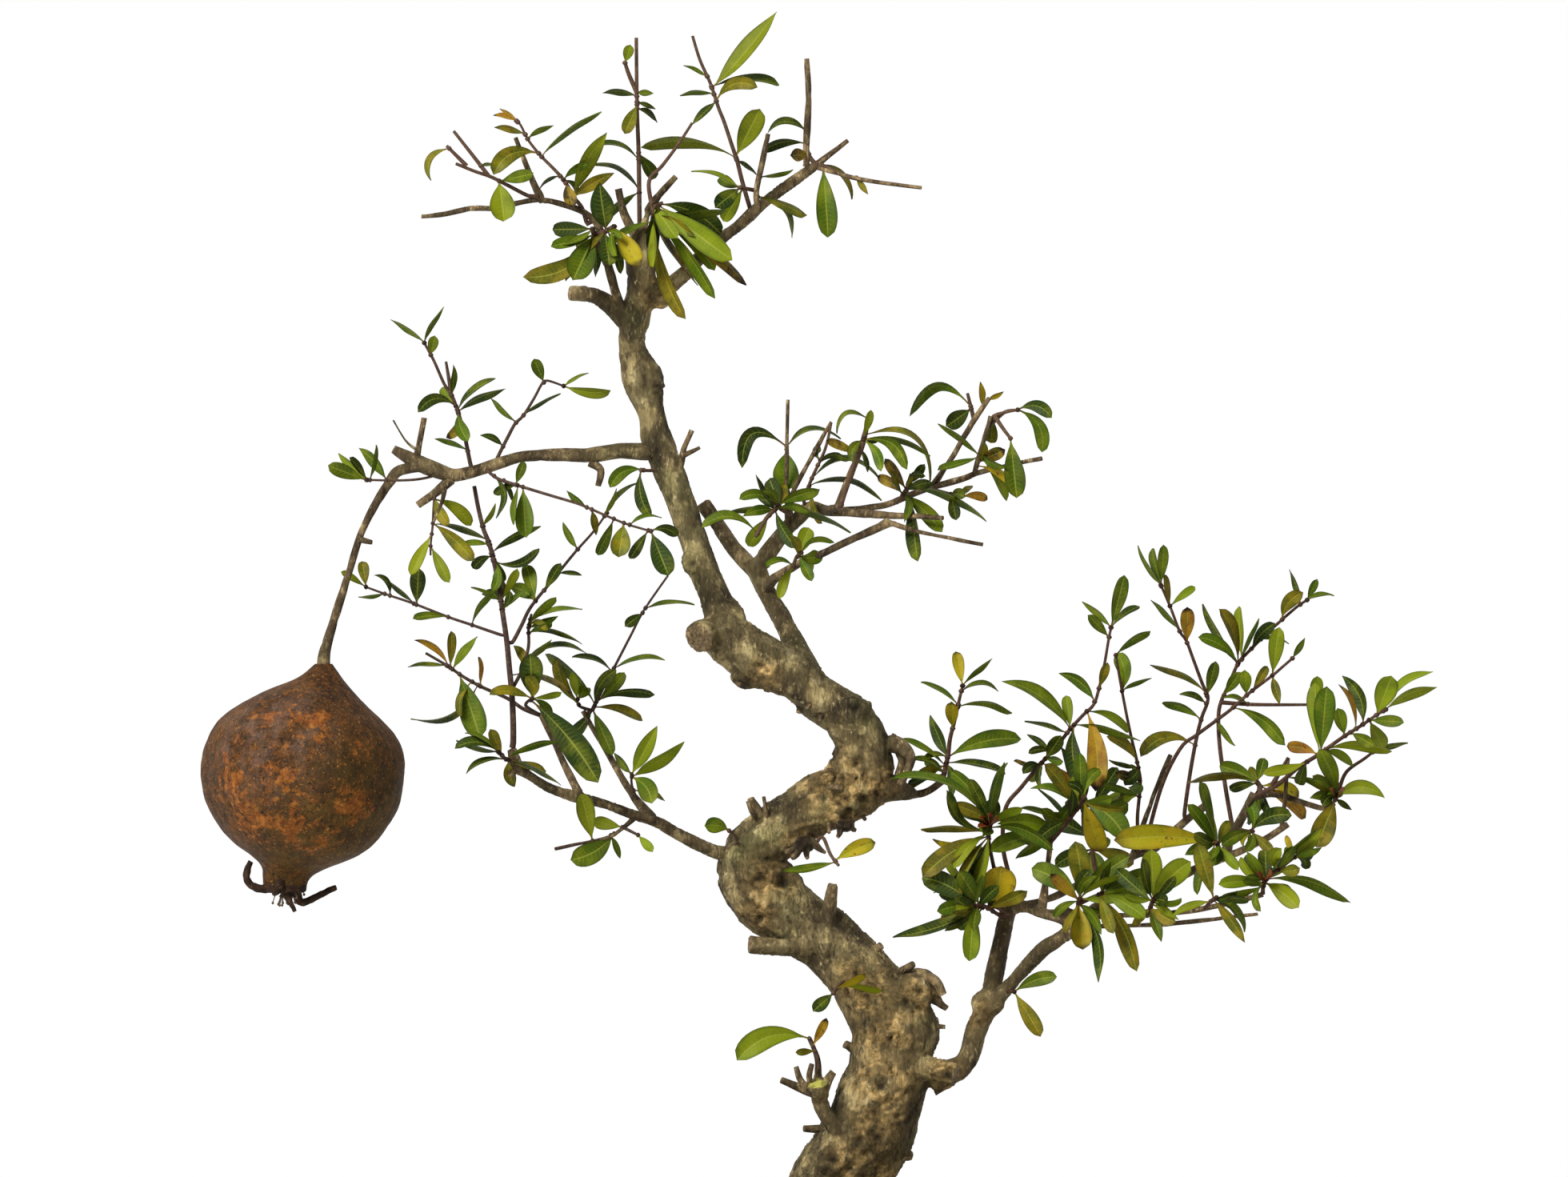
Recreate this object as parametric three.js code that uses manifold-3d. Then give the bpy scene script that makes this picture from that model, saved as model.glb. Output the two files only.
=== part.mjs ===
import * as THREE from "three";
import { mergeVertices } from "three/addons/utils/BufferGeometryUtils.js";
import Module from "manifold-3d";

// A pomegranate tree grown as a bonsai, in a plain unglazed pot. Millimetres, +Z up, front on -Y.
// The origin is on the surface under the middle of the pot.

const GAP = 0.3; // clearance between pieces that touch
const POT_LENGTH = 320;
const POT_DEPTH = 220;
const RIM_HEIGHT = 80; // top of the rim above the surface
const FOOT_HEIGHT = 8;
const POT_TAPER = 14; // how much narrower the body is at its foot, per side pair
const LIP_WIDTH = 7;
const LIP_DROP = 12; // depth of the band under the rim
const WALL = 10;
const FLOOR_TOP = 16; // inner floor of the pot above the surface
const CORNER = 26; // outer corner radius of the pot
const DRAIN_SPACING = 140;
const DRAIN_RADIUS = 12;
const SCREEN_SIDE = 34;
const SCREEN_THICKNESS = 1.2;
const SCREEN_OPENING = 8;
const SCREEN_PITCH = 14; // the two rows and columns of openings lie this far apart
const SOIL_EDGE = 74; // soil height at the wall
const SOIL_CROWN = 83; // soil height round the trunk
const FOOT_LENGTH = 44;
const FOOT_WIDTH = 24;
const FEET_SPAN_X = 216; // between the middles of the feet, along the pot
const FEET_SPAN_Y = 152;
const RIM_BEVEL = 1.5;
const LEAF_THICKNESS = 0.8;
const LEAF_FOLD = 0.12; // how far the edges stand above the midrib, as a share of the half width
const LEAF_ROOT = 0.7; // how far a leaf's foot reaches past the middle of its stem
const ROOT_REACH = 18; // the farthest a shoot's foot lies from the centre line that carries it
const STEM_PAST_LEAF = 1;
const FRUIT_DEPTH = -14; // the fruit hangs this far from the middle plane
const CALYX_HOLLOW = 5.5; // radius of the cup inside the crown of the fruit

const wasm = await Module();
wasm.setup();

const { Vector3 } = THREE;

// A route is a list of [x, z, y, radius] points: across, up, depth and the radius there.
const TRUNK = [
  [-6, 46, 0, 12], [-6, 60, 0, 20], [-6, 74, 0, 28], [-5, 83, 0, 28], [-2, 92, 0, 23], [2, 102, 0, 20],
  [6, 113, 0, 18.5],
  [9, 124, 0, 17.5], [19, 140, -3, 17], [26, 160, -5, 15.5], [29, 180, -4, 15.5], [15, 201, 0, 12.5],
  [-20, 231, 6, 14], [-25, 241, 7, 12.5], [-21.5, 248, 7, 11], [-10, 257, 6, 10.5], [15, 272, 2, 13],
  [17, 285, -1, 10.5], [12.5, 295.5, -4, 10], [8.5, 299, -5, 9], [-7.5, 311.5, -7, 9],
  [-21.5, 318, -8, 9.5], [-33, 327, -7, 9.5], [-41.5, 350, -3, 5.5], [-60, 400, 3, 6],
  [-66, 425, 2, 7], [-69.5, 435, 1, 5], [-65, 481, -2, 4.6],
];
const ROOTS = [
  [[-6, 88, 0, 15], [-34, 84, -10, 8], [-54, 79, -16, 5], [-70, 70, -20, 3]],
  [[0, 88, 0, 15], [28, 83, -16, 8], [46, 77, -26, 5], [58, 68, -32, 3]],
  [[-2, 90, -4, 14], [-8, 84, -30, 8], [-14, 77, -46, 5], [-18, 68, -56, 3]],
  [[-4, 88, 4, 14], [-20, 83, 28, 8], [-30, 76, 44, 5], [-36, 67, 54, 3]],
  [[0, 88, 4, 14], [22, 83, 24, 8], [38, 76, 36, 5], [48, 67, 44, 3]],
];
const LIMBS = [
  [[28, 192, -3, 8], [38, 195, -6, 7], [46, 193, -8, 4]],
  [[30, 166, -9, 5], [52, 163, -17, 4.2]],
  [[5, 212, -2, 4], [-10, 210, -9, 3.6], [-25.5, 211.5, -13, 3.3]],
  [[22, 284, -3, 4], [30, 287, -4, 2.4], [35, 281, -5, 1.8], [31, 271, -6, 1.4]],
  [[-33, 328, -10, 5], [-46, 327, -13, 6]],
  [[-22, 259, 2, 3], [-25, 266, 0, 1.4]],
  [[4, 219, -6, 3], [6, 234, -9, 2]],
  [[8, 141, -14, 3.5], [3, 148, -16, 3], [0, 161.5, -13, 2.6]],
  [[1, 155, -15, 2], [-13.5, 161, -18, 1.4]],
  [[-53, 388, 1, 2.6], [-47, 404, -2, 1]],
  [[-50, 394.5, -1, 1.2], [-44, 397.5, -3, 0.7]],
  [[-68, 441, 0, 4.5], [-78, 451, -3, 3.4], [-85, 454.5, -5, 3], [-93, 455, -7, 2.8]],
  [[-71, 444, 0, 2.6], [-76, 457, -5, 1.8], [-82, 480, -9, 1.5], [-86, 484.5, -10, 1.3],
   [-103, 490, -11, 1.2], [-148, 483.8, -16, 0.8]],
  [[-103, 489.5, -11, 1.4], [-113, 513.5, -7, 0.8]],
  [[-66, 474, -2, 3], [-72, 484, -4, 1.7], [-74.5, 494.5, -5, 1.5]],
  [[-66, 479, -2, 2], [-61, 490, 0, 1.4], [-53, 499, 2, 1.1]],
  [[-67, 449, 0, 4], [-25, 485.5, 8, 2.6], [0, 504, 8, 1.8]],
  [[-58, 397, 2, 4], [-85, 394.8, -5, 2.8], [-112, 393.8, -9, 2.3], [-137, 387, -12, 2.6],
   [-158.5, 396.8, -14, 1.6]],
  [[-137, 385.5, -12, 2.2], [-149.5, 375.8, -14, 1.5]],
  [[-150, 393, -13, 1.4], [-147, 408.5, -14, 1.1]],
  [[-85, 392, -5, 1.8], [-81, 389, -6, 1.4], [-82, 383, -7, 1.2]],
  [[-147, 390, -13, 2.2], [-156, 388.8, -14, 2.2], [-168.5, 370, -14, 1.5], [-181.6, 330, -14, 1.7],
   [-185, 313, -14, 2.4]],
  [[-27, 244, 7, 4], [-36, 245, 4, 2.8], [-60, 257, -6, 2.2], [-100, 270, -20, 2.1],
   [-112, 278, -25, 2.3], [-114, 285, -25, 1.7]],
  [[-89, 267.5, -16, 1.8], [-104, 298, -5, 1.2]],
  [[-62, 258.5, -6, 1.9], [-72, 271.5, 6, 1.4], [-88, 298.5, 19, 1.2]],
  [[-3, 314, -5, 5], [-14, 335, 6, 3.8], [-23, 353, 12, 4]],
  [[-23, 351, 12, 3.2], [-33, 362, 14, 3], [-43, 377, 16, 2.8]],
  [[-22, 353, 12, 3.3], [-12, 366, 13, 3], [-2, 375, 12, 2.8], [5, 373.8, 6, 2], [47, 371, -15, 0.9]],
  [[-1, 374.5, 12, 2.2], [20, 375, 9, 1.4], [38, 381, 8, 1.3], [84, 393.3, -16, 0.9]],
  [[3, 374, 8, 1.5], [9, 376, -16, 1.3]],
  [[-19, 344, 9, 2.4], [-16, 348.5, 0, 2], [-8, 353, -10, 1.7], [0, 357, -14, 1.5],
   [27, 369.5, -10, 1.8]],
  [[42, 160, -6, 6], [53, 165, -5, 4.4], [57, 170, -4, 4], [64, 188, 0, 4.8]],
  [[64, 188, 0, 4], [71.5, 223, 9, 3.1]],
  [[64, 188, 0, 3.6], [84, 209, -7, 2.9], [97, 218, -12, 2.4]],
  [[71, 223, 9, 2.6], [77, 225.5, 6, 2.3], [97, 218.5, -12, 2.2]],
  [[72, 223, 9, 2.4], [103, 235, 31, 1.5], [127, 246, 41, 1.5], [133, 251, 45, 1.5],
   [147, 262.5, 42, 1.5]],
  [[97, 218.5, -12, 2.2], [105, 226.5, -13, 1.8], [130, 234, -11, 1.8], [155, 245, -11, 1.8]],
  [[151, 243.5, -10, 1.7], [156, 253, -12, 1.6], [163.5, 268, -12, 1.5]],
  [[155, 245, -11, 1.6], [176, 256.5, -13, 1.2]],
  [[153, 244, -11, 1.5], [156, 256, 8, 1.2]],
  [[163, 266, -12, 1.3], [171, 267.5, -10, 1.1], [190, 262.5, -12, 1.2], [193.5, 264.5, -12, 1.2]],
  [[97, 218.5, -12, 2], [105, 222.5, -24, 1.4], [123, 223, -32, 1.2], [140, 225, -42, 1.1],
   [165.5, 231, -46, 1.1]],
  [[97, 217.5, -12, 1.6], [107, 218.5, -17, 0.9], [164, 223.5, -34, 0.8]],
  [[70.5, 221, 8, 2], [70, 225, 20, 1.5], [72, 238, 23, 1.3]],
  [[71, 222, 8, 1.8], [66, 232, 6, 1.2], [66.5, 240, 2.5, 1.1]],
  [[84, 223, 0, 1.9], [86, 236, 6, 1.2], [87.5, 250, 4, 1.1]],
  [[14, 266, 4, 6], [25, 266, 8, 2], [36, 267, 12, 1.7], [42, 268.5, 13, 1.5], [47.5, 272.5, 14, 1.4]],
  [[119, 243, 38, 1.2], [134, 281.5, 52, 0.8]],
  [[26, 369.5, -10, 1.2], [62, 361, -18, 0.8]],
];
// Knots, burls and callus: [x, z, y, radius across, radius up, radius in depth].
const KNOTS = [
  [36, 194, -10, 8, 7, 7], [19, 193, -13, 6, 7, 4], [27, 177, -19, 4, 4, 3], [23, 158, -20, 5, 5, 3],
  [5, 130, -14, 5, 5, 6], [-23, 237, -6, 5, 4, 4], [-5, 248, 0, 7, 5, 7], [10, 256, 0, 6, 5, 7],
  [14, 300, -11, 6, 5, 5], [-27, 311, -8, 5, 4, 4], [-60, 421, -3, 3, 2.6, 3], [-58.5, 455, -1, 4.5, 6, 4.5],
  [-46, 355, -4, 5, 5, 5], [64, 189, -1, 6.5, 6, 6], [93, 222, -8, 4, 3.6, 3.6], [15, 273, 5, 13, 11, 11],
];
// Fruit outline from stalk to calyx: [middle x, z, radius].
const FRUIT = [
  [-184.8, 316.5, 3], [-187, 311.5, 8.5], [-190.4, 305, 18], [-192.5, 297.5, 28.5], [-192.3, 287, 35.8],
  [-192.7, 275, 37.6], [-192.9, 262.5, 35], [-192.2, 251.5, 28.8], [-191.4, 243.8, 19.5],
  [-196.5, 239.4, 10.4],
  [-199, 236, 8], [-199.4, 232.5, 8.6],
];
const CALYX_TIPS = [
  [-213, 242, -5, 1.7], [-205, 229, -26, 1.5], [-189, 229.5, -25, 1.4],
  [-182, 232.5, -8, 1.4], [-198, 232, 1, 1.4],
];

// A leafy stem is [name, radius at its foot, radius at its end, stems, leaves]. A stem is a list of
// [x, z, y]. A leaf is [foot x, foot z, tip x, tip z, width as seen, arch, tone, tip depth]. Its foot
// sinks into the nearest stem, and a capital tone letter marks a blunt leaf.
const CROWN = [
  ["crown_tall_left", 1.1, 0.8, [
    [[-66.5, 478, -2], [-67.8, 551, -4]],
    [[-67.8, 531, -4], [-72, 541.5, -6]],
  ], [
    [-72, 541.5, -70, 548, 4, 0, "L", -3], [-67, 526, -72, 515, 5, 0, "O", -7],
    [-67, 508, -60.5, 498.5, 5, 0, "G", 9],
  ]],
  ["crown_left_upright", 1.1, 0.5, [
    [[-86, 481, -10], [-88, 487, -10], [-94.5, 497, -12], [-106, 509.5, -14], [-113, 520, -15]],
  ], [
    [-104, 507.5, -121, 499.5, 6.5, 4, "O", -7], [-95, 497.5, -86, 503, 3, 1, "G", -8],
    [-88, 493, -78.5, 514, 5.5, 2, "l", -12], [-93, 497, -91.5, 487.5, 5, 0, "B", -6],
  ]],
  ["crown_far_left", 1, 0.7, [
    [[-105, 491.5, -12], [-108, 491.5, -12], [-135, 503.3, -20]],
    [[-131, 502.5, -19], [-138.5, 510, -20]],
    [[-123, 499, -16], [-136, 515.7, -14]],
  ], [
    [-118, 499, -117, 482, 9.5, 0, "L", -6], [-118, 498.5, -106, 499.5, 5, 0, "G", -12],
    [-138, 508.5, -144.5, 496.8, 2.8, 4, "o", -5], [-126, 502.5, -120.5, 503.5, 1.6, 0, "g", 8],
  ]],
  ["crown_left_low", 1.4, 1, [
    [[-79, 466, -7], [-84, 479, -18]],
    [[-83, 476, -15], [-76, 480, -14]],
  ], [
    [-84, 477.5, -109.5, 461.5, 7.5, -6, "O", -8], [-86, 476, -91, 460, 10, 0, "G", -12],
    [-80, 479, -77.5, 465.5, 7, 0, "D", -11], [-76, 480, -66.5, 465.5, 7.5, 0, "Y", -8],
    [-80, 480, -81.5, 496, 9, 0, "d", -7], [-85, 480, -99, 479, 6, 0, "D", 8],
    [-84, 476, -82.5, 461, 3, 0, "d", 10], [-78, 478, -73, 462.5, 4, 0, "D", 6],
  ]],
  ["crown_centre", 1, 0.6, [
    [[-62, 480, -6], [-61, 487, -10], [-58, 489, -14]],
    [[-61.5, 486, -9], [-63, 497, -8], [-46.8, 519, -8]],
  ], [
    [-61, 489, -52.5, 475.5, 7, 0, "L", -8], [-60, 490, -36, 477, 8, 3, "D", 7],
    [-58, 486, -32.5, 467.5, 9, 0, "L", -13], [-59, 485, -38, 464, 6, 2, "L", 3],
    [-60, 483, -40, 452.8, 4.5, 3, "G", -6], [-59, 482, -27.5, 457.5, 5, 4, "B", -4],
    [-62, 482, -49.5, 445.3, 4.5, -2, "O", -9], [-62, 484, -44, 459, 3, -2, "b", 12],
  ]],
  ["crown_right_tall", 1.1, 0.7, [
    [[-25, 487, 8], [-30, 505, 8], [-46.8, 552, 3]],
  ], [
    [-38, 533, -15.5, 561.5, 6.5, -1, "l", 4], [-37, 534, -14, 534.5, 3, 2, "G", 10],
    [-38, 527.5, -46.8, 519, 3, 0, "d", -6], [-37, 528, -22.5, 532.5, 5, 4, "O", -8],
    [-31, 506, -66, 509.5, 4, 5, "L", 9], [-30, 507, -21.5, 524.5, 8.5, 0, "L", -7],
  ]],
  ["crown_right_branch", 1, 0.8, [
    [[-22.5, 490.5, 7], [-18.5, 515, 6]],
    [[-22.5, 494, 7], [-29, 495, 0]],
  ], [
    [-29, 494, -38, 487.5, 6.5, 0, "D", -8], [-28, 493.5, -35.5, 482.5, 5.5, 0, "L", 6],
    [-22, 492, -4.5, 484, 3.5, 1, "O", -9],
  ]],
  ["crown_right_end", 1.1, 0.8, [
    [[0, 503.5, 8], [-3, 507, 8], [-4, 512, 8], [-3, 535, 8], [-4, 543.5, 8]],
    [[-0.5, 504.5, 8], [10, 499.8, 5], [39, 494.8, -3]],
    [[0, 504.5, 8], [11.5, 513, 15]],
  ], [
    [2.5, 504, 4.2, 476.5, 8, 0, "G", -6], [-2, 508, -10, 507, 5, 0, "B", -8],
    [-5, 516, -19, 516, 3, 4, "d", -5], [-4, 511.5, -20.5, 508.5, 3.5, 2.5, "D", 7],
  ]],
];
const FRUIT_BRANCH = [
  ["fruit_spire_top", 1, 0.6, [
    [[-130, 392, -10], [-134.5, 411, -12], [-147, 436.5, -13]],
    [[-137, 418, -12], [-139, 429.5, -8]],
  ], [
    [-144.5, 432, -143, 439, 4, 0, "L", -6], [-135, 413, -149, 410.5, 4.5, 4, "D", -8],
    [-135, 413, -141, 420, 4, 0, "G", 7], [-134, 410, -138.5, 401, 3.5, -2, "B", -6],
    [-133, 411, -116.5, 418.5, 3, 1.8, "d", -9], [-132.5, 411, -130.5, 400, 5, -1, "G", -10],
  ]],
  ["fruit_upper_twig", 0.9, 0.5, [
    [[-120, 393, -9], [-113, 406.5, -8], [-110, 409.5, -7], [-103, 421.5, -6], [-101, 422.5, -6],
     [-95, 420.5, -5]],
  ], [
    [-102.5, 422, -106, 430.5, 4.5, 0, "G", -5], [-95, 420.5, -77.5, 418, 4.2, -1, "L", -6],
  ]],
  ["fruit_left_tip", 0.7, 0.5, [
    [[-143, 387, -12], [-149, 385.5, -17], [-157, 385, -20], [-168.5, 385.2, -21]],
  ], [
    [-168.5, 385.3, -182.5, 390.5, 5.5, 0, "G", -5], [-168, 386, -179.5, 395, 3, 0, "l", 6],
    [-168, 386, -174, 393.5, 3, 0, "D", -9], [-161, 386, -172, 397, 4, 1.5, "g", 8],
  ]],
  ["fruit_under_fork", 0.7, 0.45, [
    [[-143, 380.5, -14], [-144.5, 357, -18]],
  ], [
    [-144, 365, -152, 350, 4.5, 0, "L", -5], [-143.5, 369, -128.5, 355, 5.5, 1, "O", -8],
    [-144, 360.5, -137.5, 347, 4.5, 0, "L", -6], [-143, 378, -129.5, 368, 5, 2, "L", 6],
    [-143, 379, -137.5, 368.5, 4.5, -1, "O", -6],
  ]],
  ["fruit_bare_twig", 0.8, 0.5, [
    [[-124, 389.5, -12], [-120, 386, -15], [-113, 383.5, -18], [-90, 376.5, -25], [-62, 366, -29]],
  ], [
    [-112.5, 384, -109.5, 392, 3.5, 0, "G", -5], [-112, 383, -121, 379.5, 3.5, 1, "D", 8],
    [-110, 382.5, -108.8, 364, 7, 0, "G", -7], [-84, 374.5, -82.5, 364.5, 3, 0, "o", 7],
    [-72, 369.5, -74, 356.5, 7.5, 0, "O", -6], [-76, 370.5, -82, 357, 4, 0, "G", 8],
    [-63, 366.5, -70, 355.5, 4, 0, "D", 6], [-62, 366.5, -52, 364, 4, 2, "D", 8],
    [-62, 366, -55.5, 349.5, 8, 0, "D", -6],
  ]],
];
const LEFT_BRANCH = [
  ["left_spire", 1.4, 0.9, [
    [[-113.5, 287, -25], [-114, 305, -24], [-117.5, 335, -18], [-121, 355, -12], [-125, 367, -8],
     [-128.5, 383, -5]],
  ], [
    [-120.5, 355, -104.5, 360, 3.5, -4, "D", 7], [-121, 358, -103.5, 367, 3, 2, "d", -8],
    [-121, 357, -129, 352, 4, 1, "D", 8], [-121, 355.5, -121.5, 343.5, 3.5, -2, "G", -7],
    [-121, 357, -117.5, 346.5, 4, 0, "D", 8], [-117, 340, -112, 352, 3, 0, "L", -6],
  ]],
  ["left_side_twig", 0.8, 0.5, [
    [[-117.5, 327.2, -20], [-169, 345.2, -6]],
  ], [
    [-169, 345.2, -170.5, 355, 4.3, 0, "O", 4], [-150, 338.6, -149, 352, 6, 0, "D", -6],
    [-138, 334, -151, 333.5, 3, 0.7, "G", -6],
  ]],
  ["left_right_twig", 1, 0.5, [
    [[-114, 324.5, -19], [-107, 338, -12], [-79, 373, 8]],
  ], [
    [-105.5, 340, -109, 354, 5.5, 0, "G", 7], [-103, 344.5, -96, 354, 4, 0, "D", -7],
  ]],
  ["left_inner_twig", 0.9, 0.6, [
    [[-113.5, 308, -22], [-108, 323, -14], [-107, 335, -9.5]],
  ], [
    [-108, 330, -97, 334, 3, 0, "g", -5], [-107.5, 331, -97.5, 341, 3.5, 1, "L", -9],
  ]],
  ["left_dark_twig", 0.9, 0.6, [
    [[-103.5, 297, -5], [-126, 308, -10], [-146.5, 320.5, -13]],
    [[-104, 297.3, -5], [-109, 301, -18], [-106, 304, -24]],
  ], [
    [-106, 303, -107, 320, 9, 0, "D", -7], [-106, 303, -122, 306, 4, 1.5, "O", -9],
    [-107, 303, -82, 272.5, 10.5, 2, "D", -9], [-137, 315.5, -136.5, 328.5, 3.5, 0, "O", -5],
    [-136.5, 314.5, -127.5, 327, 3.5, 0, "l", 6], [-134, 312.5, -126, 289, 9.5, 0, "G", -7],
    [-129, 310, -133.5, 297, 3, 2, "O", -9],
  ]],
  ["left_low_node", 1.1, 0.8, [
    [[-112.5, 280, -27], [-116, 281, -31], [-119, 284, -34]],
  ], [
    [-118, 284, -135, 285.5, 3.5, 3, "D", -6], [-117, 283, -121.5, 292, 4, 0, "O", -9],
  ]],
  ["left_thin_twig", 0.8, 0.5, [
    [[-87, 297.5, 18.5], [-84.5, 299, 15], [-83.5, 301, 14], [-70, 327, 6], [-56, 349.5, 1]],
    [[-85, 298.8, 16], [-89.5, 300.5, 13], [-90, 303, 9]],
  ], [
    [-90, 303, -92, 313, 3.5, 0, "L", -4], [-84, 301, -103, 319, 4, 3, "G", 8],
    [-83, 302, -61.5, 304, 3, 3, "D", -6], [-84, 300, -65.5, 295, 3.5, 1.5, "O", 7],
    [-84, 299, -77, 282.5, 5.5, 0, "G", -8], [-65.5, 335.5, -72, 330.5, 4, 0, "D", -6],
  ]],
  ["left_low_leaves", 0.8, 0.6, [
    [[-68, 258.5, -8], [-79, 251.5, -17], [-98, 247.5, -24]],
    [[-73, 255.5, -13], [-67, 252.5, -16]],
  ], [
    [-72.5, 256, -84, 257.5, 5, 0, "L", 6], [-76, 253, -92, 243.5, 8.5, -2, "G", -8],
    [-67, 252.5, -61.5, 246.5, 3.5, 0, "L", -5], [-84, 250.5, -88, 268, 7, 0, "L", -9],
  ]],
  ["left_red_shoot", 0.7, 0.5, [
    [[-67.5, 265.5, 0], [-69.5, 275, -5]],
  ], [
    [-69.5, 275, -60, 293, 6, 0, "l", -5], [-69.5, 274, -49.5, 286.5, 5, 0, "l", -10],
    [-69.5, 274, -62, 264.5, 7.5, 2, "G", -12], [-69.5, 275, -76.5, 283, 3, 0, "d", 7],
  ]],
];
const TRUNK_SPRIGS = [
  ["trunk_low_sprig", 0.8, 0.6, [
    [[0, 161.5, -13], [0.5, 166, -15], [-3, 176.5, -17]],
  ], [
    [-3, 176.5, -30, 168.5, 9, 5, "L", -4], [-1, 174, 3.5, 184, 3.5, 0, "R", -6],
    [-0.5, 172, -8, 171.5, 2.8, 0, "O", -7],
  ]],
  ["trunk_bend_leaves", 0.9, 0.7, [
    [[9, 197, -12.5], [6, 193.5, -19]],
  ], [
    [6, 193.5, -1.5, 187, 5, 0, "D", -5], [7, 195, 18, 200.5, 3, 0, "Y", -8],
    [8, 196, 24, 194, 2.4, 1, "L", -5],
  ]],
  ["trunk_elbow_leaves", 0.9, 0.7, [
    [[-30, 250, -4], [-33, 254, -9]],
  ], [
    [-33, 254, -42, 256, 6, 1, "G", -6],
  ]],
  ["trunk_fork_leaves", 0.9, 0.7, [
    [[2, 251.5, -3], [8, 241, -11]],
  ], [
    [7, 242.5, -13, 239, 3, -1, "g", -5], [7, 243, 21.5, 249.5, 6, 1, "Y", -5],
  ]],
  ["trunk_upper_left_leaves", 0.9, 0.7, [
    [[-61.5, 389, 0], [-66, 389, -4]],
  ], [
    [-65, 389, -77.5, 382.5, 5, 3, "G", -4], [-66, 389, -62.5, 371.5, 5, -2, "D", -6],
  ]],
];
const MIDDLE_BRANCH = [
  ["mid_left_stub_leaves", 0.8, 0.7, [
    [[-9, 376, 14], [-11.5, 384, 15], [-11, 415.5, 17]],
  ], [
    [-11.7, 398, -28, 390, 5.5, 10, "D", -4], [-11.3, 398, 9, 401, 2.2, 5, "d", 7],
    [-11.6, 397, -12, 381.5, 10, 0, "G", -8],
  ]],
  ["mid_tall_stub_leaves", 1.2, 0.9, [
    [[9, 376.5, -18], [19, 408, -22]],
  ], [
    [18, 401, 20, 411, 3, 0, "L", -7], [17.5, 400, 23.5, 388.5, 4, 2, "G", -8],
    [17.5, 400, 33, 389, 5, 5, "G", -11], [15, 395, 3.5, 400, 3.5, 0, "B", -5],
  ]],
  ["mid_node_sprig", 0.9, 0.6, [
    [[-5, 377.5, 10], [-2, 386, 6], [3, 397, 3], [5.3, 407, 2]],
  ], [
    [-2, 386, 23.5, 386, 2.2, 7, "d", 5], [-3, 383, 24, 377.5, 2.2, 6, "d", -6],
    [0, 391, 12, 392.5, 2.5, 3, "D", -8], [1, 393, 8.5, 396, 1.8, 0, "d", 5],
  ]],
  ["mid_left_cluster", 1.1, 0.8, [
    [[-10, 372.5, 6], [-15, 376, -4]],
    [[-15, 375, -3], [-19, 371, -8], [-23, 364, -12]],
  ], [
    [-14, 375, -18, 386, 6, 0, "D", 8], [-15, 376, -29, 378.5, 3.5, 2.5, "G", -8],
    [-16, 374, -27.5, 372, 4, 1, "g", -8], [-18, 372, -26, 360.5, 5.5, 0, "L", 7],
    [-22, 365, -43.5, 368, 3.5, 5, "G", -4], [-15, 375.5, 0.5, 381, 5, 1, "G", -12],
    [-15, 373.5, -8, 360, 4.5, -1, "D", -8],
  ]],
  ["mid_lower_leaves", 0.9, 0.7, [
    [[-9, 352, -14], [-8, 356, -18], [-6, 358, -21]],
  ], [
    [-8, 357, -3, 367.5, 6, 0, "L", 5], [-6, 358, 6, 361.5, 2.5, 3.5, "G", -5],
    [-7, 357, -2, 347.5, 4, 0, "G", -7], [-9, 353, -14, 341, 4, 1, "L", -5],
  ]],
  ["mid_arm_leaves", 1, 0.7, [
    [[30, 377, 2], [35, 384, -5]],
  ], [
    [33, 382, 25.5, 393, 4, 0, "B", -5], [32, 380, 22.5, 386.5, 4, 1, "B", 7],
    [34.5, 384, 40, 391, 3.5, 0, "D", -7], [33, 381, 43, 384, 4, 1, "D", -12],
    [32.5, 380, 46.5, 366, 6, 1, "L", -10],
  ]],
  ["mid_arm_end_leaves", 0.9, 0.7, [
    [[43, 382, 3], [54, 379, -8]],
  ], [
    [50, 380, 52, 370.5, 4.5, 0, "D", -5], [54, 379, 64, 378, 3.5, 1, "R", 5],
  ]],
  ["mid_right_top", 1, 0.7, [
    [[45, 384.5, 8], [64.5, 416, 13]],
    [[59, 408, 12], [56.5, 418, 10]],
  ], [
    [57, 413, 36, 409, 4.5, 10, "G", 4], [57, 412, 48.5, 405.5, 6.5, 0, "D", -5],
    [62, 413, 61.5, 422, 2.5, 0, "y", -6], [64, 415.5, 70, 418.5, 2, 0, "y", -5],
  ]],
  ["mid_right_end", 1, 0.7, [
    [[59.5, 389.5, -5], [65, 408, -9], [75, 411.5, -11]],
    [[66.5, 409, -9.5], [72.5, 400.5, -13]],
  ], [
    [75, 411.5, 84, 395.5, 5.5, 4, "G", 5], [75, 411.5, 87.5, 408.5, 5, 3, "D", -6],
    [72.5, 401, 74.5, 378.5, 8, 0, "G", -5], [66, 408, 65, 399, 5, 0, "O", 8],
    [60.5, 392, 70, 396.5, 5, 0, "B", -7], [61, 395, 71.5, 377.5, 4.5, 1, "L", 4],
  ]],
];
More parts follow.
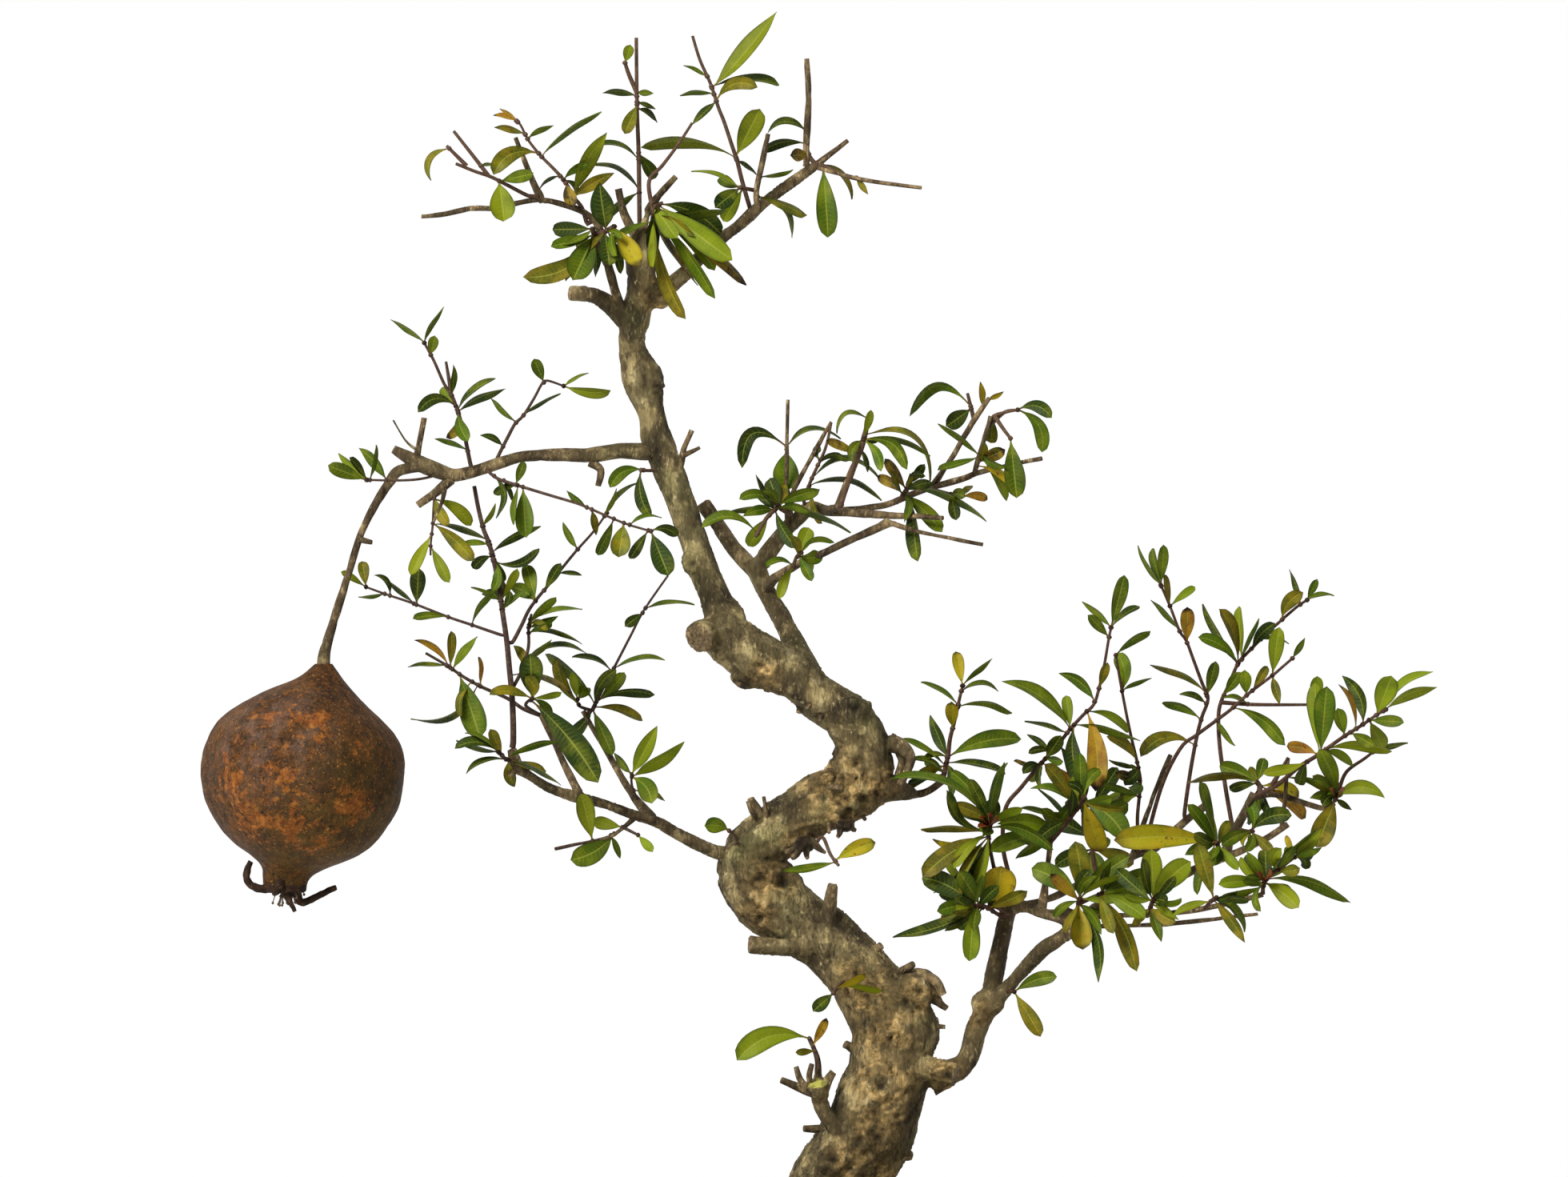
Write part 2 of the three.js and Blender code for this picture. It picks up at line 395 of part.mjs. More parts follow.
const RIGHT_BRANCH = [
  ["right_first_shoot", 1.2, 0.6, [
    [[47.5, 273.5, 14], [49.3, 282, 16], [55, 309, 16]],
  ], [
    [55, 308, 52.3, 321, 4.5, 0, "Y", 4], [51, 292, 50.5, 302, 5, 0, "Y", -7],
    [49, 281, 42.3, 297, 4.5, 0, "d", 7], [49.5, 281, 77, 288, 7, 2.5, "G", 9],
    [49, 279, 71, 275, 3.2, 1.5, "D", 5],
  ]],
  ["right_red_node", 0.9, 0.7, [
    [[66.5, 239, 3], [64, 253, -8], [65, 257, -10]],
  ], [
    [64.5, 257, 28, 275, 3.4, 6, "G", -9], [64.5, 257, 49.5, 276, 5, 2, "G", 7],
    [64.5, 257, 57, 273.5, 4.5, 0, "D", -5], [64, 254, 49.5, 269, 3.5, -5, "D", -13],
    [64, 253, 39, 253.5, 3, 2, "O", 5], [65, 257, 75.5, 262, 3.5, 0, "O", -6],
    [64.5, 255, 87, 246.5, 5, 4, "G", -9], [64.5, 248, 43.3, 251, 4.5, -3, "y", -5],
  ]],
  ["right_tall_shoot", 1.1, 0.6, [
    [[72, 238, 22], [70, 248, 21], [71, 262, 20], [104, 301, 14], [110.5, 330, 12]],
  ], [
    [110.5, 330, 115.5, 349.5, 5.5, 0, "G", -5], [109, 326.5, 102, 334.5, 4, 0, "G", -6],
    [106.5, 307, 109, 316.5, 3.5, 0, "O", -7], [104.5, 302, 91, 312.7, 4, 2.5, "g", 6],
    [97, 293, 121, 286.8, 3, 2, "l", -6], [102, 298, 117.5, 290.5, 3.5, 2, "L", 7],
    [97, 293, 99.5, 271, 7, -2, "D", -9], [91, 286, 98, 271, 5, 1, "D", 8],
    [102, 298, 104.5, 269, 8, 2, "R", -10], [95, 292, 69.5, 310, 5, 3.5, "g", -6],
    [95, 292, 93.8, 304.5, 4.2, 0, "L", 6], [86, 280.5, 91.5, 289, 5.5, 0, "D", -8],
  ]],
  ["right_slim_shoot", 0.9, 0.6, [
    [[121.5, 246, 37], [121.5, 276, 31], [112.5, 320, 25]],
  ], [
    [112.5, 319.5, 125.5, 328.5, 3.4, 1, "G", -5], [115, 306, 113, 320.5, 6, 2, "L", 7],
    [120.5, 279, 109.5, 289, 4.2, 2, "O", -7], [121.7, 272, 113, 275, 4, 0, "B", -7],
    [122, 266, 108, 270, 3, 1, "G", 7],
  ]],
  ["right_upper_left_shoot", 1, 0.6, [
    [[139, 259, 43], [140, 275, 42], [139, 290, 41], [142, 297, 40], [148, 303, 39], [139.5, 325, 37],
     [137, 328.5, 36], [129.8, 346, 34]],
  ], [
    [130, 346, 130.8, 361, 4.2, 0, "G", -5], [130, 346, 126.3, 360, 3.4, 0, "G", 9],
    [133.3, 338, 143, 345.5, 3, 0, "L", 5], [139.5, 324, 139.8, 337.5, 5.5, 0, "R", -6],
    [147, 305, 126, 314.5, 3, 3, "O", 6], [147.5, 304, 150.5, 317, 4.5, 0, "G", -6],
    [141, 296, 130.5, 300.5, 3.5, 2, "G", 7], [139.3, 286, 122, 281.5, 4.8, 5, "O", -8],
  ]],
  ["right_long_shoot", 1, 0.6, [
    [[156, 255, 8], [151, 270, 12], [148, 285, 15], [150, 302, 17], [158.5, 316.5, 18],
     [163, 321.5, 18], [184.5, 340.3, 20]],
    [[150, 301.8, 17], [187, 301, 10]],
  ], [
    [158.5, 316.5, 143.5, 326.5, 4.5, 2, "G", -5], [158.5, 316.5, 152, 337, 4, 1.5, "O", -9],
    [160, 318, 158.8, 338, 4, 0, "L", 7], [163.5, 322, 172, 331.5, 4.8, 1, "D", -6],
    [175, 333, 182.5, 343, 5.5, 2, "O", -6], [184.5, 340.3, 188, 348, 3, 0, "G", -5],
    [152, 305, 158.8, 313, 4.4, 0, "G", -7], [187, 301, 187.8, 311.5, 5, 0, "L", -4],
  ]],
  ["right_mid_shoot", 1, 0.6, [
    [[124, 247, 39], [130, 270, 30], [137, 284.5, 24], [143, 289.5, 22], [151, 296, 4], [156, 300, 0],
     [178, 318.5, -6]],
  ], [
    [170.5, 312, 172.8, 330, 6, 0, "L", -4], [170.5, 312, 173, 301.5, 3.4, 0, "o", -6],
    [163, 306.5, 169, 315.5, 3.5, 0, "O", 5], [161, 304.5, 160, 314, 4.8, 0, "L", -6],
    [156, 300, 174.5, 285.8, 5, 3, "G", -7],
  ]],
  ["right_far_shoot", 1.2, 0.6, [
    [[163, 266.5, -12], [173, 272, -16], [212, 299.5, -26]],
    [[170, 271, -15], [176, 281.5, -17]],
    [[165.5, 267.8, -13], [165, 272, 2]],
  ], [
    [165, 271.5, 140, 270.5, 3.6, 4, "O", 5], [165.5, 271.5, 151, 278, 6, 1, "G", 8],
    [165, 272, 168, 281, 4.5, 0, "G", 6], [166, 270.5, 181.5, 266.5, 4.5, 2, "Y", 8],
    [166, 270.5, 184, 258.5, 5, 1, "R", 11], [188, 283.3, 190, 308, 8.2, 0, "G", -5],
    [187.5, 283, 186, 309.5, 5, 0, "L", 7], [183, 280, 166.5, 276, 4.2, -1, "L", -6],
    [187, 282.5, 175.5, 285.5, 4.6, 1, "R", 7], [190, 284.5, 214, 283.5, 4.5, 2.5, "L", -9],
    [189, 283.5, 200.5, 278, 3.5, 1.5, "l", 8], [197, 289.5, 194, 300, 5, 0, "L", -7],
    [203.5, 294, 196, 312, 4.8, 3, "d", 7], [208.5, 297.5, 214, 312, 8.4, 0, "L", -5],
    [212, 299.5, 231, 307.5, 4, 2, "l", -4], [206, 295.5, 218, 295, 4.6, 0, "G", -9],
    [206, 295.5, 212, 284.5, 6, 0, "L", 9], [199, 291, 207.5, 286, 4.5, 0, "G", -12],
  ]],
  ["right_far_node", 1, 0.6, [
    [[193.5, 265, -12], [195, 269, -13], [198, 276, -11], [209, 284, -5]],
  ], [
    [194, 266.5, 212, 266.5, 5.5, 4, "l", -5], [194, 267, 185.5, 274.5, 5, 0, "O", -8],
    [194, 266.5, 177, 273.5, 3, 2.5, "g", 8], [194, 267.5, 187.5, 284, 6.5, 1, "L", -13],
    [194, 266, 186.5, 248, 9, 0, "O", -7],
  ]],
  ["right_curl_leaf", 0.9, 0.7, [
    [[158.5, 254.5, -14], [163, 254, -22]],
  ], [
    [162, 254, 177, 260, 6.5, 2.5, "D", -5], [162.5, 254, 151, 249, 5, 1, "G", -8],
    [162, 254, 170, 246, 4, 0, "O", -7],
  ]],
  ["right_bottom_shoot", 1, 0.6, [
    [[165.5, 233, -46], [166, 236, -49], [168, 238, -51], [177, 245, -55]],
  ], [
    [167, 236.5, 197, 227.5, 5, 4, "G", -5], [166, 235.5, 178, 226.5, 6.8, 1, "L", -9],
    [166, 236, 159.3, 247, 4.2, 0, "l", -6], [166.5, 236.5, 166.5, 248, 6, 0, "D", 7],
    [171, 240.5, 176.5, 249, 4, 0, "G", -8], [177, 245, 187, 255.5, 5, 0, "l", -5],
    [177, 245, 186.5, 248.5, 3, 0, "g", -9], [166, 235, 149, 235, 5, 1, "L", -7],
    [166, 234, 150, 229, 3.5, 0, "L", 6],
  ]],
  ["right_bottom_leaves", 1, 0.7, [
    [[144, 225.8, -44], [148, 230, -54]],
  ], [
    [147, 229.5, 141, 250, 6.5, 0, "O", -5], [147, 229, 158, 213.5, 4, 1, "o", -6],
    [148, 230, 159.5, 217, 3.4, 2, "g", 7], [146, 228.5, 131, 222.5, 3, 1, "l", -4],
  ]],
  ["right_yellow_leaf", 1, 0.8, [
    [[150, 245, -9.5], [149, 250, -18]],
  ], [
    [149, 249.5, 111, 250.5, 9.5, 2, "Y", -4], [149.5, 249, 139, 264, 4.5, 0, "G", -9],
    [150, 248, 146, 262, 4, 0, "G", 8], [149.5, 249, 157, 240, 4, 0, "L", -8],
  ]],
  ["right_centre_sprig", 1.1, 0.7, [
    [[87.5, 249.5, 4], [92, 255, -2], [100.5, 267.5, -10]],
    [[95, 258.5, -4.5], [94, 272, -8]],
  ], [
    [99, 265, 115, 251.5, 9, 2.5, "G", -8], [99.5, 265.5, 106.5, 245.5, 8, 0, "Y", 6],
    [98, 263, 80, 271, 3, 2, "g", -7], [90, 252.5, 67.5, 256.5, 6.5, 2.5, "l", -9],
    [89, 251.5, 65, 246.5, 6, 2, "G", -15], [99, 265, 98, 283, 5.5, 0, "G", -8],
    [97, 262, 85, 279, 5.5, 1, "O", -9],
  ]],
  ["right_front_leaves", 1.1, 0.8, [
    [[70, 221, 6.5], [67, 223, -2], [62, 226, -10], [58, 226, -13]],
  ], [
    [66, 224, 69, 240.5, 13, 0, "Y", -6], [58.5, 226, 57, 205.5, 6.8, 0, "L", -4],
    [60, 226, 45, 224, 5.5, 1, "G", -6], [61, 226, 53, 239, 6.5, 0, "G", -8],
    [58.5, 226, 39, 236.5, 8.5, 2, "D", 4], [64, 225, 78, 231, 5, 0, "O", -12],
  ]],
  ["right_middle_leaves", 1.1, 0.8, [
    [[97, 221, -12], [98, 229, -26]],
    [[97.5, 227, -23], [106, 231, -28]],
  ], [
    [98, 229, 96, 250, 8, 1, "O", -6], [98, 229, 116, 245, 7, 1, "G", -5],
    [98, 228, 87, 238, 4.5, 0, "R", -8], [97.5, 227, 99, 210, 8, 0, "Y", -7],
    [97.5, 227, 104, 198.5, 3.6, 4, "d", -14], [98, 228, 80, 240, 8.5, 2, "G", 7],
    [105, 230.5, 118.8, 202, 6.5, 2.5, "O", -5], [106, 231, 122, 222, 6.5, 1, "L", -8],
    [105, 230.5, 110, 216.5, 5, 0, "O", -10], [106, 231, 126.5, 238, 7, 1, "G", 5],
  ]],
  ["right_lower_arm_leaves", 1, 0.8, [
    [[123, 222.5, -31], [125, 229, -40]],
  ], [
    [125, 229, 124, 247.5, 8, 0, "L", -5], [125, 228.5, 138.5, 243, 9, 1.5, "L", -8],
    [124, 226, 128, 213.5, 4, 0, "g", -6], [124.5, 227, 133.5, 221.5, 3, 1, "l", -9],
    [124.5, 228, 111, 240, 6, 0, "D", 7],
  ]],
  ["right_back_leaves", 1, 0.8, [
    [[105, 238.5, 32], [104, 246, 38], [104, 254, 42], [104, 262, 44]],
  ], [
    [104, 254, 118, 263, 7, 1, "G", 5], [104, 250, 86, 258, 7, 1, "D", 6],
    [104, 262, 92, 274, 6, 0, "G", -5], [104, 262, 114, 277, 6, 0, "D", 5],
    [104, 246, 120, 240, 6, 1, "O", 8], [104, 246, 90, 240, 6, 1, "D", -5],
  ]],
];

// Joins rings of points into a closed skin. A ring of one point closes an end.
function skin(rings) {
  const vertices = [];
  const starts = [];
  for (const ring of rings) {
    starts.push(vertices.length / 3);
    for (const point of ring) {
      vertices.push(point.x, point.y, point.z);
    }
  }
  const triangles = [];
  for (let k = 0; k + 1 < rings.length; k += 1) {
    const low = rings[k].length;
    const high = rings[k + 1].length;
    const sides = Math.max(low, high);
    for (let side = 0; side < sides; side += 1) {
      const next = (side + 1) % sides;
      const a = starts[k] + (side % low);
      const b = starts[k] + (next % low);
      const c = starts[k + 1] + (next % high);
      const d = starts[k + 1] + (side % high);
      if (low > 1) {
        triangles.push(a, b, c);
      }
      if (high > 1) {
        triangles.push(a, c, d);
      }
    }
  }
  return manifoldOf(vertices, triangles);
}

function manifoldOf(vertices, triangles) {
  const mesh = new wasm.Mesh({
    numProp: 3,
    vertProperties: new Float32Array(vertices),
    triVerts: new Uint32Array(triangles),
  });
  const solid = new wasm.Manifold(mesh);
  if (solid.volume() >= 0) {
    return solid;
  }
  const turned = [];
  for (let k = 0; k < triangles.length; k += 3) {
    turned.push(triangles[k], triangles[k + 2], triangles[k + 1]);
  }
  return manifoldOf(vertices, turned);
}

function solidOf(geometry) {
  const bare = geometry.clone();
  bare.deleteAttribute("normal");
  bare.deleteAttribute("uv");
  const merged = mergeVertices(bare, 1e-4);
  return manifoldOf(Array.from(merged.attributes.position.array), Array.from(merged.index.array));
}

function centreOf(ring) {
  const sum = new Vector3();
  for (const point of ring) {
    sum.add(point);
  }
  return sum.divideScalar(ring.length);
}

// A round limb through [x, z, y, radius] points, with a slight swell and twist of its section.
function limb(route, sides, grow = 0) {
  const points = route.map(([x, z, y]) => new Vector3(x, y, z));
  const rings = [];
  let across = new Vector3(0, 1, 0);
  for (let k = 0; k < points.length; k += 1) {
    const before = points[Math.max(k - 1, 0)];
    const after = points[Math.min(k + 1, points.length - 1)];
    const along = after.clone().sub(before).normalize();
    across.addScaledVector(along, -across.dot(along));
    if (across.length() < 0.05) {
      across = new Vector3(1, 0, 0).addScaledVector(along, -along.x);
    }
    across.normalize();
    const other = along.clone().cross(across);
    const radius = route[k][3] + grow;
    const ring = [];
    for (let side = 0; side < sides; side += 1) {
      const angle = (2 * Math.PI * side) / sides;
      const point = points[k].clone();
      point.addScaledVector(across, radius * Math.cos(angle));
      point.addScaledVector(other, radius * Math.sin(angle));
      ring.push(point);
    }
    rings.push(ring);
  }
  return skin([[centreOf(rings[0])], ...rings, [centreOf(rings[rings.length - 1])]]);
}

function sidesFor(radius) {
  if (radius > 9) {
    return 10;
  }
  if (radius > 2.9) {
    return 7;
  }
  return radius > 1.7 ? 5 : 4;
}

function woodSolid(grow) {
  const pieces = [limb(TRUNK, 12, grow)];
  for (const route of [...ROOTS, ...LIMBS]) {
    pieces.push(limb(route, sidesFor(route[0][3]), grow));
  }
  for (const [x, z, y, wide, high, deep] of KNOTS) {
    const knot = new THREE.IcosahedronGeometry(1, wide > 6 ? 1 : 0);
    knot.scale(wide + grow, deep + grow, high + grow);
    knot.translate(x, y, z);
    pieces.push(solidOf(knot));
  }
  return wasm.Manifold.union(pieces);
}

// The point of a stem that lies nearest to (x, z) as seen from the front.
function nearestOnStem(stems, x, z) {
  let best = null;
  let bestDistance = Infinity;
  for (const stem of stems) {
    for (let k = 0; k + 1 < stem.length; k += 1) {
      const [x0, z0, y0] = stem[k];
      const [x1, z1, y1] = stem[k + 1];
      const run = (x1 - x0) ** 2 + (z1 - z0) ** 2;
      const share = Math.min(Math.max(((x - x0) * (x1 - x0) + (z - z0) * (z1 - z0)) / run, 0), 1);
      const point = new Vector3(x0 + share * (x1 - x0), y0 + share * (y1 - y0), z0 + share * (z1 - z0));
      const distance = Math.hypot(point.x - x, point.z - z);
      if (distance < bestDistance) {
        best = point;
        bestDistance = distance;
      }
    }
  }
  return best;
}

// Where a blade has its sections, and how much of its full width each one has.
function bladeShape(seenWidth, arch, blunt) {
  if (seenWidth < 2.5 && Math.abs(arch) < 2) {
    return [[0.45], [1]];
  }
  if (seenWidth < 5 && Math.abs(arch) < 3) {
    return [[0.25, 0.65], [0.5, 1]];
  }
  return [[0.18, 0.45, 0.8], [0.3, 0.95, blunt ? 0.86 : 0.62]];
}

// One blade: a keeled section, folded up a little along the midrib, on an arched midline.
function leaf(row, stems, grow) {
  const [footX, footZ, tipX, tipZ, seenWidth, arch, tone, depth] = row;
  const foot = nearestOnStem(stems, footX, footZ);
  const tip = new Vector3(tipX, foot.y + depth, tipZ);
  const chord = tip.clone().sub(foot);
  const length = chord.length();
  const up = new Vector3(-chord.z, 0, chord.x).normalize();
  if (up.z < 0) {
    up.negate();
  }
  const knee = foot.clone().add(tip).multiplyScalar(0.5).addScaledVector(up, 2 * arch);
  const width = Math.max(seenWidth, Math.min(0.27 * length, 8));
  const roll = Math.acos(seenWidth / width) * (depth < 0 ? 1 : -1);
  const midline = new THREE.QuadraticBezierCurve3(foot, knee, tip);
  const blunt = tone === tone.toUpperCase();
  const [stations, shares] = bladeShape(seenWidth, arch, blunt);
  const rings = [[foot.clone().addScaledVector(chord, -LEAF_ROOT / length)]];
  stations.forEach((station, k) => {
    const middle = midline.getPoint(station);
    const along = midline.getTangent(station);
    const flat = new Vector3(0, 1, 0).cross(along).normalize();
    const facing = along.clone().cross(flat);
    const side = flat.multiplyScalar(Math.cos(roll)).addScaledVector(facing, Math.sin(roll));
    const normal = side.clone().cross(along);
    const half = (width * shares[k]) / 2 + grow;
    const thick = LEAF_THICKNESS - LEAF_FOLD * half + 2 * grow;
    const fold = LEAF_FOLD * half;
    rings.push([
      middle.clone().addScaledVector(side, -half).addScaledVector(normal, fold),
      middle.clone().addScaledVector(normal, -thick),
      middle.clone().addScaledVector(side, half).addScaledVector(normal, fold),
    ]);
  });
  rings.push([tip.clone().addScaledVector(chord, grow / length)]);
  return skin(rings);
}

// A point just past the end of a route, so that a leaf at the very end roots in wood.
function pastEnd(route) {
  const end = route[route.length - 1];
  const before = route[route.length - 2];
  const length = Math.hypot(end[0] - before[0], end[1] - before[1], end[2] - before[2]);
  const past = [0, 1, 2].map((k) => end[k] + ((end[k] - before[k]) * STEM_PAST_LEAF) / length);
  return [...past, 0.8 * end[3]];
}

function shootSolid([, footRadius, endRadius, stems, leaves], grow) {
  const pieces = [];
  for (const stem of stems) {
    const last = stem.length - 1;
    const route = stem.map(([x, z, y], k) => [x, z, y, footRadius + ((endRadius - footRadius) * k) / last]);
    route.push(pastEnd(route));
    pieces.push(limb(route, 4, grow));
  }
  for (const row of leaves) {
    pieces.push(leaf(row, stems, grow));
  }
  return wasm.Manifold.union(pieces);
}

// Starts a shoot's first stem on the centre line of the wood or stem that carries it.
function seated(shoot, carriers) {
  const [name, footRadius, endRadius, [first, ...others], leaves] = shoot;
  const [footX, footZ, footY] = first[0];
  const foot = new Vector3(footX, footY, footZ);
  let root = null;
  let reach = ROOT_REACH;
  for (const route of carriers) {
    for (let k = 0; k + 1 < route.length; k += 1) {
      const start = new Vector3(route[k][0], route[k][2], route[k][1]);
      const end = new Vector3(route[k + 1][0], route[k + 1][2], route[k + 1][1]);
      const point = new THREE.Line3(start, end).closestPointToPoint(foot, true, new Vector3());
      if (point.distanceTo(foot) < reach) {
        root = point;
        reach = point.distanceTo(foot);
      }
    }
  }
  if (root === null || reach < footRadius) {
    return shoot;
  }
  return [name, footRadius, endRadius, [[[root.x, root.z, root.y], ...first], ...others], leaves];
}

function boxesMeet(first, second) {
  const a = first.boundingBox();
  const b = second.boundingBox();
  return [0, 1, 2].every((axis) => a.min[axis] < b.max[axis] && b.min[axis] < a.max[axis]);
}

// Keeps the body itself and drops the loose scraps that a cut leaves.
function largestBody(solid) {
  const bodies = solid.decompose();
  bodies.sort((a, b) => b.volume() - a.volume());
  return bodies[0];
}

// Rounded rectangle outline at a height, as points.
function outlineAt(length, depth, radius, height) {
  const x = length / 2 - radius;
  const y = depth / 2 - radius;
  const shape = new THREE.Shape();
  shape.absarc(x, y, radius, 0, Math.PI / 2);
  shape.absarc(-x, y, radius, Math.PI / 2, Math.PI);
  shape.absarc(-x, -y, radius, Math.PI, 1.5 * Math.PI);
  shape.absarc(x, -y, radius, 1.5 * Math.PI, 2 * Math.PI);
  const points = shape.getPoints(3);
  const unique = points.filter((point, k) => k === 0 || point.distanceTo(points[k - 1]) > 0.01);
  if (unique[0].distanceTo(unique[unique.length - 1]) < 0.01) {
    unique.pop();
  }
  return unique.map((point) => new Vector3(point.x, point.y, height));
}

function loftOutlines(rows) {
  const rings = rows.map(([length, depth, radius, height]) => outlineAt(length, depth, radius, height));
  return skin([[centreOf(rings[0])], ...rings, [centreOf(rings[rings.length - 1])]]);
}

// Inner wall of the pot: its length and depth at a height.
function innerSize(height) {
  const share = (height - FLOOR_TOP) / (RIM_HEIGHT - FLOOR_TOP);
  const shrink = 2 * (LIP_WIDTH + WALL) + POT_TAPER * (1 - share);
  return [POT_LENGTH - shrink, POT_DEPTH - shrink];
}

function cylinderAt(x, y, radius, low, high) {
  const cylinder = new THREE.CylinderGeometry(radius, radius, high - low, 20);
  cylinder.rotateX(Math.PI / 2);
  cylinder.translate(x, y, (low + high) / 2);
  return solidOf(cylinder);
}

function blockAt(x, y, length, depth, low, high) {
  const block = new THREE.BoxGeometry(length, depth, high - low);
  block.translate(x, y, (low + high) / 2);
  return solidOf(block);
}

function potSolid() {
  const body = 2 * LIP_WIDTH;
  const lipBottom = RIM_HEIGHT - LIP_DROP;
  let pot = loftOutlines([
    [POT_LENGTH - body - POT_TAPER, POT_DEPTH - body - POT_TAPER, CORNER, FOOT_HEIGHT],
    [POT_LENGTH - body - 2, POT_DEPTH - body - 2, CORNER, lipBottom],
    [POT_LENGTH, POT_DEPTH, CORNER + 3, lipBottom + 2],
    [POT_LENGTH, POT_DEPTH, CORNER + 3, RIM_HEIGHT - RIM_BEVEL],
    [POT_LENGTH - 4, POT_DEPTH - 4, CORNER + 1, RIM_HEIGHT],
  ]);
  for (const x of [-FEET_SPAN_X / 2, FEET_SPAN_X / 2]) {
    for (const y of [-FEET_SPAN_Y / 2, FEET_SPAN_Y / 2]) {
      pot = pot.add(blockAt(x, y, FOOT_LENGTH, FOOT_WIDTH, 0, FOOT_HEIGHT + 2));
    }
  }
  const [floorLength, floorDepth] = innerSize(FLOOR_TOP);
  const [topLength, topDepth] = innerSize(RIM_HEIGHT + 4);
  pot = pot.subtract(loftOutlines([
    [floorLength, floorDepth, CORNER - 8, FLOOR_TOP],
    [topLength, topDepth, CORNER - 8, RIM_HEIGHT + 4],
  ]));
  for (const x of [-DRAIN_SPACING / 2, DRAIN_SPACING / 2]) {
    pot = pot.subtract(cylinderAt(x, 0, DRAIN_RADIUS, 0, FLOOR_TOP + 2));
  }
  return pot;
}

function soilSolid(woodClear) {
  const rows = [];
  for (const height of [FLOOR_TOP + GAP, SOIL_EDGE]) {
    const [length, depth] = innerSize(height);
    rows.push([length - 2 * GAP - 0.2, depth - 2 * GAP - 0.2, CORNER - 8, height]);
  }
  const [edgeLength, edgeDepth] = innerSize(SOIL_EDGE);
  for (const share of [0.8, 0.5, 0.25]) {
    const height = SOIL_EDGE + (SOIL_CROWN - SOIL_EDGE) * (1 - share * share);
    rows.push([edgeLength * share, edgeDepth * share, (CORNER - 8) * share, height]);
  }
  let soil = loftOutlines(rows);
  const side = SCREEN_SIDE + 2 * GAP;
  for (const x of [-DRAIN_SPACING / 2, DRAIN_SPACING / 2]) {
    soil = soil.subtract(blockAt(x, 0, side, side, FLOOR_TOP, FLOOR_TOP + SCREEN_THICKNESS + 2 * GAP));
  }
  return largestBody(soil.subtract(woodClear));
}

function screenSolid(x) {
  const low = FLOOR_TOP + GAP;
  const high = low + SCREEN_THICKNESS;
  let screen = blockAt(x, 0, SCREEN_SIDE, SCREEN_SIDE, low, high);
  for (const column of [-0.5, 0.5]) {
    for (const row of [-0.5, 0.5]) {
      const opening = [x + column * SCREEN_PITCH, row * SCREEN_PITCH, SCREEN_OPENING, SCREEN_OPENING];
      screen = screen.subtract(blockAt(...opening, low - 1, high + 1));
    }
  }
  return screen;
}

// The fruit, with the faint ribs of a pomegranate, the neck of its calyx, and the dried sepals.
function fruitSolid(woodClear) {
  const sides = 16;
  const rings = FRUIT.map(([x, z, radius]) => {
    const ring = [];
    for (let side = 0; side < sides; side += 1) {
      const angle = (2 * Math.PI * side) / sides;
      const rib = 1 + 0.012 * Math.cos(6 * angle);
      const reach = radius * rib;
      ring.push(new Vector3(x + reach * Math.cos(angle), FRUIT_DEPTH + reach * Math.sin(angle), z));
    }
    return ring;
  });
  let fruit = skin([[centreOf(rings[0])], ...rings, [centreOf(rings[rings.length - 1])]]);
  const [neckX, neckZ] = FRUIT[FRUIT.length - 1];
  for (const [x, z, y, radius] of CALYX_TIPS) {
    const startX = neckX + 0.75 * 7 * Math.sign(x - neckX) * Math.min(1, Math.abs(x - neckX) / 7);
    const startY = FRUIT_DEPTH + 0.6 * (y - FRUIT_DEPTH);
    const sepal = [
      [startX, neckZ + 3, FRUIT_DEPTH + 0.35 * (y - FRUIT_DEPTH), 2.4],
      [(startX + x) / 2, neckZ, startY, 2.2],
      [x, z, y, radius],
    ];
    fruit = fruit.add(limb(sepal, 5));
  }
  const cup = cylinderAt(neckX, FRUIT_DEPTH, CALYX_HOLLOW, neckZ - 8, neckZ + 3.5);
  fruit = fruit.subtract(cup);
  for (const [x, y] of [[-3, -2], [2, -3], [1, 3]]) {
    const strand = [
      [neckX + 0.4 * x, neckZ + 6, FRUIT_DEPTH + 0.4 * y, 1],
      [neckX + x, neckZ - 1, FRUIT_DEPTH + y, 0.9],
      [neckX + 1.6 * x, neckZ - 6.5, FRUIT_DEPTH + 1.5 * y, 0.7],
    ];
    fruit = fruit.add(limb(strand, 4));
  }
  return largestBody(fruit.subtract(woodClear));
}

function meshOf(name, solid, material) {
  const { vertProperties, triVerts } = solid.getMesh();
  const geometry = new THREE.BufferGeometry();
  geometry.setAttribute("position", new THREE.BufferAttribute(vertProperties, 3));
  geometry.setIndex(new THREE.BufferAttribute(triVerts, 1));
  geometry.computeVertexNormals();
  const mesh = new THREE.Mesh(geometry, material);
  mesh.name = name;
  return mesh;
}

const stoneware = new THREE.MeshStandardMaterial({ color: 0x6b4a3a, roughness: 0.85, metalness: 0 });
const earth = new THREE.MeshStandardMaterial({ color: 0x4a3c2e, roughness: 0.95, metalness: 0 });
const plasticMesh = new THREE.MeshStandardMaterial({ color: 0x2e3330, roughness: 0.6, metalness: 0 });
const bark = new THREE.MeshStandardMaterial({ color: 0x84755a, roughness: 0.9, metalness: 0 });
const rind = new THREE.MeshStandardMaterial({ color: 0x8a5a2c, roughness: 0.6, metalness: 0 });
const foliage = new THREE.MeshStandardMaterial({ color: 0x5f7d1e, roughness: 0.5, metalness: 0 });

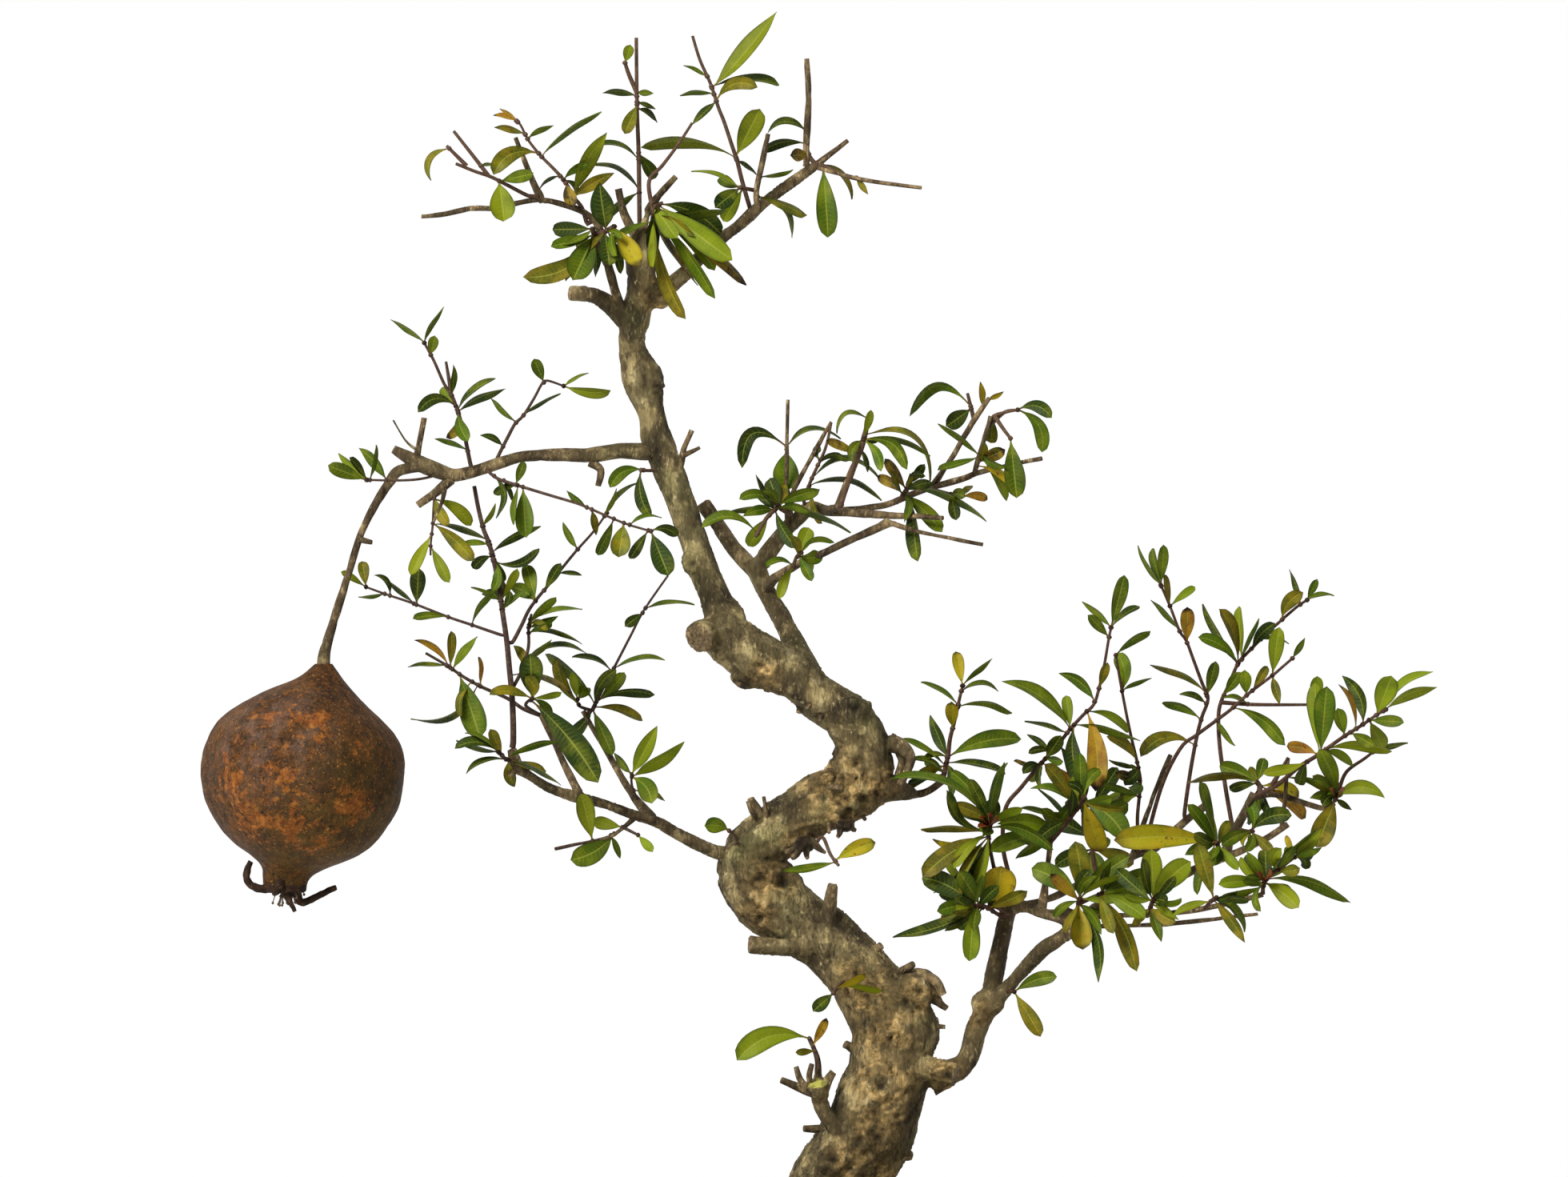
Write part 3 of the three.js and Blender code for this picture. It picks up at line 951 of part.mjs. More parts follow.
const tree = new THREE.Group();
const wood = largestBody(woodSolid(0));
const woodClear = woodSolid(GAP);
tree.add(meshOf("pot", potSolid(), stoneware));
tree.add(meshOf("soil", soilSolid(woodClear), earth));
tree.add(meshOf("drain_screen_left", screenSolid(-DRAIN_SPACING / 2), plasticMesh));
tree.add(meshOf("drain_screen_right", screenSolid(DRAIN_SPACING / 2), plasticMesh));
tree.add(meshOf("trunk_and_branches", wood, bark));
const fruit = fruitSolid(woodClear);
tree.add(meshOf("pomegranate", fruit, rind));

// Where two leafy stems would touch, the later one is cut clear of the earlier.
const groups = [CROWN, FRUIT_BRANCH, LEFT_BRANCH, TRUNK_SPRIGS, MIDDLE_BRANCH, RIGHT_BRANCH];
const placed = [];
const carriers = [TRUNK, ...LIMBS];
for (const row of groups.flat()) {
  const shoot = seated(row, carriers);
  carriers.push(shoot[3][0]);
  let solid = shootSolid(shoot, 0).subtract(woodClear);
  for (const earlier of placed) {
    if (boxesMeet(solid, earlier)) {
      solid = solid.subtract(earlier);
    }
  }
  solid = largestBody(solid);
  placed.push(shootSolid(shoot, GAP));
  tree.add(meshOf(shoot[0], solid, foliage));
}

export default tree;
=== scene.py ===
import math
import random

import bmesh
import bpy
import numpy as np
from mathutils import Matrix, Vector, noise


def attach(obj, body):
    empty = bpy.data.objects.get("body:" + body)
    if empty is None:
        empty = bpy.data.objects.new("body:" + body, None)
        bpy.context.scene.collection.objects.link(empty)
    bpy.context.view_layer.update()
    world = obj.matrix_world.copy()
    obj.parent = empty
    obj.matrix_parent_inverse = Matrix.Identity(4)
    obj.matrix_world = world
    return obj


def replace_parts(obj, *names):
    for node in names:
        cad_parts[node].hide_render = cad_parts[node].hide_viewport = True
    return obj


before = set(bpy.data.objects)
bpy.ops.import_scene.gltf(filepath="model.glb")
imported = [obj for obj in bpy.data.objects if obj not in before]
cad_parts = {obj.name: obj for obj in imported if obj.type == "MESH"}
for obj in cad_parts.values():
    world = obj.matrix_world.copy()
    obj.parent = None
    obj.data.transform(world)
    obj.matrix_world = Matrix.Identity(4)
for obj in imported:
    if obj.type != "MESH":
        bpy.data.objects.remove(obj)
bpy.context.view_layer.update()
bpy.ops.object.select_all(action="DESELECT")


# ------------------------ pot
# A plain training pot of unglazed brown stoneware: a rounded rectangle with a flat lip, four
# feet and two drainage holes. The wall is skinned over rounded outlines, and the holes are cut.

MM = 0.001
POT_SECTIONS = [  # length, depth, corner radius, height: up the outside, then down the inside
  [292, 192, 26, 8], [296, 196, 27, 10.5], [299, 199, 27, 30], [302, 202, 27, 52], [304, 204, 27, 66],
  [306, 206, 27.5, 68], [317, 217, 28.5, 69], [319.6, 219.6, 29, 71], [320, 220, 29, 74],
  [319.6, 219.6, 29, 77.5], [318, 218, 28.5, 79.4], [314, 214, 27, 80], [292, 192, 21, 80],
  [288, 188, 20, 79.2], [286.5, 186.5, 19, 77], [284, 184, 18, 72], [278, 178, 18, 40],
  [272, 172, 18, 20], [268, 168, 16, 16.4], [262, 162, 14, 16],
]
CORNER_STEPS = 8
POT_FEET = [(x, y) for x in (-108, 108) for y in (-76, 76)]
FOOT_SIZE = (44, 24, 10)
FOOT_ROUNDING = 1.2
DRAIN_HOLES = {"left": -70, "right": 70}
DRAIN_RADIUS = 12


def linear(colour):
    """A #rrggbb colour as linear RGBA."""
    channels = [int(colour[k:k + 2], 16) / 255 for k in (1, 3, 5)]
    return [c / 12.92 if c <= 0.04045 else ((c + 0.055) / 1.055) ** 2.4 for c in channels] + [1]


def add_node(kind, *values, output=None, stops=(), **settings):
    """Adds a node to the tree in hand. Its open inputs, in order or named in a dictionary, are set
    to values or joined to outputs. Hands back its first open output, or the one that is named."""
    made = tree.nodes.new("ShaderNode" + kind)
    for name, value in settings.items():
        setattr(made, name, value)
    for _ in stops[2:]:
        made.color_ramp.elements.new(0.5)
    for k, (position, colour) in enumerate(stops):
        made.color_ramp.elements[k].position = position
        made.color_ramp.elements[k].color = linear(colour)
    if values and isinstance(values[0], dict):
        pairs = [(made.inputs[name], value) for name, value in values[0].items()]
    else:
        pairs = zip([socket for socket in made.inputs if socket.enabled], values)
    for socket, value in pairs:
        if isinstance(value, bpy.types.NodeSocket):
            tree.links.new(value, socket)
        else:
            socket.default_value = linear(value) if isinstance(value, str) else value
    return next((o for o in made.outputs if o.enabled and output in (None, o.name)), None)


def new_material(name):
    """Starts a node material, with its tree in hand and the place on the piece as a first node."""
    global tree
    material = bpy.data.materials.new(name)
    material.use_nodes = True
    tree = material.node_tree
    tree.nodes.clear()
    return material, add_node("TexCoord", output="Object")


def surface(colour, rough, relief, depth, shine=0.5):
    """Gives the material in hand a colour, a roughness and a relief so many millimetres deep."""
    bump = add_node("Bump", {"Height": relief, "Distance": depth * MM})
    lit = add_node("BsdfPrincipled", {"Base Color": colour, "Roughness": rough, "Normal": bump,
                                      "Specular IOR Level": shine})
    add_node("OutputMaterial", lit)
    return lit


def mesh_object(name, vertices, faces, *materials):
    """An object at the origin with its place in its mesh, given in metres."""
    mesh = bpy.data.meshes.new(name)
    mesh.from_pydata(vertices, [], faces)
    mesh.validate()
    for material in materials:
        mesh.materials.append(material)
    made = bpy.data.objects.new(name, mesh)
    bpy.context.scene.collection.objects.link(made)
    return made


def rounded_outline(length, depth, radius, height):
    """Points round a rounded rectangle, in metres."""
    points = []
    for corner, (sx, sy) in enumerate([(1, 1), (-1, 1), (-1, -1), (1, -1)]):
        for k in range(CORNER_STEPS + 1):
            angle = (corner + k / CORNER_STEPS) * math.pi / 2
            x = sx * (length / 2 - radius) + radius * math.cos(angle)
            y = sy * (depth / 2 - radius) + radius * math.sin(angle)
            points.append(Vector((x, y, height)) * MM)
    return points


def skin_rings(faces, start, rings, sides, inside_out=False):
    """Skins closed rings of points, the first at the given start, and caps both ends."""
    for k in range(rings - 1):
        low, high = start + k * sides, start + (k + 1) * sides
        for i in range(sides):
            j = (i + 1) % sides
            faces.append([low + i, high + i, high + j, low + j] if inside_out
                         else [low + i, low + j, high + j, high + i])
    first = [start + i for i in range(sides)]
    last = [index + (rings - 1) * sides for index in first]
    faces += [first, last[::-1]] if inside_out else [first[::-1], last]


def pick(*pieces):
    """Selects these pieces alone and makes the first of them the active one."""
    bpy.ops.object.select_all(action="DESELECT")
    for piece in pieces:
        piece.select_set(True)
    bpy.context.view_layer.objects.active = pieces[0]


def settle(piece):
    """Leaves the piece's place in its mesh, smooth-shaded, with normals out."""
    pick(piece)
    bpy.ops.object.transform_apply()
    bpy.ops.object.mode_set(mode="EDIT")
    bpy.ops.mesh.select_all(action="SELECT")
    bpy.ops.mesh.normals_make_consistent(inside=False)
    bpy.ops.object.mode_set(mode="OBJECT")
    bpy.ops.object.shade_smooth_by_angle(angle=math.radians(40))
    bpy.ops.object.select_all(action="DESELECT")


# Unglazed stoneware fires to a matt, cloudy brown, with dark iron specks and a pale lime bloom.
stoneware, place = new_material("unglazed brown stoneware")
# Patterns of one kind are read from places set well apart, so that no two of them match.
apart = {shift: add_node("VectorMath", place, (shift,) * 3, operation="ADD") for shift in (3.1, 7.7)}
cloud = add_node("TexNoise", place, 1 / (38 * MM), 6, 0.6)
clay = add_node("ValToRGB", cloud, stops=[(0.3, "#3c2a20"), (0.55, "#54402f"), (0.75, "#6b523d")])
speck = add_node("TexNoise", apart[3.1], 1 / (1.6 * MM), 2, 0.5)
speck = add_node("Math", add_node("MapRange", speck, 0.62, 0.7), 0.7, operation="MULTIPLY")
clay = add_node("Mix", speck, clay, "#2f221b", data_type="RGBA")
bloom = add_node("TexNoise", apart[7.7], 1 / (17 * MM), 5, 0.6)
bloom = add_node("MapRange", bloom, 0.58, 0.78, 0, 0.35)
clay = add_node("Mix", bloom, clay, "#9c8a78", data_type="RGBA")
grit = add_node("Math", add_node("TexNoise", place, 1 / (0.9 * MM), 3, 0.55), 0.4,
                operation="MULTIPLY")
throwing = add_node("TexNoise", place, 1 / (7 * MM), 4, 0.55)
throwing = add_node("Math", grit, throwing, operation="ADD")
surface(clay, add_node("MapRange", throwing, 0.4, 1.1, 0.72, 0.92), throwing, 0.35)

rings = [rounded_outline(*section) for section in POT_SECTIONS]
points = [point for ring in rings for point in ring]
faces = []
skin_rings(faces, 0, len(rings), len(rings[0]))
pot = mesh_object("pot_stoneware", points, faces, stoneware)
for x in DRAIN_HOLES.values():
    bpy.ops.mesh.primitive_cylinder_add(vertices=48, radius=DRAIN_RADIUS * MM,
                                        depth=2.5 * DRAIN_RADIUS * MM,
                                        location=(x * MM, 0, DRAIN_RADIUS * MM))
    drill = bpy.context.active_object
    hole = pot.modifiers.new("drain", "BOOLEAN")
    hole.operation = "DIFFERENCE"
    hole.object = drill
    pick(pot)
    bpy.ops.object.modifier_apply(modifier="drain")
    bpy.data.objects.remove(drill)
for x, y in POT_FEET:
    bpy.ops.mesh.primitive_cube_add(size=1, location=(x * MM, y * MM, FOOT_SIZE[2] / 2 * MM),
                                    scale=[side * MM for side in FOOT_SIZE])
    foot = bpy.context.active_object
    foot.data.materials.append(stoneware)
    bpy.ops.object.transform_apply()
    soft = foot.modifiers.new("soft edges", "BEVEL")
    soft.width = FOOT_ROUNDING * MM
    soft.segments = 3
    bpy.ops.object.modifier_apply(modifier="soft edges")
    pick(pot, foot)
    bpy.ops.object.join()
settle(pot)
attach(pot, "root")
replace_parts(pot, "pot")


# ------------------------ drainage screens
# Two squares of woven plastic mesh over the drainage holes, under the soil. Each is a fine grid
# whose edges are turned into strands.

SCREEN_SIDE = 33
SCREEN_CELLS = 14
SCREEN_HEIGHT = 16.9
STRAND_THICKNESS = 0.9

# Extruded plastic is dark with a dull shine, and soil dust takes the shine off it in patches.
strand, place = new_material("dark green plastic strand")
dust = add_node("MapRange", add_node("TexNoise", place, 1 / (3 * MM), 4, 0.55), 0.4, 0.7)
plastic = add_node("Mix", dust, "#232926", "#4b4a3e", data_type="RGBA")
surface(plastic, add_node("MapRange", dust, 0, 1, 0.5, 0.8),
        add_node("TexNoise", place, 1 / (0.8 * MM), 4, 0.55), 0.05)
for side, x in DRAIN_HOLES.items():
    bpy.ops.mesh.primitive_grid_add(x_subdivisions=SCREEN_CELLS, y_subdivisions=SCREEN_CELLS,
                                    size=SCREEN_SIDE * MM,
                                    location=(x * MM, 0, SCREEN_HEIGHT * MM))
    screen = bpy.context.active_object
    screen.name = f"drain_screen_{side}_strands"
    bpy.ops.object.transform_apply()
    weave = screen.modifiers.new("weave", "WIREFRAME")
    weave.thickness = STRAND_THICKNESS * MM
    bpy.ops.object.modifier_apply(modifier="weave")
    screen.data.materials.append(strand)
    settle(screen)
    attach(screen, "root")
    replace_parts(screen, f"drain_screen_{side}")


# ------------------------ soil
# Dark potting soil, mounded towards the trunk, with grit and broken bark on it and cushions of
# moss near the roots. One rough sheet with its edge turned down, one mesh of grit, one of moss.

SOIL_HALF = (141.5, 91.5)  # half length and half depth at the wall
SOIL_CORNER = 17
SOIL_LEVEL = 74.5  # at the wall
MOUND_RISE = 8.3
SOIL_CELLS = (190, 124)
SOIL_EDGE = 12  # how far the sheet's edge is turned down
GRIT_TRIES = 900
GRIT_SIZES = (0.6, 2.4)
GRIT_SHADES = ["#8d7c64", "#5c4632", "#a89a84", "#46362a", "#6f6455"]
ROOT_CLEARANCE = 24  # no grit nearer to the trunk's middle
MOSS_TRIES = 16000
FRONDS_EACH = 3
FRONDS_HIGH = (1.0, 2.3)
FROND_HALF_WIDTH = 0.28


def soil_height(x, y):
    """The soil's height at a place, in millimetres."""
    reach = max(abs(x) / SOIL_HALF[0], abs(y) / SOIL_HALF[1])
    mound = SOIL_LEVEL + MOUND_RISE * max(0.0, 1 - reach) ** 0.85
    return mound + 1.1 * noise.noise((x / 19, y / 19, 1.3)) + 0.5 * noise.noise((x / 6, y / 6, 8.1))


def moss_share(x, y):
    """How mossy the soil is at a place."""
    share = 0.5 + noise.noise((x / 34 + 5, y / 34, 2.2)) + 0.4 * noise.noise((x / 9, y / 9, 4.4))
    return share + 0.35 - math.hypot(x, 1.3 * y) / 160


def into_pot(x, y):
    """The place moved inside the pot's rounded corner if it lies beyond it."""
    cx, cy = SOIL_HALF[0] - SOIL_CORNER, SOIL_HALF[1] - SOIL_CORNER
    if abs(x) > cx and abs(y) > cy:
        away = math.hypot(abs(x) - cx, abs(y) - cy)
        wide = max(abs(x) - cx, abs(y) - cy)
        x = math.copysign(cx + (abs(x) - cx) * wide / away, x)
        y = math.copysign(cy + (abs(y) - cy) * wide / away, y)
    return x, y


# Peaty soil is nearly black between its crumbs, and green where moss has begun to spread.
earth, place = new_material("gritty potting soil")
crumb = add_node("TexVoronoi", place, 1 / (2.6 * MM))
peat = add_node("TexNoise", place, 1 / (5 * MM), 8, 0.7)
peat = add_node("ValToRGB", peat, stops=[(0.3, "#1f1710"), (0.5, "#3b2d20"), (0.68, "#5a4733"),
                                         (0.8, "#7b674c")])
gap = add_node("MapRange", crumb, 0.35, 0.7, 0, 0.6)
peat = add_node("Mix", gap, peat, "#17110c", data_type="RGBA")
film = add_node("TexNoise", place, 1 / (2.2 * MM), 5, 0.55)
film = add_node("ValToRGB", film, stops=[(0.3, "#26330f"), (0.7, "#566a22")])
mossy = add_node("Attribute", attribute_name="moss", output="Fac")
peat = add_node("Mix", mossy, peat, film, data_type="RGBA")
crumble = add_node("TexNoise", place, 1 / (2 * MM), 8, 0.7)
surface(peat, 0.93, add_node("Math", crumble, crumb, operation="ADD"), 1.1)

# Grit and broken bark are dry and dull, each crumb with a shade of its own and soil in its pores.
stone, place = new_material("pale grit and bark crumbs")
pore = add_node("TexNoise", place, 1 / (1.1 * MM), 5, 0.55)
pore = add_node("MapRange", pore, 0.35, 0.7, 0, 0.45)
crumb = add_node("Attribute", attribute_name="tone")
crumb = add_node("Mix", pore, crumb, "#241b13", data_type="RGBA")
surface(crumb, 0.85, add_node("TexNoise", place, 1 / (0.7 * MM), 4, 0.55), 0.2)

# Moss is a soft, dull green that yellows in the drier spots.
moss, place = new_material("cushion moss")
frond = add_node("TexNoise", place, 1 / (4 * MM), 5, 0.55)
frond = add_node("ValToRGB", frond, stops=[(0.3, "#2c3d12"), (0.55, "#4d6420"), (0.75, "#7d8a35")])
surface(frond, 0.8, add_node("TexNoise", place, 1 / (0.5 * MM), 4, 0.55), 0.1)

bpy.ops.mesh.primitive_grid_add(x_subdivisions=SOIL_CELLS[0], y_subdivisions=SOIL_CELLS[1],
                                size=1)
soil = bpy.context.active_object
soil.name = "soil_surface"
soil.data.materials.append(earth)
shares = []
for vertex in soil.data.vertices:
    x, y = into_pot(vertex.co.x * 2 * SOIL_HALF[0], vertex.co.y * 2 * SOIL_HALF[1])
    share = min(max(moss_share(x, y), 0), 1)
    shares.append(share)
    vertex.co = Vector((x, y, soil_height(x, y) + 0.8 * share)) * MM
soil.data.attributes.new("moss", "FLOAT", "POINT").data.foreach_set("value", shares)
bpy.ops.object.mode_set(mode="EDIT")
bpy.ops.mesh.select_all(action="SELECT")
bpy.ops.mesh.region_to_loop()
bpy.ops.mesh.extrude_region_move(TRANSFORM_OT_translate={"value": (0, 0, -SOIL_EDGE * MM)})
bpy.ops.object.mode_set(mode="OBJECT")
settle(soil)
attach(soil, "root")
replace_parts(soil, "soil")

draw = random.Random(11)
pebble = bmesh.new()
bmesh.ops.create_icosphere(pebble, subdivisions=1, radius=1)
pebble.verts.ensure_lookup_table()
pebble_points = [vertex.co.copy() for vertex in pebble.verts]
pebble_faces = [[vertex.index for vertex in face.verts] for face in pebble.faces]
pebble.free()
points, faces, tones = [], [], []
for k in range(GRIT_TRIES):
    x = draw.uniform(-1, 1) * (SOIL_HALF[0] - 4)
    y = draw.uniform(-1, 1) * (SOIL_HALF[1] - 4)
    x, y = into_pot(x, y)
    if math.hypot(x, y) < ROOT_CLEARANCE or moss_share(x, y) > 0.75:
        continue
    size = draw.uniform(*GRIT_SIZES)
    turn = Matrix.Rotation(draw.uniform(0, 6.3), 3, Vector((draw.random(), draw.random(), 1)))
    shape = Vector((size, size * draw.uniform(0.5, 0.9), size * draw.uniform(0.35, 0.7)))
    middle = Vector((x, y, soil_height(x, y) + 0.35 * size))
    start = len(points)
    for point in pebble_points:
        rough = 1 + 0.35 * noise.noise(point * 1.7 + Vector((k, 0, 0)))
        points.append((middle + turn @ (point * shape * rough)) * MM)
    faces += [[start + index for index in face] for face in pebble_faces]
    tones += [linear(draw.choice(GRIT_SHADES))] * len(pebble_points)
grit = mesh_object("soil_grit", points, faces, stone)
shades = grit.data.color_attributes.new("tone", "FLOAT_COLOR", "POINT")
shades.data.foreach_set("color", [channel for shade in tones for channel in shade])
settle(grit)
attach(grit, "root")

points, faces = [], []
for k in range(MOSS_TRIES):
    x, y = draw.uniform(-1, 1) * 136, draw.uniform(-1, 1) * 86
    if moss_share(x, y) < draw.uniform(0.35, 1.0):
        continue
    foot = Vector((x, y, soil_height(x, y) + 0.4))
    for frond in range(FRONDS_EACH):
        angle = draw.uniform(0, 6.3)
        lean = Vector((math.cos(angle), math.sin(angle), 0))
        across = Vector((-lean.y, lean.x, 0)) * FROND_HALF_WIDTH
        top = foot + lean * draw.uniform(0.2, 0.9) + Vector((0, 0, draw.uniform(*FRONDS_HIGH)))
        start = len(points)
        points += [(foot - across) * MM, (foot + across) * MM, top * MM]
        faces.append([start, start + 1, start + 2])
tufts = mesh_object("soil_moss", points, faces, moss)
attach(tufts, "root")


# ------------------------ trunk and branches
# The old twisting trunk flaring into surface roots, with its knots, pruned stubs, branches and
# the fruit's stalk. Thick wood is joined and remeshed into one skin, thin twigs are fine tubes
# set into it, and the whole surface is then roughened along the grain.

TRUNK = [  # x, z, y, radius, in millimetres
  [-6, 46, 0, 12], [-6, 60, 0, 20], [-6, 74, 0, 28], [-5, 83, 0, 28], [-2, 92, 0, 23], [2, 102, 0, 20],
  [6, 113, 0, 18.5], [9, 124, 0, 17.5], [19, 140, -3, 17], [22, 150, -4, 16.5], [26, 160, -5, 15.5],
  [28, 170, -5, 15.5], [29, 180, -4, 15.5], [22, 192, -2, 14], [15, 201, 0, 12.5], [5, 211, 2, 12.5],
  [-8, 220, 4, 12.5], [-20, 231, 6, 14], [-25, 241, 7, 12.5], [-21.5, 248, 7, 11], [-10, 257, 6, 10.5],
  [0, 263, 5, 11], [10, 268, 3, 11.5], [15, 272, 2, 13], [17, 285, -1, 10.5], [12.5, 295.5, -4, 10],
  [8.5, 299, -5, 9], [-1, 305.5, -6, 8.5], [-7.5, 311.5, -7, 9], [-21.5, 318, -8, 9.5],
  [-33, 327, -7, 9.5], [-35, 335, -6, 7.5], [-37.5, 340, -5, 6], [-41.5, 350, -3, 5.5],
  [-45, 360, -1, 5.7], [-48.5, 370, 0, 5.6], [-52, 380, 1, 5.9], [-56, 390, 2, 6.3], [-60, 400, 3, 6],
  [-62, 410, 3, 5], [-65, 420, 3, 6.7], [-66, 425, 2, 7], [-69.5, 435, 1, 5], [-69, 445, 0, 6],
  [-66.5, 455, -1, 5.2], [-66, 465, -2, 5.8], [-65.5, 475, -2, 5.5], [-65, 481, -2, 4.6],
]
ROOTS = [
  [[-6, 88, 0, 15], [-34, 84, -10, 8], [-54, 79, -16, 5], [-70, 70, -20, 3]],
  [[0, 88, 0, 15], [28, 83, -16, 8], [46, 77, -26, 5], [58, 68, -32, 3]],
  [[-2, 90, -4, 14], [-8, 84, -30, 8], [-14, 77, -46, 5], [-18, 68, -56, 3]],
  [[-4, 88, 4, 14], [-20, 83, 28, 8], [-30, 76, 44, 5], [-36, 67, 54, 3]],
  [[0, 88, 4, 14], [22, 83, 24, 8], [38, 76, 36, 5], [48, 67, 44, 3]],
]
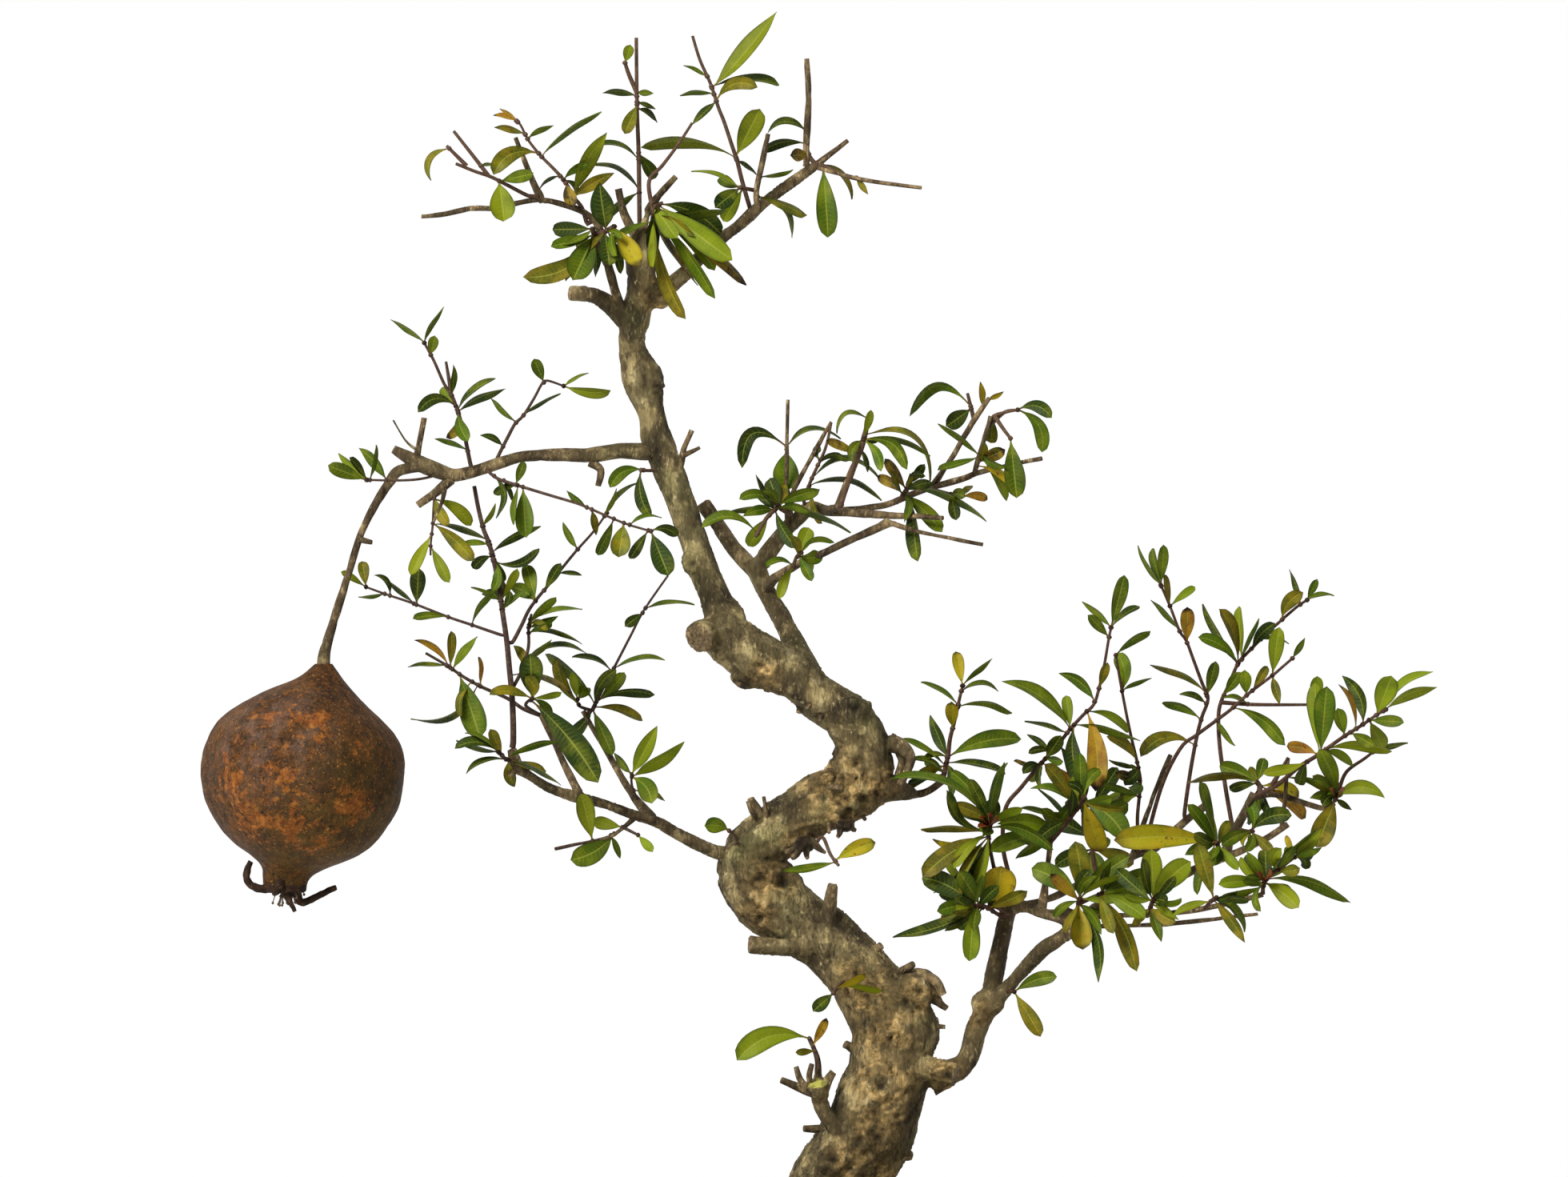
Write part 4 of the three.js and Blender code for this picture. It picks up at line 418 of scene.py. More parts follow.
LIMBS = [
  [[28, 192, -3, 8], [38, 195, -6, 7], [46, 193, -8, 4]],
  [[30, 166, -9, 5], [43, 165, -14, 4.6], [52, 163, -17, 4.2]],
  [[5, 212, -2, 4], [-10, 210, -9, 3.6], [-25.5, 211.5, -13, 3.3]],
  [[22, 284, -3, 4], [30, 287, -4, 2.4], [35, 281, -5, 1.8], [31, 271, -6, 1.4]],
  [[-33, 328, -10, 5], [-40.5, 327.5, -12.5, 6.2], [-44.2, 326, -17.5, 5.8]],
  [[-22, 259, 2, 3], [-25, 266, 0, 1.4]],
  [[4, 219, -6, 3], [6, 234, -9, 2]],
  [[8, 141, -14, 3.5], [3, 148, -16, 3], [1, 153, -15, 3], [0, 161.5, -13, 2.6]],
  [[1, 155, -15, 2], [-13.5, 161, -18, 1.4]],
  [[-53, 388, 1, 2.6], [-51, 393, 0, 1.8], [-50, 397, -1, 1.2], [-47, 404, -2, 1]],
  [[-50, 394.5, -1, 1.2], [-44, 397.5, -3, 0.7]],
  [[-68, 441, 0, 4.5], [-72, 445, -1, 3.6], [-78, 451, -3, 3.4], [-85, 454.5, -5, 3],
   [-93, 455, -7, 2.8]],
  [[-71, 444, 0, 2.6], [-73, 449, -3, 1.9], [-76, 457, -5, 1.8], [-79, 468, -7, 1.6], [-82, 480, -9, 1.5],
   [-86, 484.5, -10, 1.3], [-92, 487.5, -10, 1.3], [-103, 490, -11, 1.2], [-112, 488.8, -12, 1.1],
   [-120, 487, -13, 1.1], [-130, 486.6, -14, 1], [-140, 484.5, -15, 0.9], [-148, 483.8, -16, 0.8]],
  [[-103, 489.5, -11, 1.4], [-104, 492, -10, 1.5], [-106.5, 497, -9, 1.3], [-113, 513.5, -7, 0.8]],
  [[-66, 474, -2, 3], [-72, 484, -4, 1.7], [-74.5, 494.5, -5, 1.5]],
  [[-66, 479, -2, 2], [-61, 490, 0, 1.4], [-53, 499, 2, 1.1]],
  [[-67, 449, 0, 4], [-62, 453, 1, 3.4], [-52, 461, 2, 3.3], [-44, 469, 4, 2.8], [-36, 476, 6, 2.4],
   [-30, 480.5, 7, 2.2], [-25, 485.5, 8, 2.6], [-20, 489.5, 8, 2.2], [-10, 497, 8, 2.2],
   [-3, 502, 8, 2.1], [0, 504, 8, 1.8]],
  [[-58, 397, 2, 4], [-64, 396, 0, 3.2], [-75, 396, -3, 3], [-85, 394.8, -5, 2.8], [-95, 394.8, -7, 2.6],
   [-105, 394.5, -8, 2.4], [-112, 393.8, -9, 2.3], [-120, 391.3, -10, 2.4], [-130, 388, -11, 2.3],
   [-137, 387, -12, 2.6], [-145, 390, -13, 3.1], [-150, 392, -13, 2.9], [-158.5, 396.8, -14, 1.6]],
  [[-137, 385.5, -12, 2.2], [-143, 380.5, -13, 1.8], [-149.5, 375.8, -14, 1.5]],
  [[-150, 393, -13, 1.4], [-147, 408.5, -14, 1.1]],
  [[-85, 392, -5, 1.8], [-81, 389, -6, 1.4], [-82, 383, -7, 1.2]],
  [[-147, 390, -13, 2.2], [-156, 388.8, -14, 2.2], [-159.5, 385.5, -14, 2.1], [-163, 380, -14, 1.8],
   [-168.5, 370, -14, 1.5], [-172.3, 360, -14, 1.4], [-178.5, 340, -14, 1.5], [-181.6, 330, -14, 1.7],
   [-184.4, 320, -14, 2.4], [-185, 313, -14, 2.4]],
  [[-27, 244, 7, 4], [-36, 245, 4, 2.8], [-50, 251.5, -2, 2.4], [-60, 257, -6, 2.2], [-70, 260.5, -10, 2],
   [-80, 264, -13, 1.9], [-90, 266.8, -16, 2.5], [-100, 270, -20, 2.1], [-108, 275, -23, 1.9],
   [-112, 278, -25, 2.3], [-114, 285, -25, 1.7]],
  [[-89, 267.5, -16, 1.8], [-94.5, 278.5, -12, 1.4], [-99.5, 289, -8, 1.3], [-104, 298, -5, 1.2]],
  [[-62, 258.5, -6, 1.9], [-68, 265.5, 2, 1.5], [-72, 271.5, 6, 1.4], [-80, 285, 13, 1.3],
   [-88, 298.5, 19, 1.2]],
  [[-3, 314, -5, 5], [-10, 327, 2, 4.2], [-14, 335, 6, 3.8], [-18, 342, 9, 3.5], [-23, 353, 12, 4]],
  [[-23, 351, 12, 3.2], [-33, 362, 14, 3], [-43, 377, 16, 2.8]],
  [[-22, 353, 12, 3.3], [-12, 366, 13, 3], [-7, 371, 13, 3], [-2, 375, 12, 2.8], [5, 373.8, 6, 2],
   [20, 372.5, -2, 1.6], [40, 371.5, -12, 1.1], [47, 371, -15, 0.9]],
  [[-1, 374.5, 12, 2.2], [8, 374, 10, 1.5], [20, 375, 9, 1.4], [27, 376.5, 9, 1.3], [38, 381, 8, 1.3],
   [43, 382.5, 6, 1.2], [55, 386, -1, 1.1], [60, 388, -4, 1.1], [68, 390, -8, 1], [84, 393.3, -16, 0.9]],
  [[3, 374, 8, 1.5], [7, 375, -6, 1.4], [9, 376, -16, 1.3]],
  [[-19, 344, 9, 2.4], [-16, 348.5, 0, 2], [-8, 353, -10, 1.7], [0, 357, -14, 1.5], [20, 366, -12, 1.4],
   [27, 369.5, -10, 1.8]],
  [[42, 160, -6, 6], [53, 165, -5, 4.4], [57, 170, -4, 4], [60, 180, -2, 4.4], [64, 188, 0, 4.8]],
  [[64, 188, 0, 4], [68, 207, 5, 3.2], [71.5, 223, 9, 3.1]],
  [[64, 188, 0, 3.6], [73, 197, -3, 3], [84, 209, -7, 2.9], [90, 213, -9, 2.6], [97, 218, -12, 2.4]],
  [[71, 223, 9, 2.6], [77, 225.5, 6, 2.3], [84, 223, 0, 2.2], [91, 221.5, -6, 2.4],
   [97, 218.5, -12, 2.2]],
  [[72, 223, 9, 2.4], [79, 226, 14, 1.4], [88, 228, 20, 1.5], [95, 231.3, 26, 1.5], [103, 235, 31, 1.5],
   [112, 239.5, 35, 1.5], [120, 243.8, 38, 1.5], [127, 246, 41, 1.5], [133, 251, 45, 1.5],
   [140, 257, 44, 1.5], [147, 262.5, 42, 1.5]],
  [[97, 218.5, -12, 2.2], [105, 226.5, -13, 1.8], [113, 229.5, -13, 1.8], [120, 231, -12, 1.8],
   [130, 234, -11, 1.8], [137, 237.5, -10, 1.8], [145, 241, -10, 1.8], [155, 245, -11, 1.8]],
  [[151, 243.5, -10, 1.7], [156, 253, -12, 1.6], [159, 259, -12, 1.6], [163.5, 268, -12, 1.5]],
  [[155, 245, -11, 1.6], [167, 250.5, -12, 1.4], [176, 256.5, -13, 1.2]],
  [[153, 244, -11, 1.5], [155, 250, 0, 1.3], [156, 256, 8, 1.2]],
  [[163, 266, -12, 1.3], [171, 267.5, -10, 1.1], [182, 264.5, -11, 1.1], [190, 262.5, -12, 1.2],
   [193.5, 264.5, -12, 1.2]],
  [[97, 218.5, -12, 2], [105, 222.5, -24, 1.4], [123, 223, -32, 1.2], [140, 225, -42, 1.1],
   [160, 229.5, -45, 1.1], [165.5, 231, -46, 1.1]],
  [[97, 217.5, -12, 1.6], [107, 218.5, -17, 0.9], [125, 219, -22, 0.9], [136, 220, -26, 0.8],
   [164, 223.5, -34, 0.8]],
  [[70.5, 221, 8, 2], [70, 225, 20, 1.5], [72, 238, 23, 1.3]],
  [[71, 222, 8, 1.8], [66, 232, 6, 1.2], [66.5, 240, 2.5, 1.1]],
  [[84, 223, 0, 1.9], [86, 236, 6, 1.2], [87.5, 250, 4, 1.1]],
  [[14, 266, 4, 6], [25, 266, 8, 2], [36, 267, 12, 1.7], [42, 268.5, 13, 1.5], [47.5, 272.5, 14, 1.4]],
  [[119, 243, 38, 1.2], [127, 265, 47, 0.9], [134, 281.5, 52, 0.8]],
  [[26, 369.5, -10, 1.2], [40, 365.5, -14, 0.9], [62, 361, -18, 0.8]],
]
KNOTS = [  # x, z, y, radius across, up and in depth
  [36, 194, -10, 8, 7, 7], [19, 193, -13, 6, 7, 4], [27, 177, -19, 4, 4, 3], [23, 158, -20, 5, 5, 3],
  [5, 130, -14, 5, 5, 6], [-23, 237, -6, 5, 4, 4], [-5, 248.8, -2, 4.6, 3, 4.5],
  [10, 256, -2, 4, 2.8, 4.5], [14, 300, -11, 6, 5, 5], [-27, 311, -8, 5, 4, 4], [-60, 421, -3, 3, 2.6, 3],
  [-58.5, 455, -1, 4.5, 6, 4.5], [-46, 355, -4, 5, 5, 5], [64, 189, -1, 6.5, 6, 6],
  [93, 222, -8, 4, 3.6, 3.6], [15, 273, 5, 13, 11, 11],
]
SHADE_UNDER_BENDS = [  # shade painted dark on the lumps and undersides under the bends: x, z, radius
  (-5, 247.5, 4), (10, 254.4, 3.4), (6, 283.5, 2.6), (-8, 299, 2), (-27, 309.6, 2.2), (18, 253, 2.4),
]
SMALL_SPURS = [  # pruned spurs, nubs and prickles on the bark
  [[-24, 258, -2, 1.2], [-24.5, 261, -3, 1], [-26, 265, -4, 0.8]], [[-19, 259, -2, 1.1],
   [-20, 266.5, -4, 0.7]], [[32, 133, -6, 2.6], [35.5, 132, -8, 1.8]], [[14, 172, -6, 2.4],
   [10.5, 174, -8, 1.6]], [[20, 208, -4, 2.4], [24, 211, -6, 1.5]], [[-25, 312, -8, 1.6],
   [-27.5, 309, -9, 1.1]], [[-18, 310, -9, 1.5], [-19, 306, -9, 1]], [[-9, 305, -8, 1.4],
   [-9, 302, -9, 0.9]], [[-6, 301.5, -7, 1.5], [-7, 298, -8, 1]], [[3, 142, -6, 1.8],
   [-5, 142.5, -8, 1.2]], [[-4, 158, -17, 1.6], [-6.5, 161, -18, 1.3], [-8, 166, -18, 0.9]],
  [[0, 158, -14, 1.6], [0.3, 166, -14, 1.3], [-0.5, 171, -14, 1.1], [-3, 176.5, -14, 0.9]],
  [[2, 156, -15, 2.2], [4, 161, -15, 1.9], [6, 164, -15, 1.5]], [[-2, 157, -15, 1.2], [-3, 162, -18, 1],
   [-2, 167, -19, 0.8]], [[-6, 249, -2, 2], [-8, 245, -4, 1.4], [-9.5, 243.5, -5, 0.8]],
  [[-3, 250, -3, 1.8], [-4, 245.5, -5, 1.2], [-3.5, 243.5, -6, 0.7]], [[0, 251, -3, 1.7],
   [1, 247, -5, 1.1], [3, 245.8, -6, 0.6]], [[-9, 248, -3, 1.4], [-12, 246, -5, 0.9]],
  [[-6, 250, -5, 1.5], [-6, 246.5, -8, 0.9]], [[8, 257, -3, 1.6], [8.5, 253, -5, 1.1],
   [7.5, 251.5, -5, 0.7]], [[12, 259, -2, 1.5], [13, 255, -4, 1], [14.5, 254, -4, 0.6]],
  [[5, 256, -4, 1.3], [4.5, 253, -6, 0.8]], [[16, 261, -2, 1.3], [18, 258, -4, 0.8]],
  [[44, 181, -6, 1.5], [48, 180.5, -7, 0.9]], [[7, 276, -8, 1.3], [3.5, 277, -10, 0.8]],
  [[9, 270, -8, 1.6], [4, 270.5, -10, 1]], [[-1, 303, -12, 1.3], [-4, 300, -14, 0.8]],
  [[2, 298, -12, 1.3], [0.5, 294.5, -14, 0.8]], [[-13, 309, -12, 1.3], [-15, 305, -13, 0.8]],
  [[27, 287, -3, 3.6], [31.5, 284.5, -4, 2.6], [34.8, 281.5, -5, 2], [34, 277.5, -5, 1.6],
   [31.5, 271.5, -4, 1.2]], [[30, 285, -3, 2], [32, 280, -2, 1.8], [30, 274, -1, 1.6], [27, 270, 0, 1.2]],
  [[38, 200, -10, 2.4], [44, 198, -14, 1.8], [47, 193, -14, 1.4]], [[32, 202, -8, 2],
   [36, 204, -11, 1.3]], [[44, 190, -10, 2.2], [48.5, 187.5, -11, 1.2]], [[-83, 459, -6, 0.9],
   [-79.5, 455, -5, 0.7]], [[-171, 363, -14, 1.5], [-166.5, 362, -15, 1]], [[-113, 278, -25, 2],
   [-114.5, 274.5, -26, 1.2]], [[-69, 257, -10, 0.8], [-74, 254, -14, 0.7], [-79, 251.5, -17, 0.6],
   [-98, 247.5, -22, 0.7]], [[3, 504, 8, 1.2], [11.5, 513, 8, 0.9]], [[-4, 503, 8, 1.5],
   [-4, 512, 8, 1.3], [-3.2, 530, 6, 1.1], [-4, 543.5, 5, 0.9]], [[0, 502, 8, 1.3],
   [10, 499.8, 4, 0.9], [20, 497.5, 0, 0.8], [39, 494.8, -4, 0.6]], [[-22, 487, 6, 1.3],
   [-22.5, 495, 2, 1.1], [-18.5, 515, -2, 0.8]], [[-11, 364, 12, 1.2], [-11.5, 380, 8, 0.9],
   [-11, 415.5, 4, 0.7]], [[-8, 368, 12, 1.2], [-10, 378, 10, 0.9], [-1, 396, 6, 0.9],
   [5.3, 407.3, 4, 0.7]], [[7, 373.8, 6, 1.4], [13, 389, 2, 1.2], [17, 399, 0, 1.1], [19, 408, -1, 0.9]],
  [[42, 382, 7, 1.2], [50, 393, 0, 1.1], [59, 408, -4, 1], [64.5, 416, -6, 0.9]], [[59, 388, -4, 1],
   [61.5, 397, -8, 0.9], [65, 409, -10, 0.9]], [[173, 256, -12, 1], [175, 268, -14, 0.9],
   [176, 281.3, -14, 0.9]], [[64, 405, -6, 0.8], [70, 410.5, -8, 0.8], [75, 411.5, -9, 0.7]],
  [[-151, 396.5, -13, 0.6], [-154, 400, -14, 0.4], [-158.5, 407.5, -16, 0.3]], [[-139, 384, -12, 1],
   [-140.5, 377, -16, 0.8], [-143.5, 369.5, -18, 0.6]],
]
ARM = [  # the thick shoulder of wood under the right-hand twig at the upper bend
  [12, 271, 2, 9], [22, 271.5, 0, 7.5], [29, 269.5, 1, 4.6], [36, 267.5, 8, 2.4],
]
FRESH_CUT = [[1.5, 154.5, -16, 3], [0.6, 157.4, -19, 3.9], [0.2, 159.6, -20, 4.2]]
EYES = [  # healed knots and hollows on the front: x, z, radius, depth
  [18.5, 191.5, 5, 1.6], [27, 177, 4, 1.5], [24, 159, 4, 1.2], [-22, 236, 3.6, 1.2],
  [-12.5, 235, 4.6, 2.4], [-44.6, 326, 3.6, 0.5], [-20, 261, 2.4, 0.8], [-5, 267, 2.2, 0.7],
  [14.5, 300, 3.4, 0.9], [-46.5, 354, 2.8, 0.8], [-60, 420, 2.2, 0.9], [-58, 455, 2.6, 0.9],
  [-2, 250, 3.4, 1.2], [10, 259, 3, 1], [22, 140, 4, 1], [12, 128, 3, 0.9], [33, 190, 3, 1],
  [1, 283, 1.8, 0.6], [48.5, 163, 4.2, 0.7], [-22, 221, 3, 1.2], [38, 194, 3.4, 1.3], [42, 199, 2.4, 1],
  [9, 274, 3, 1.3], [6, 281, 1.6, 0.6], [22, 268, 2.6, 1], [-3, 215, 1.6, 0.6], [4, 207, 1.4, 0.5],
  [23, 211, 1.6, 0.6], [30, 148, 2.4, 0.8], [6, 132, 4.2, 2.2], [14, 279, 3.2, 2], [6, 273, 2.6, 1.5],
  [18, 265.5, 3.4, 2.2], [12, 261.5, 2.4, 1.6], [16, 139, 3, 1.6], [-17, 226, 2.2, 1], [17, 166, 2, 0.7],
  [14, 201, 2.4, 0.8],
]
ROUGH_PATCHES = [  # brown, flaking bark: x, z, radius
  [19, 193, 10], [26, 177, 11], [25, 160, 11], [22, 145, 10], [-18, 237, 9], [8, 271, 13], [10, 257, 9],
  [-60, 455, 6], [14, 130, 9], [-86, 393, 5], [-20, 312, 6], [60, 185, 7], [39, 195, 9], [-22, 222, 7],
  [24, 271, 8], [48, 163, 7], [-5, 250, 7], [14, 197, 8], [22, 120, 12],
]
SKIN = 1.08  # size of the remeshed skin's cells
ROUTE_STEP = 1.4
TRUNK_SIDES, LIMB_SIDES, TWIG_SIDES = 40, 20, 12
THINNEST_SKINNED = 1.65  # thinner wood is left as tubes
GRAIN_STRETCH = 0.38  # how much the bark's pattern is drawn out along z
OLD_CUT, NEW_CUT = 1, 2
RIDGE_RISE, FINE_RISE, FURROW_DEPTH = 1.35, 0.6, 0.8  # relief of the bark on thick wood
FURROW_WIDTH = 0.16
FLAKE_RISE = 0.45
SEAT_SLACK = 0.4  # a spur that starts less deep in the wood than this is seated deeper
SEAT_DEPTH = 1.2  # how deep it then starts


def along_route(route, step):
    """Evenly set (place, radius) pairs on a smooth curve through the route."""
    places = [Vector((x, y, z)) for x, z, y, _ in route]
    radii = [r for *_, r in route]
    made = []
    for k in range(len(route) - 1):
        before, after = places[max(k - 1, 0)], places[min(k + 2, len(route) - 1)]
        start, end = places[k], places[k + 1]
        r_before, r_after = radii[max(k - 1, 0)], radii[min(k + 2, len(route) - 1)]
        r_start, r_end = radii[k], radii[k + 1]
        parts = max(2, math.ceil((end - start).length / step))
        for i in range(parts):
            t = i / parts
            place = (2 * start + (end - before) * t
                     + (2 * before - 5 * start + 4 * end - after) * t ** 2
                     + (3 * start - before - 3 * end + after) * t ** 3) / 2
            radius = (2 * r_start + (r_end - r_before) * t
                      + (2 * r_before - 5 * r_start + 4 * r_end - r_after) * t ** 2
                      + (3 * r_start - r_before - 3 * r_end + r_after) * t ** 3) / 2
            made.append((place, max(radius, 0.6 * min(r_start, r_end))))
    made.append((places[-1], radii[-1]))
    return made


def add_tube(points, faces, line, sides):
    """Skins a closed round tube over (place, radius) pairs, into the lists, in metres."""
    across = None
    start = len(points)
    for k, (place, radius) in enumerate(line):
        ahead = (line[min(k + 1, len(line) - 1)][0] - line[max(k - 1, 0)][0]).normalized()
        if across is None:
            across = ahead.orthogonal().normalized()
        across = (across - ahead * across.dot(ahead)).normalized()
        other = ahead.cross(across)
        for i in range(sides):
            angle = 2 * math.pi * i / sides
            rim = across * math.cos(angle) + other * math.sin(angle)
            points.append((place + rim * radius) * MM)
    skin_rings(faces, start, len(line), sides)


def fractal(place, size, octaves=4):
    """Fractal noise of about the given feature size."""
    return noise.fractal(place / size, 1.0, 2.0, octaves)


# Old bark is matt and pale with olive algae, dark flecks and cracks, brown where it flakes. Thin
# wood is smoother and redder. The hollows are nearly black, painted shade darkens the bark under
# the bends, and the saw cuts show pale wood.
bark, place = new_material("grey-brown pomegranate bark")
grain = add_node("Mapping", {"Vector": place, "Scale": (1, 1, GRAIN_STRETCH)})
apart = {shift: add_node("VectorMath", along, (shift,) * 3, operation="ADD")
         for along, shift in ((place, 4.2), (place, 1.9), (grain, 9.3), (grain, 5.5))}
ridge = add_node("TexNoise", grain, 1 / (9 * MM), 8, 0.62)
skin = add_node("ValToRGB", ridge, stops=[(0.32, "#2c2417"), (0.44, "#5d5035"), (0.57, "#84744d"),
                                          (0.7, "#b3a375")])
algae = add_node("TexNoise", apart[4.2], 1 / (26 * MM), 3, 0.5)
algae = add_node("MapRange", algae, 0.5, 0.72, 0, 0.6)
skin = add_node("Mix", algae, skin, "#666439", data_type="RGBA")
twig = add_node("TexNoise", grain, 1 / (3.5 * MM), 6, 0.55)
twig = add_node("ValToRGB", twig, stops=[(0.3, "#3c2d1f"), (0.55, "#6d5a3f"), (0.78, "#9c865c")])
girth = add_node("Attribute", attribute_name="girth", output="Fac")
skin = add_node("Mix", add_node("MapRange", girth, 1.3, 4.5), twig, skin, data_type="RGBA")
lenticel = add_node("TexNoise", apart[9.3], 1 / (1.3 * MM), 2, 0.5)
lenticel = add_node("MapRange", lenticel, 0.63, 0.7, 0, 0.55)
skin = add_node("Mix", lenticel, skin, "#b9aa80", data_type="RGBA")
fine = add_node("TexNoise", apart[5.5], 1 / (1.15 * MM), 6, 0.6)
dark_flecks = add_node("Math", add_node("MapRange", fine, 0.5, 0.64, 0, 0.75),
                       add_node("MapRange", girth, 5, 14, 0.4, 1), operation="MULTIPLY")
skin = add_node("Mix", dark_flecks, skin, "#2b2318", data_type="RGBA")
pale_flecks = add_node("MapRange", fine, 0.3, 0.44, 0.45, 0)
skin = add_node("Mix", pale_flecks, skin, "#bdac7c", data_type="RGBA")
flake = add_node("TexNoise", place, 1 / (2.6 * MM), 8, 0.7)
flake = add_node("ValToRGB", flake, stops=[(0.32, "#291d10"), (0.45, "#766038"), (0.58, "#a88b57"),
                                           (0.74, "#cfb684")])
ragged_edge = add_node("MapRange", add_node("TexNoise", place, 1 / (5 * MM), 6, 0.55), 0.33, 0.52)
flaking = add_node("Math", add_node("Attribute", attribute_name="patch", output="Fac"), ragged_edge,
                   operation="MULTIPLY")
skin = add_node("Mix", flaking, skin, flake, data_type="RGBA")
crooked = add_node("TexNoise", grain, 0.3 / MM, output="Color")
crooked = add_node("VectorMath", grain, crooked, operation="ADD")
crack = add_node("TexVoronoi", crooked, 1 / (5.5 * MM), feature="DISTANCE_TO_EDGE")
dry = add_node("TexNoise", apart[1.9], 1 / (12 * MM), 4, 0.6)
crack = add_node("Math", add_node("MapRange", crack, 0, 0.09, 1, 0),
                 add_node("MapRange", dry, 0.45, 0.62), operation="MULTIPLY")
skin = add_node("Mix", add_node("Math", crack, 0.8, operation="MULTIPLY"), skin, "#231b13",
                data_type="RGBA")
# The knot hollows and the painted shade under the bends darken the bark nearly to black.
hollow_and_shade = add_node("Attribute", attribute_name="hollow_and_shade", output="Fac")
hollow_and_shade = add_node("MapRange", hollow_and_shade, 0.32, 1, 0, 0.9)
skin = add_node("Mix", hollow_and_shade, skin, "#17110c", data_type="RGBA")
cut = add_node("Attribute", attribute_name="cut", output="Fac")
heartwood = add_node("TexNoise", place, 1 / (1.2 * MM), 4, 0.55)
heartwood = add_node("ValToRGB", heartwood, stops=[(0.3, "#4c3d2a"), (0.55, "#846f4f"),
                                                   (0.8, "#ab9770")])
fresh = add_node("MapRange", cut, OLD_CUT, NEW_CUT)
heartwood = add_node("Mix", fresh, heartwood, "#a6a14c", data_type="RGBA")
skin = add_node("Mix", add_node("MapRange", cut, 0, OLD_CUT), skin, heartwood, data_type="RGBA")
relief = add_node("Math", add_node("TexNoise", grain, 1 / (2.4 * MM), 8, 0.65),
                  add_node("Math", crack, -0.5, operation="MULTIPLY"), operation="ADD")
surface(skin, add_node("MapRange", relief, 0.2, 0.8, 0.92, 0.62), relief, 1.7, shine=0.15)


def nearest_wood(point, routes, knots):
    """How far the point lies outside the nearest wood, and where on its centre line that is."""
    found = [(math.dist(point, knot[:3]) - min(knot[3:]), knot[:3]) for knot in knots]
    for route in routes:
        for start, end in zip(route, route[1:]):
            run = [b - a for a, b in zip(start[:3], end[:3])]
            share = sum((p - a) * c for p, a, c in zip(point, start, run)) / sum(c * c for c in run)
            share = max(0, min(1, share))
            centre = [a + c * share for a, c in zip(start, run)]
            radius = start[3] + (end[3] - start[3]) * share
            found.append((math.dist(point, centre) - radius, centre))
    return min(found)


def seated(spur, others):
    """The spur, begun inside the nearest wood where its start lies free or only touches."""
    (*start, radius), *rest = spur
    outside, centre = nearest_wood(start, others, KNOTS)
    if outside <= -SEAT_SLACK:
        return spur
    share = min(1, (outside + SEAT_DEPTH) / math.dist(start, centre))
    return [[round(a + (b - a) * share, 1) for a, b in zip(start, centre)] + [radius]] + rest


carriers = [TRUNK] + ROOTS + [ARM, FRESH_CUT] + LIMBS
spurs = [seated(spur, carriers + [other for other in SMALL_SPURS if other is not spur])
         for spur in SMALL_SPURS]
routes = carriers + spurs
lines = [along_route(route, ROUTE_STEP) for route in routes]
points, faces = [], []
twig_points, twig_faces = [], []
for k, (route, line) in enumerate(zip(routes, lines)):
    if min(r for *_, r in route) >= THINNEST_SKINNED:
        add_tube(points, faces, line, TRUNK_SIDES if k == 0 else LIMB_SIDES)
    else:
        add_tube(twig_points, twig_faces, line, TWIG_SIDES)
wood = mesh_object("trunk_bark", points, faces, bark)
for x, z, y, across, up, deep in KNOTS:
    bpy.ops.mesh.primitive_ico_sphere_add(subdivisions=4, radius=1,
                                          location=(x * MM, y * MM, z * MM),
                                          scale=(across * MM, deep * MM, up * MM))
    knot = bpy.context.active_object
    knot.data.materials.append(bark)
    pick(wood, knot)
    bpy.ops.object.join()
settle(wood)
wood.data.remesh_voxel_size = SKIN * MM
bpy.ops.object.voxel_remesh()
even = wood.modifiers.new("even", "SMOOTH")
even.factor = 0.5
even.iterations = 4
bpy.ops.object.modifier_apply(modifier="even")
twigs = mesh_object("twigs", twig_points, twig_faces, bark)
pick(wood, twigs)
bpy.ops.object.join()
settle(wood)

centres, girths, runs = [], [], []
for k, line in enumerate(lines):
    run = 53.0 * k
    for i, (place, radius) in enumerate(line):
        ahead = line[min(i + 1, len(line) - 1)][0] - line[max(i - 1, 0)][0]
        run += ahead.length / 2
        centres.append(place)
        girths.append(radius)
        runs.append(run)
count = len(wood.data.vertices)
bark_points = np.zeros(count * 3)
wood.data.vertices.foreach_get("co", bark_points)
bark_points = bark_points.reshape(-1, 3) / MM
centre_array = np.array(centres)
girth_array = np.array(girths)
nearest = np.zeros(count, int)
for low in range(0, count, 4000):
    part = bark_points[low:low + 4000]
    far = np.sqrt(((part[:, None, :] - centre_array[None, :, :]) ** 2).sum(2)) - girth_array
    nearest[low:low + 4000] = far.argmin(1)
bark_girth, bark_hollow_and_shade, bark_patch, bark_cut = [], [], [], []
cut_ends = [(line[-1][0], (line[-1][0] - line[-3][0]).normalized(), line[-1][1])
            for line in lines[1 + len(ROOTS):]]
end_array = np.array([end for end, _, _ in cut_ends])
normals = [vertex.normal.copy() for vertex in wood.data.vertices]
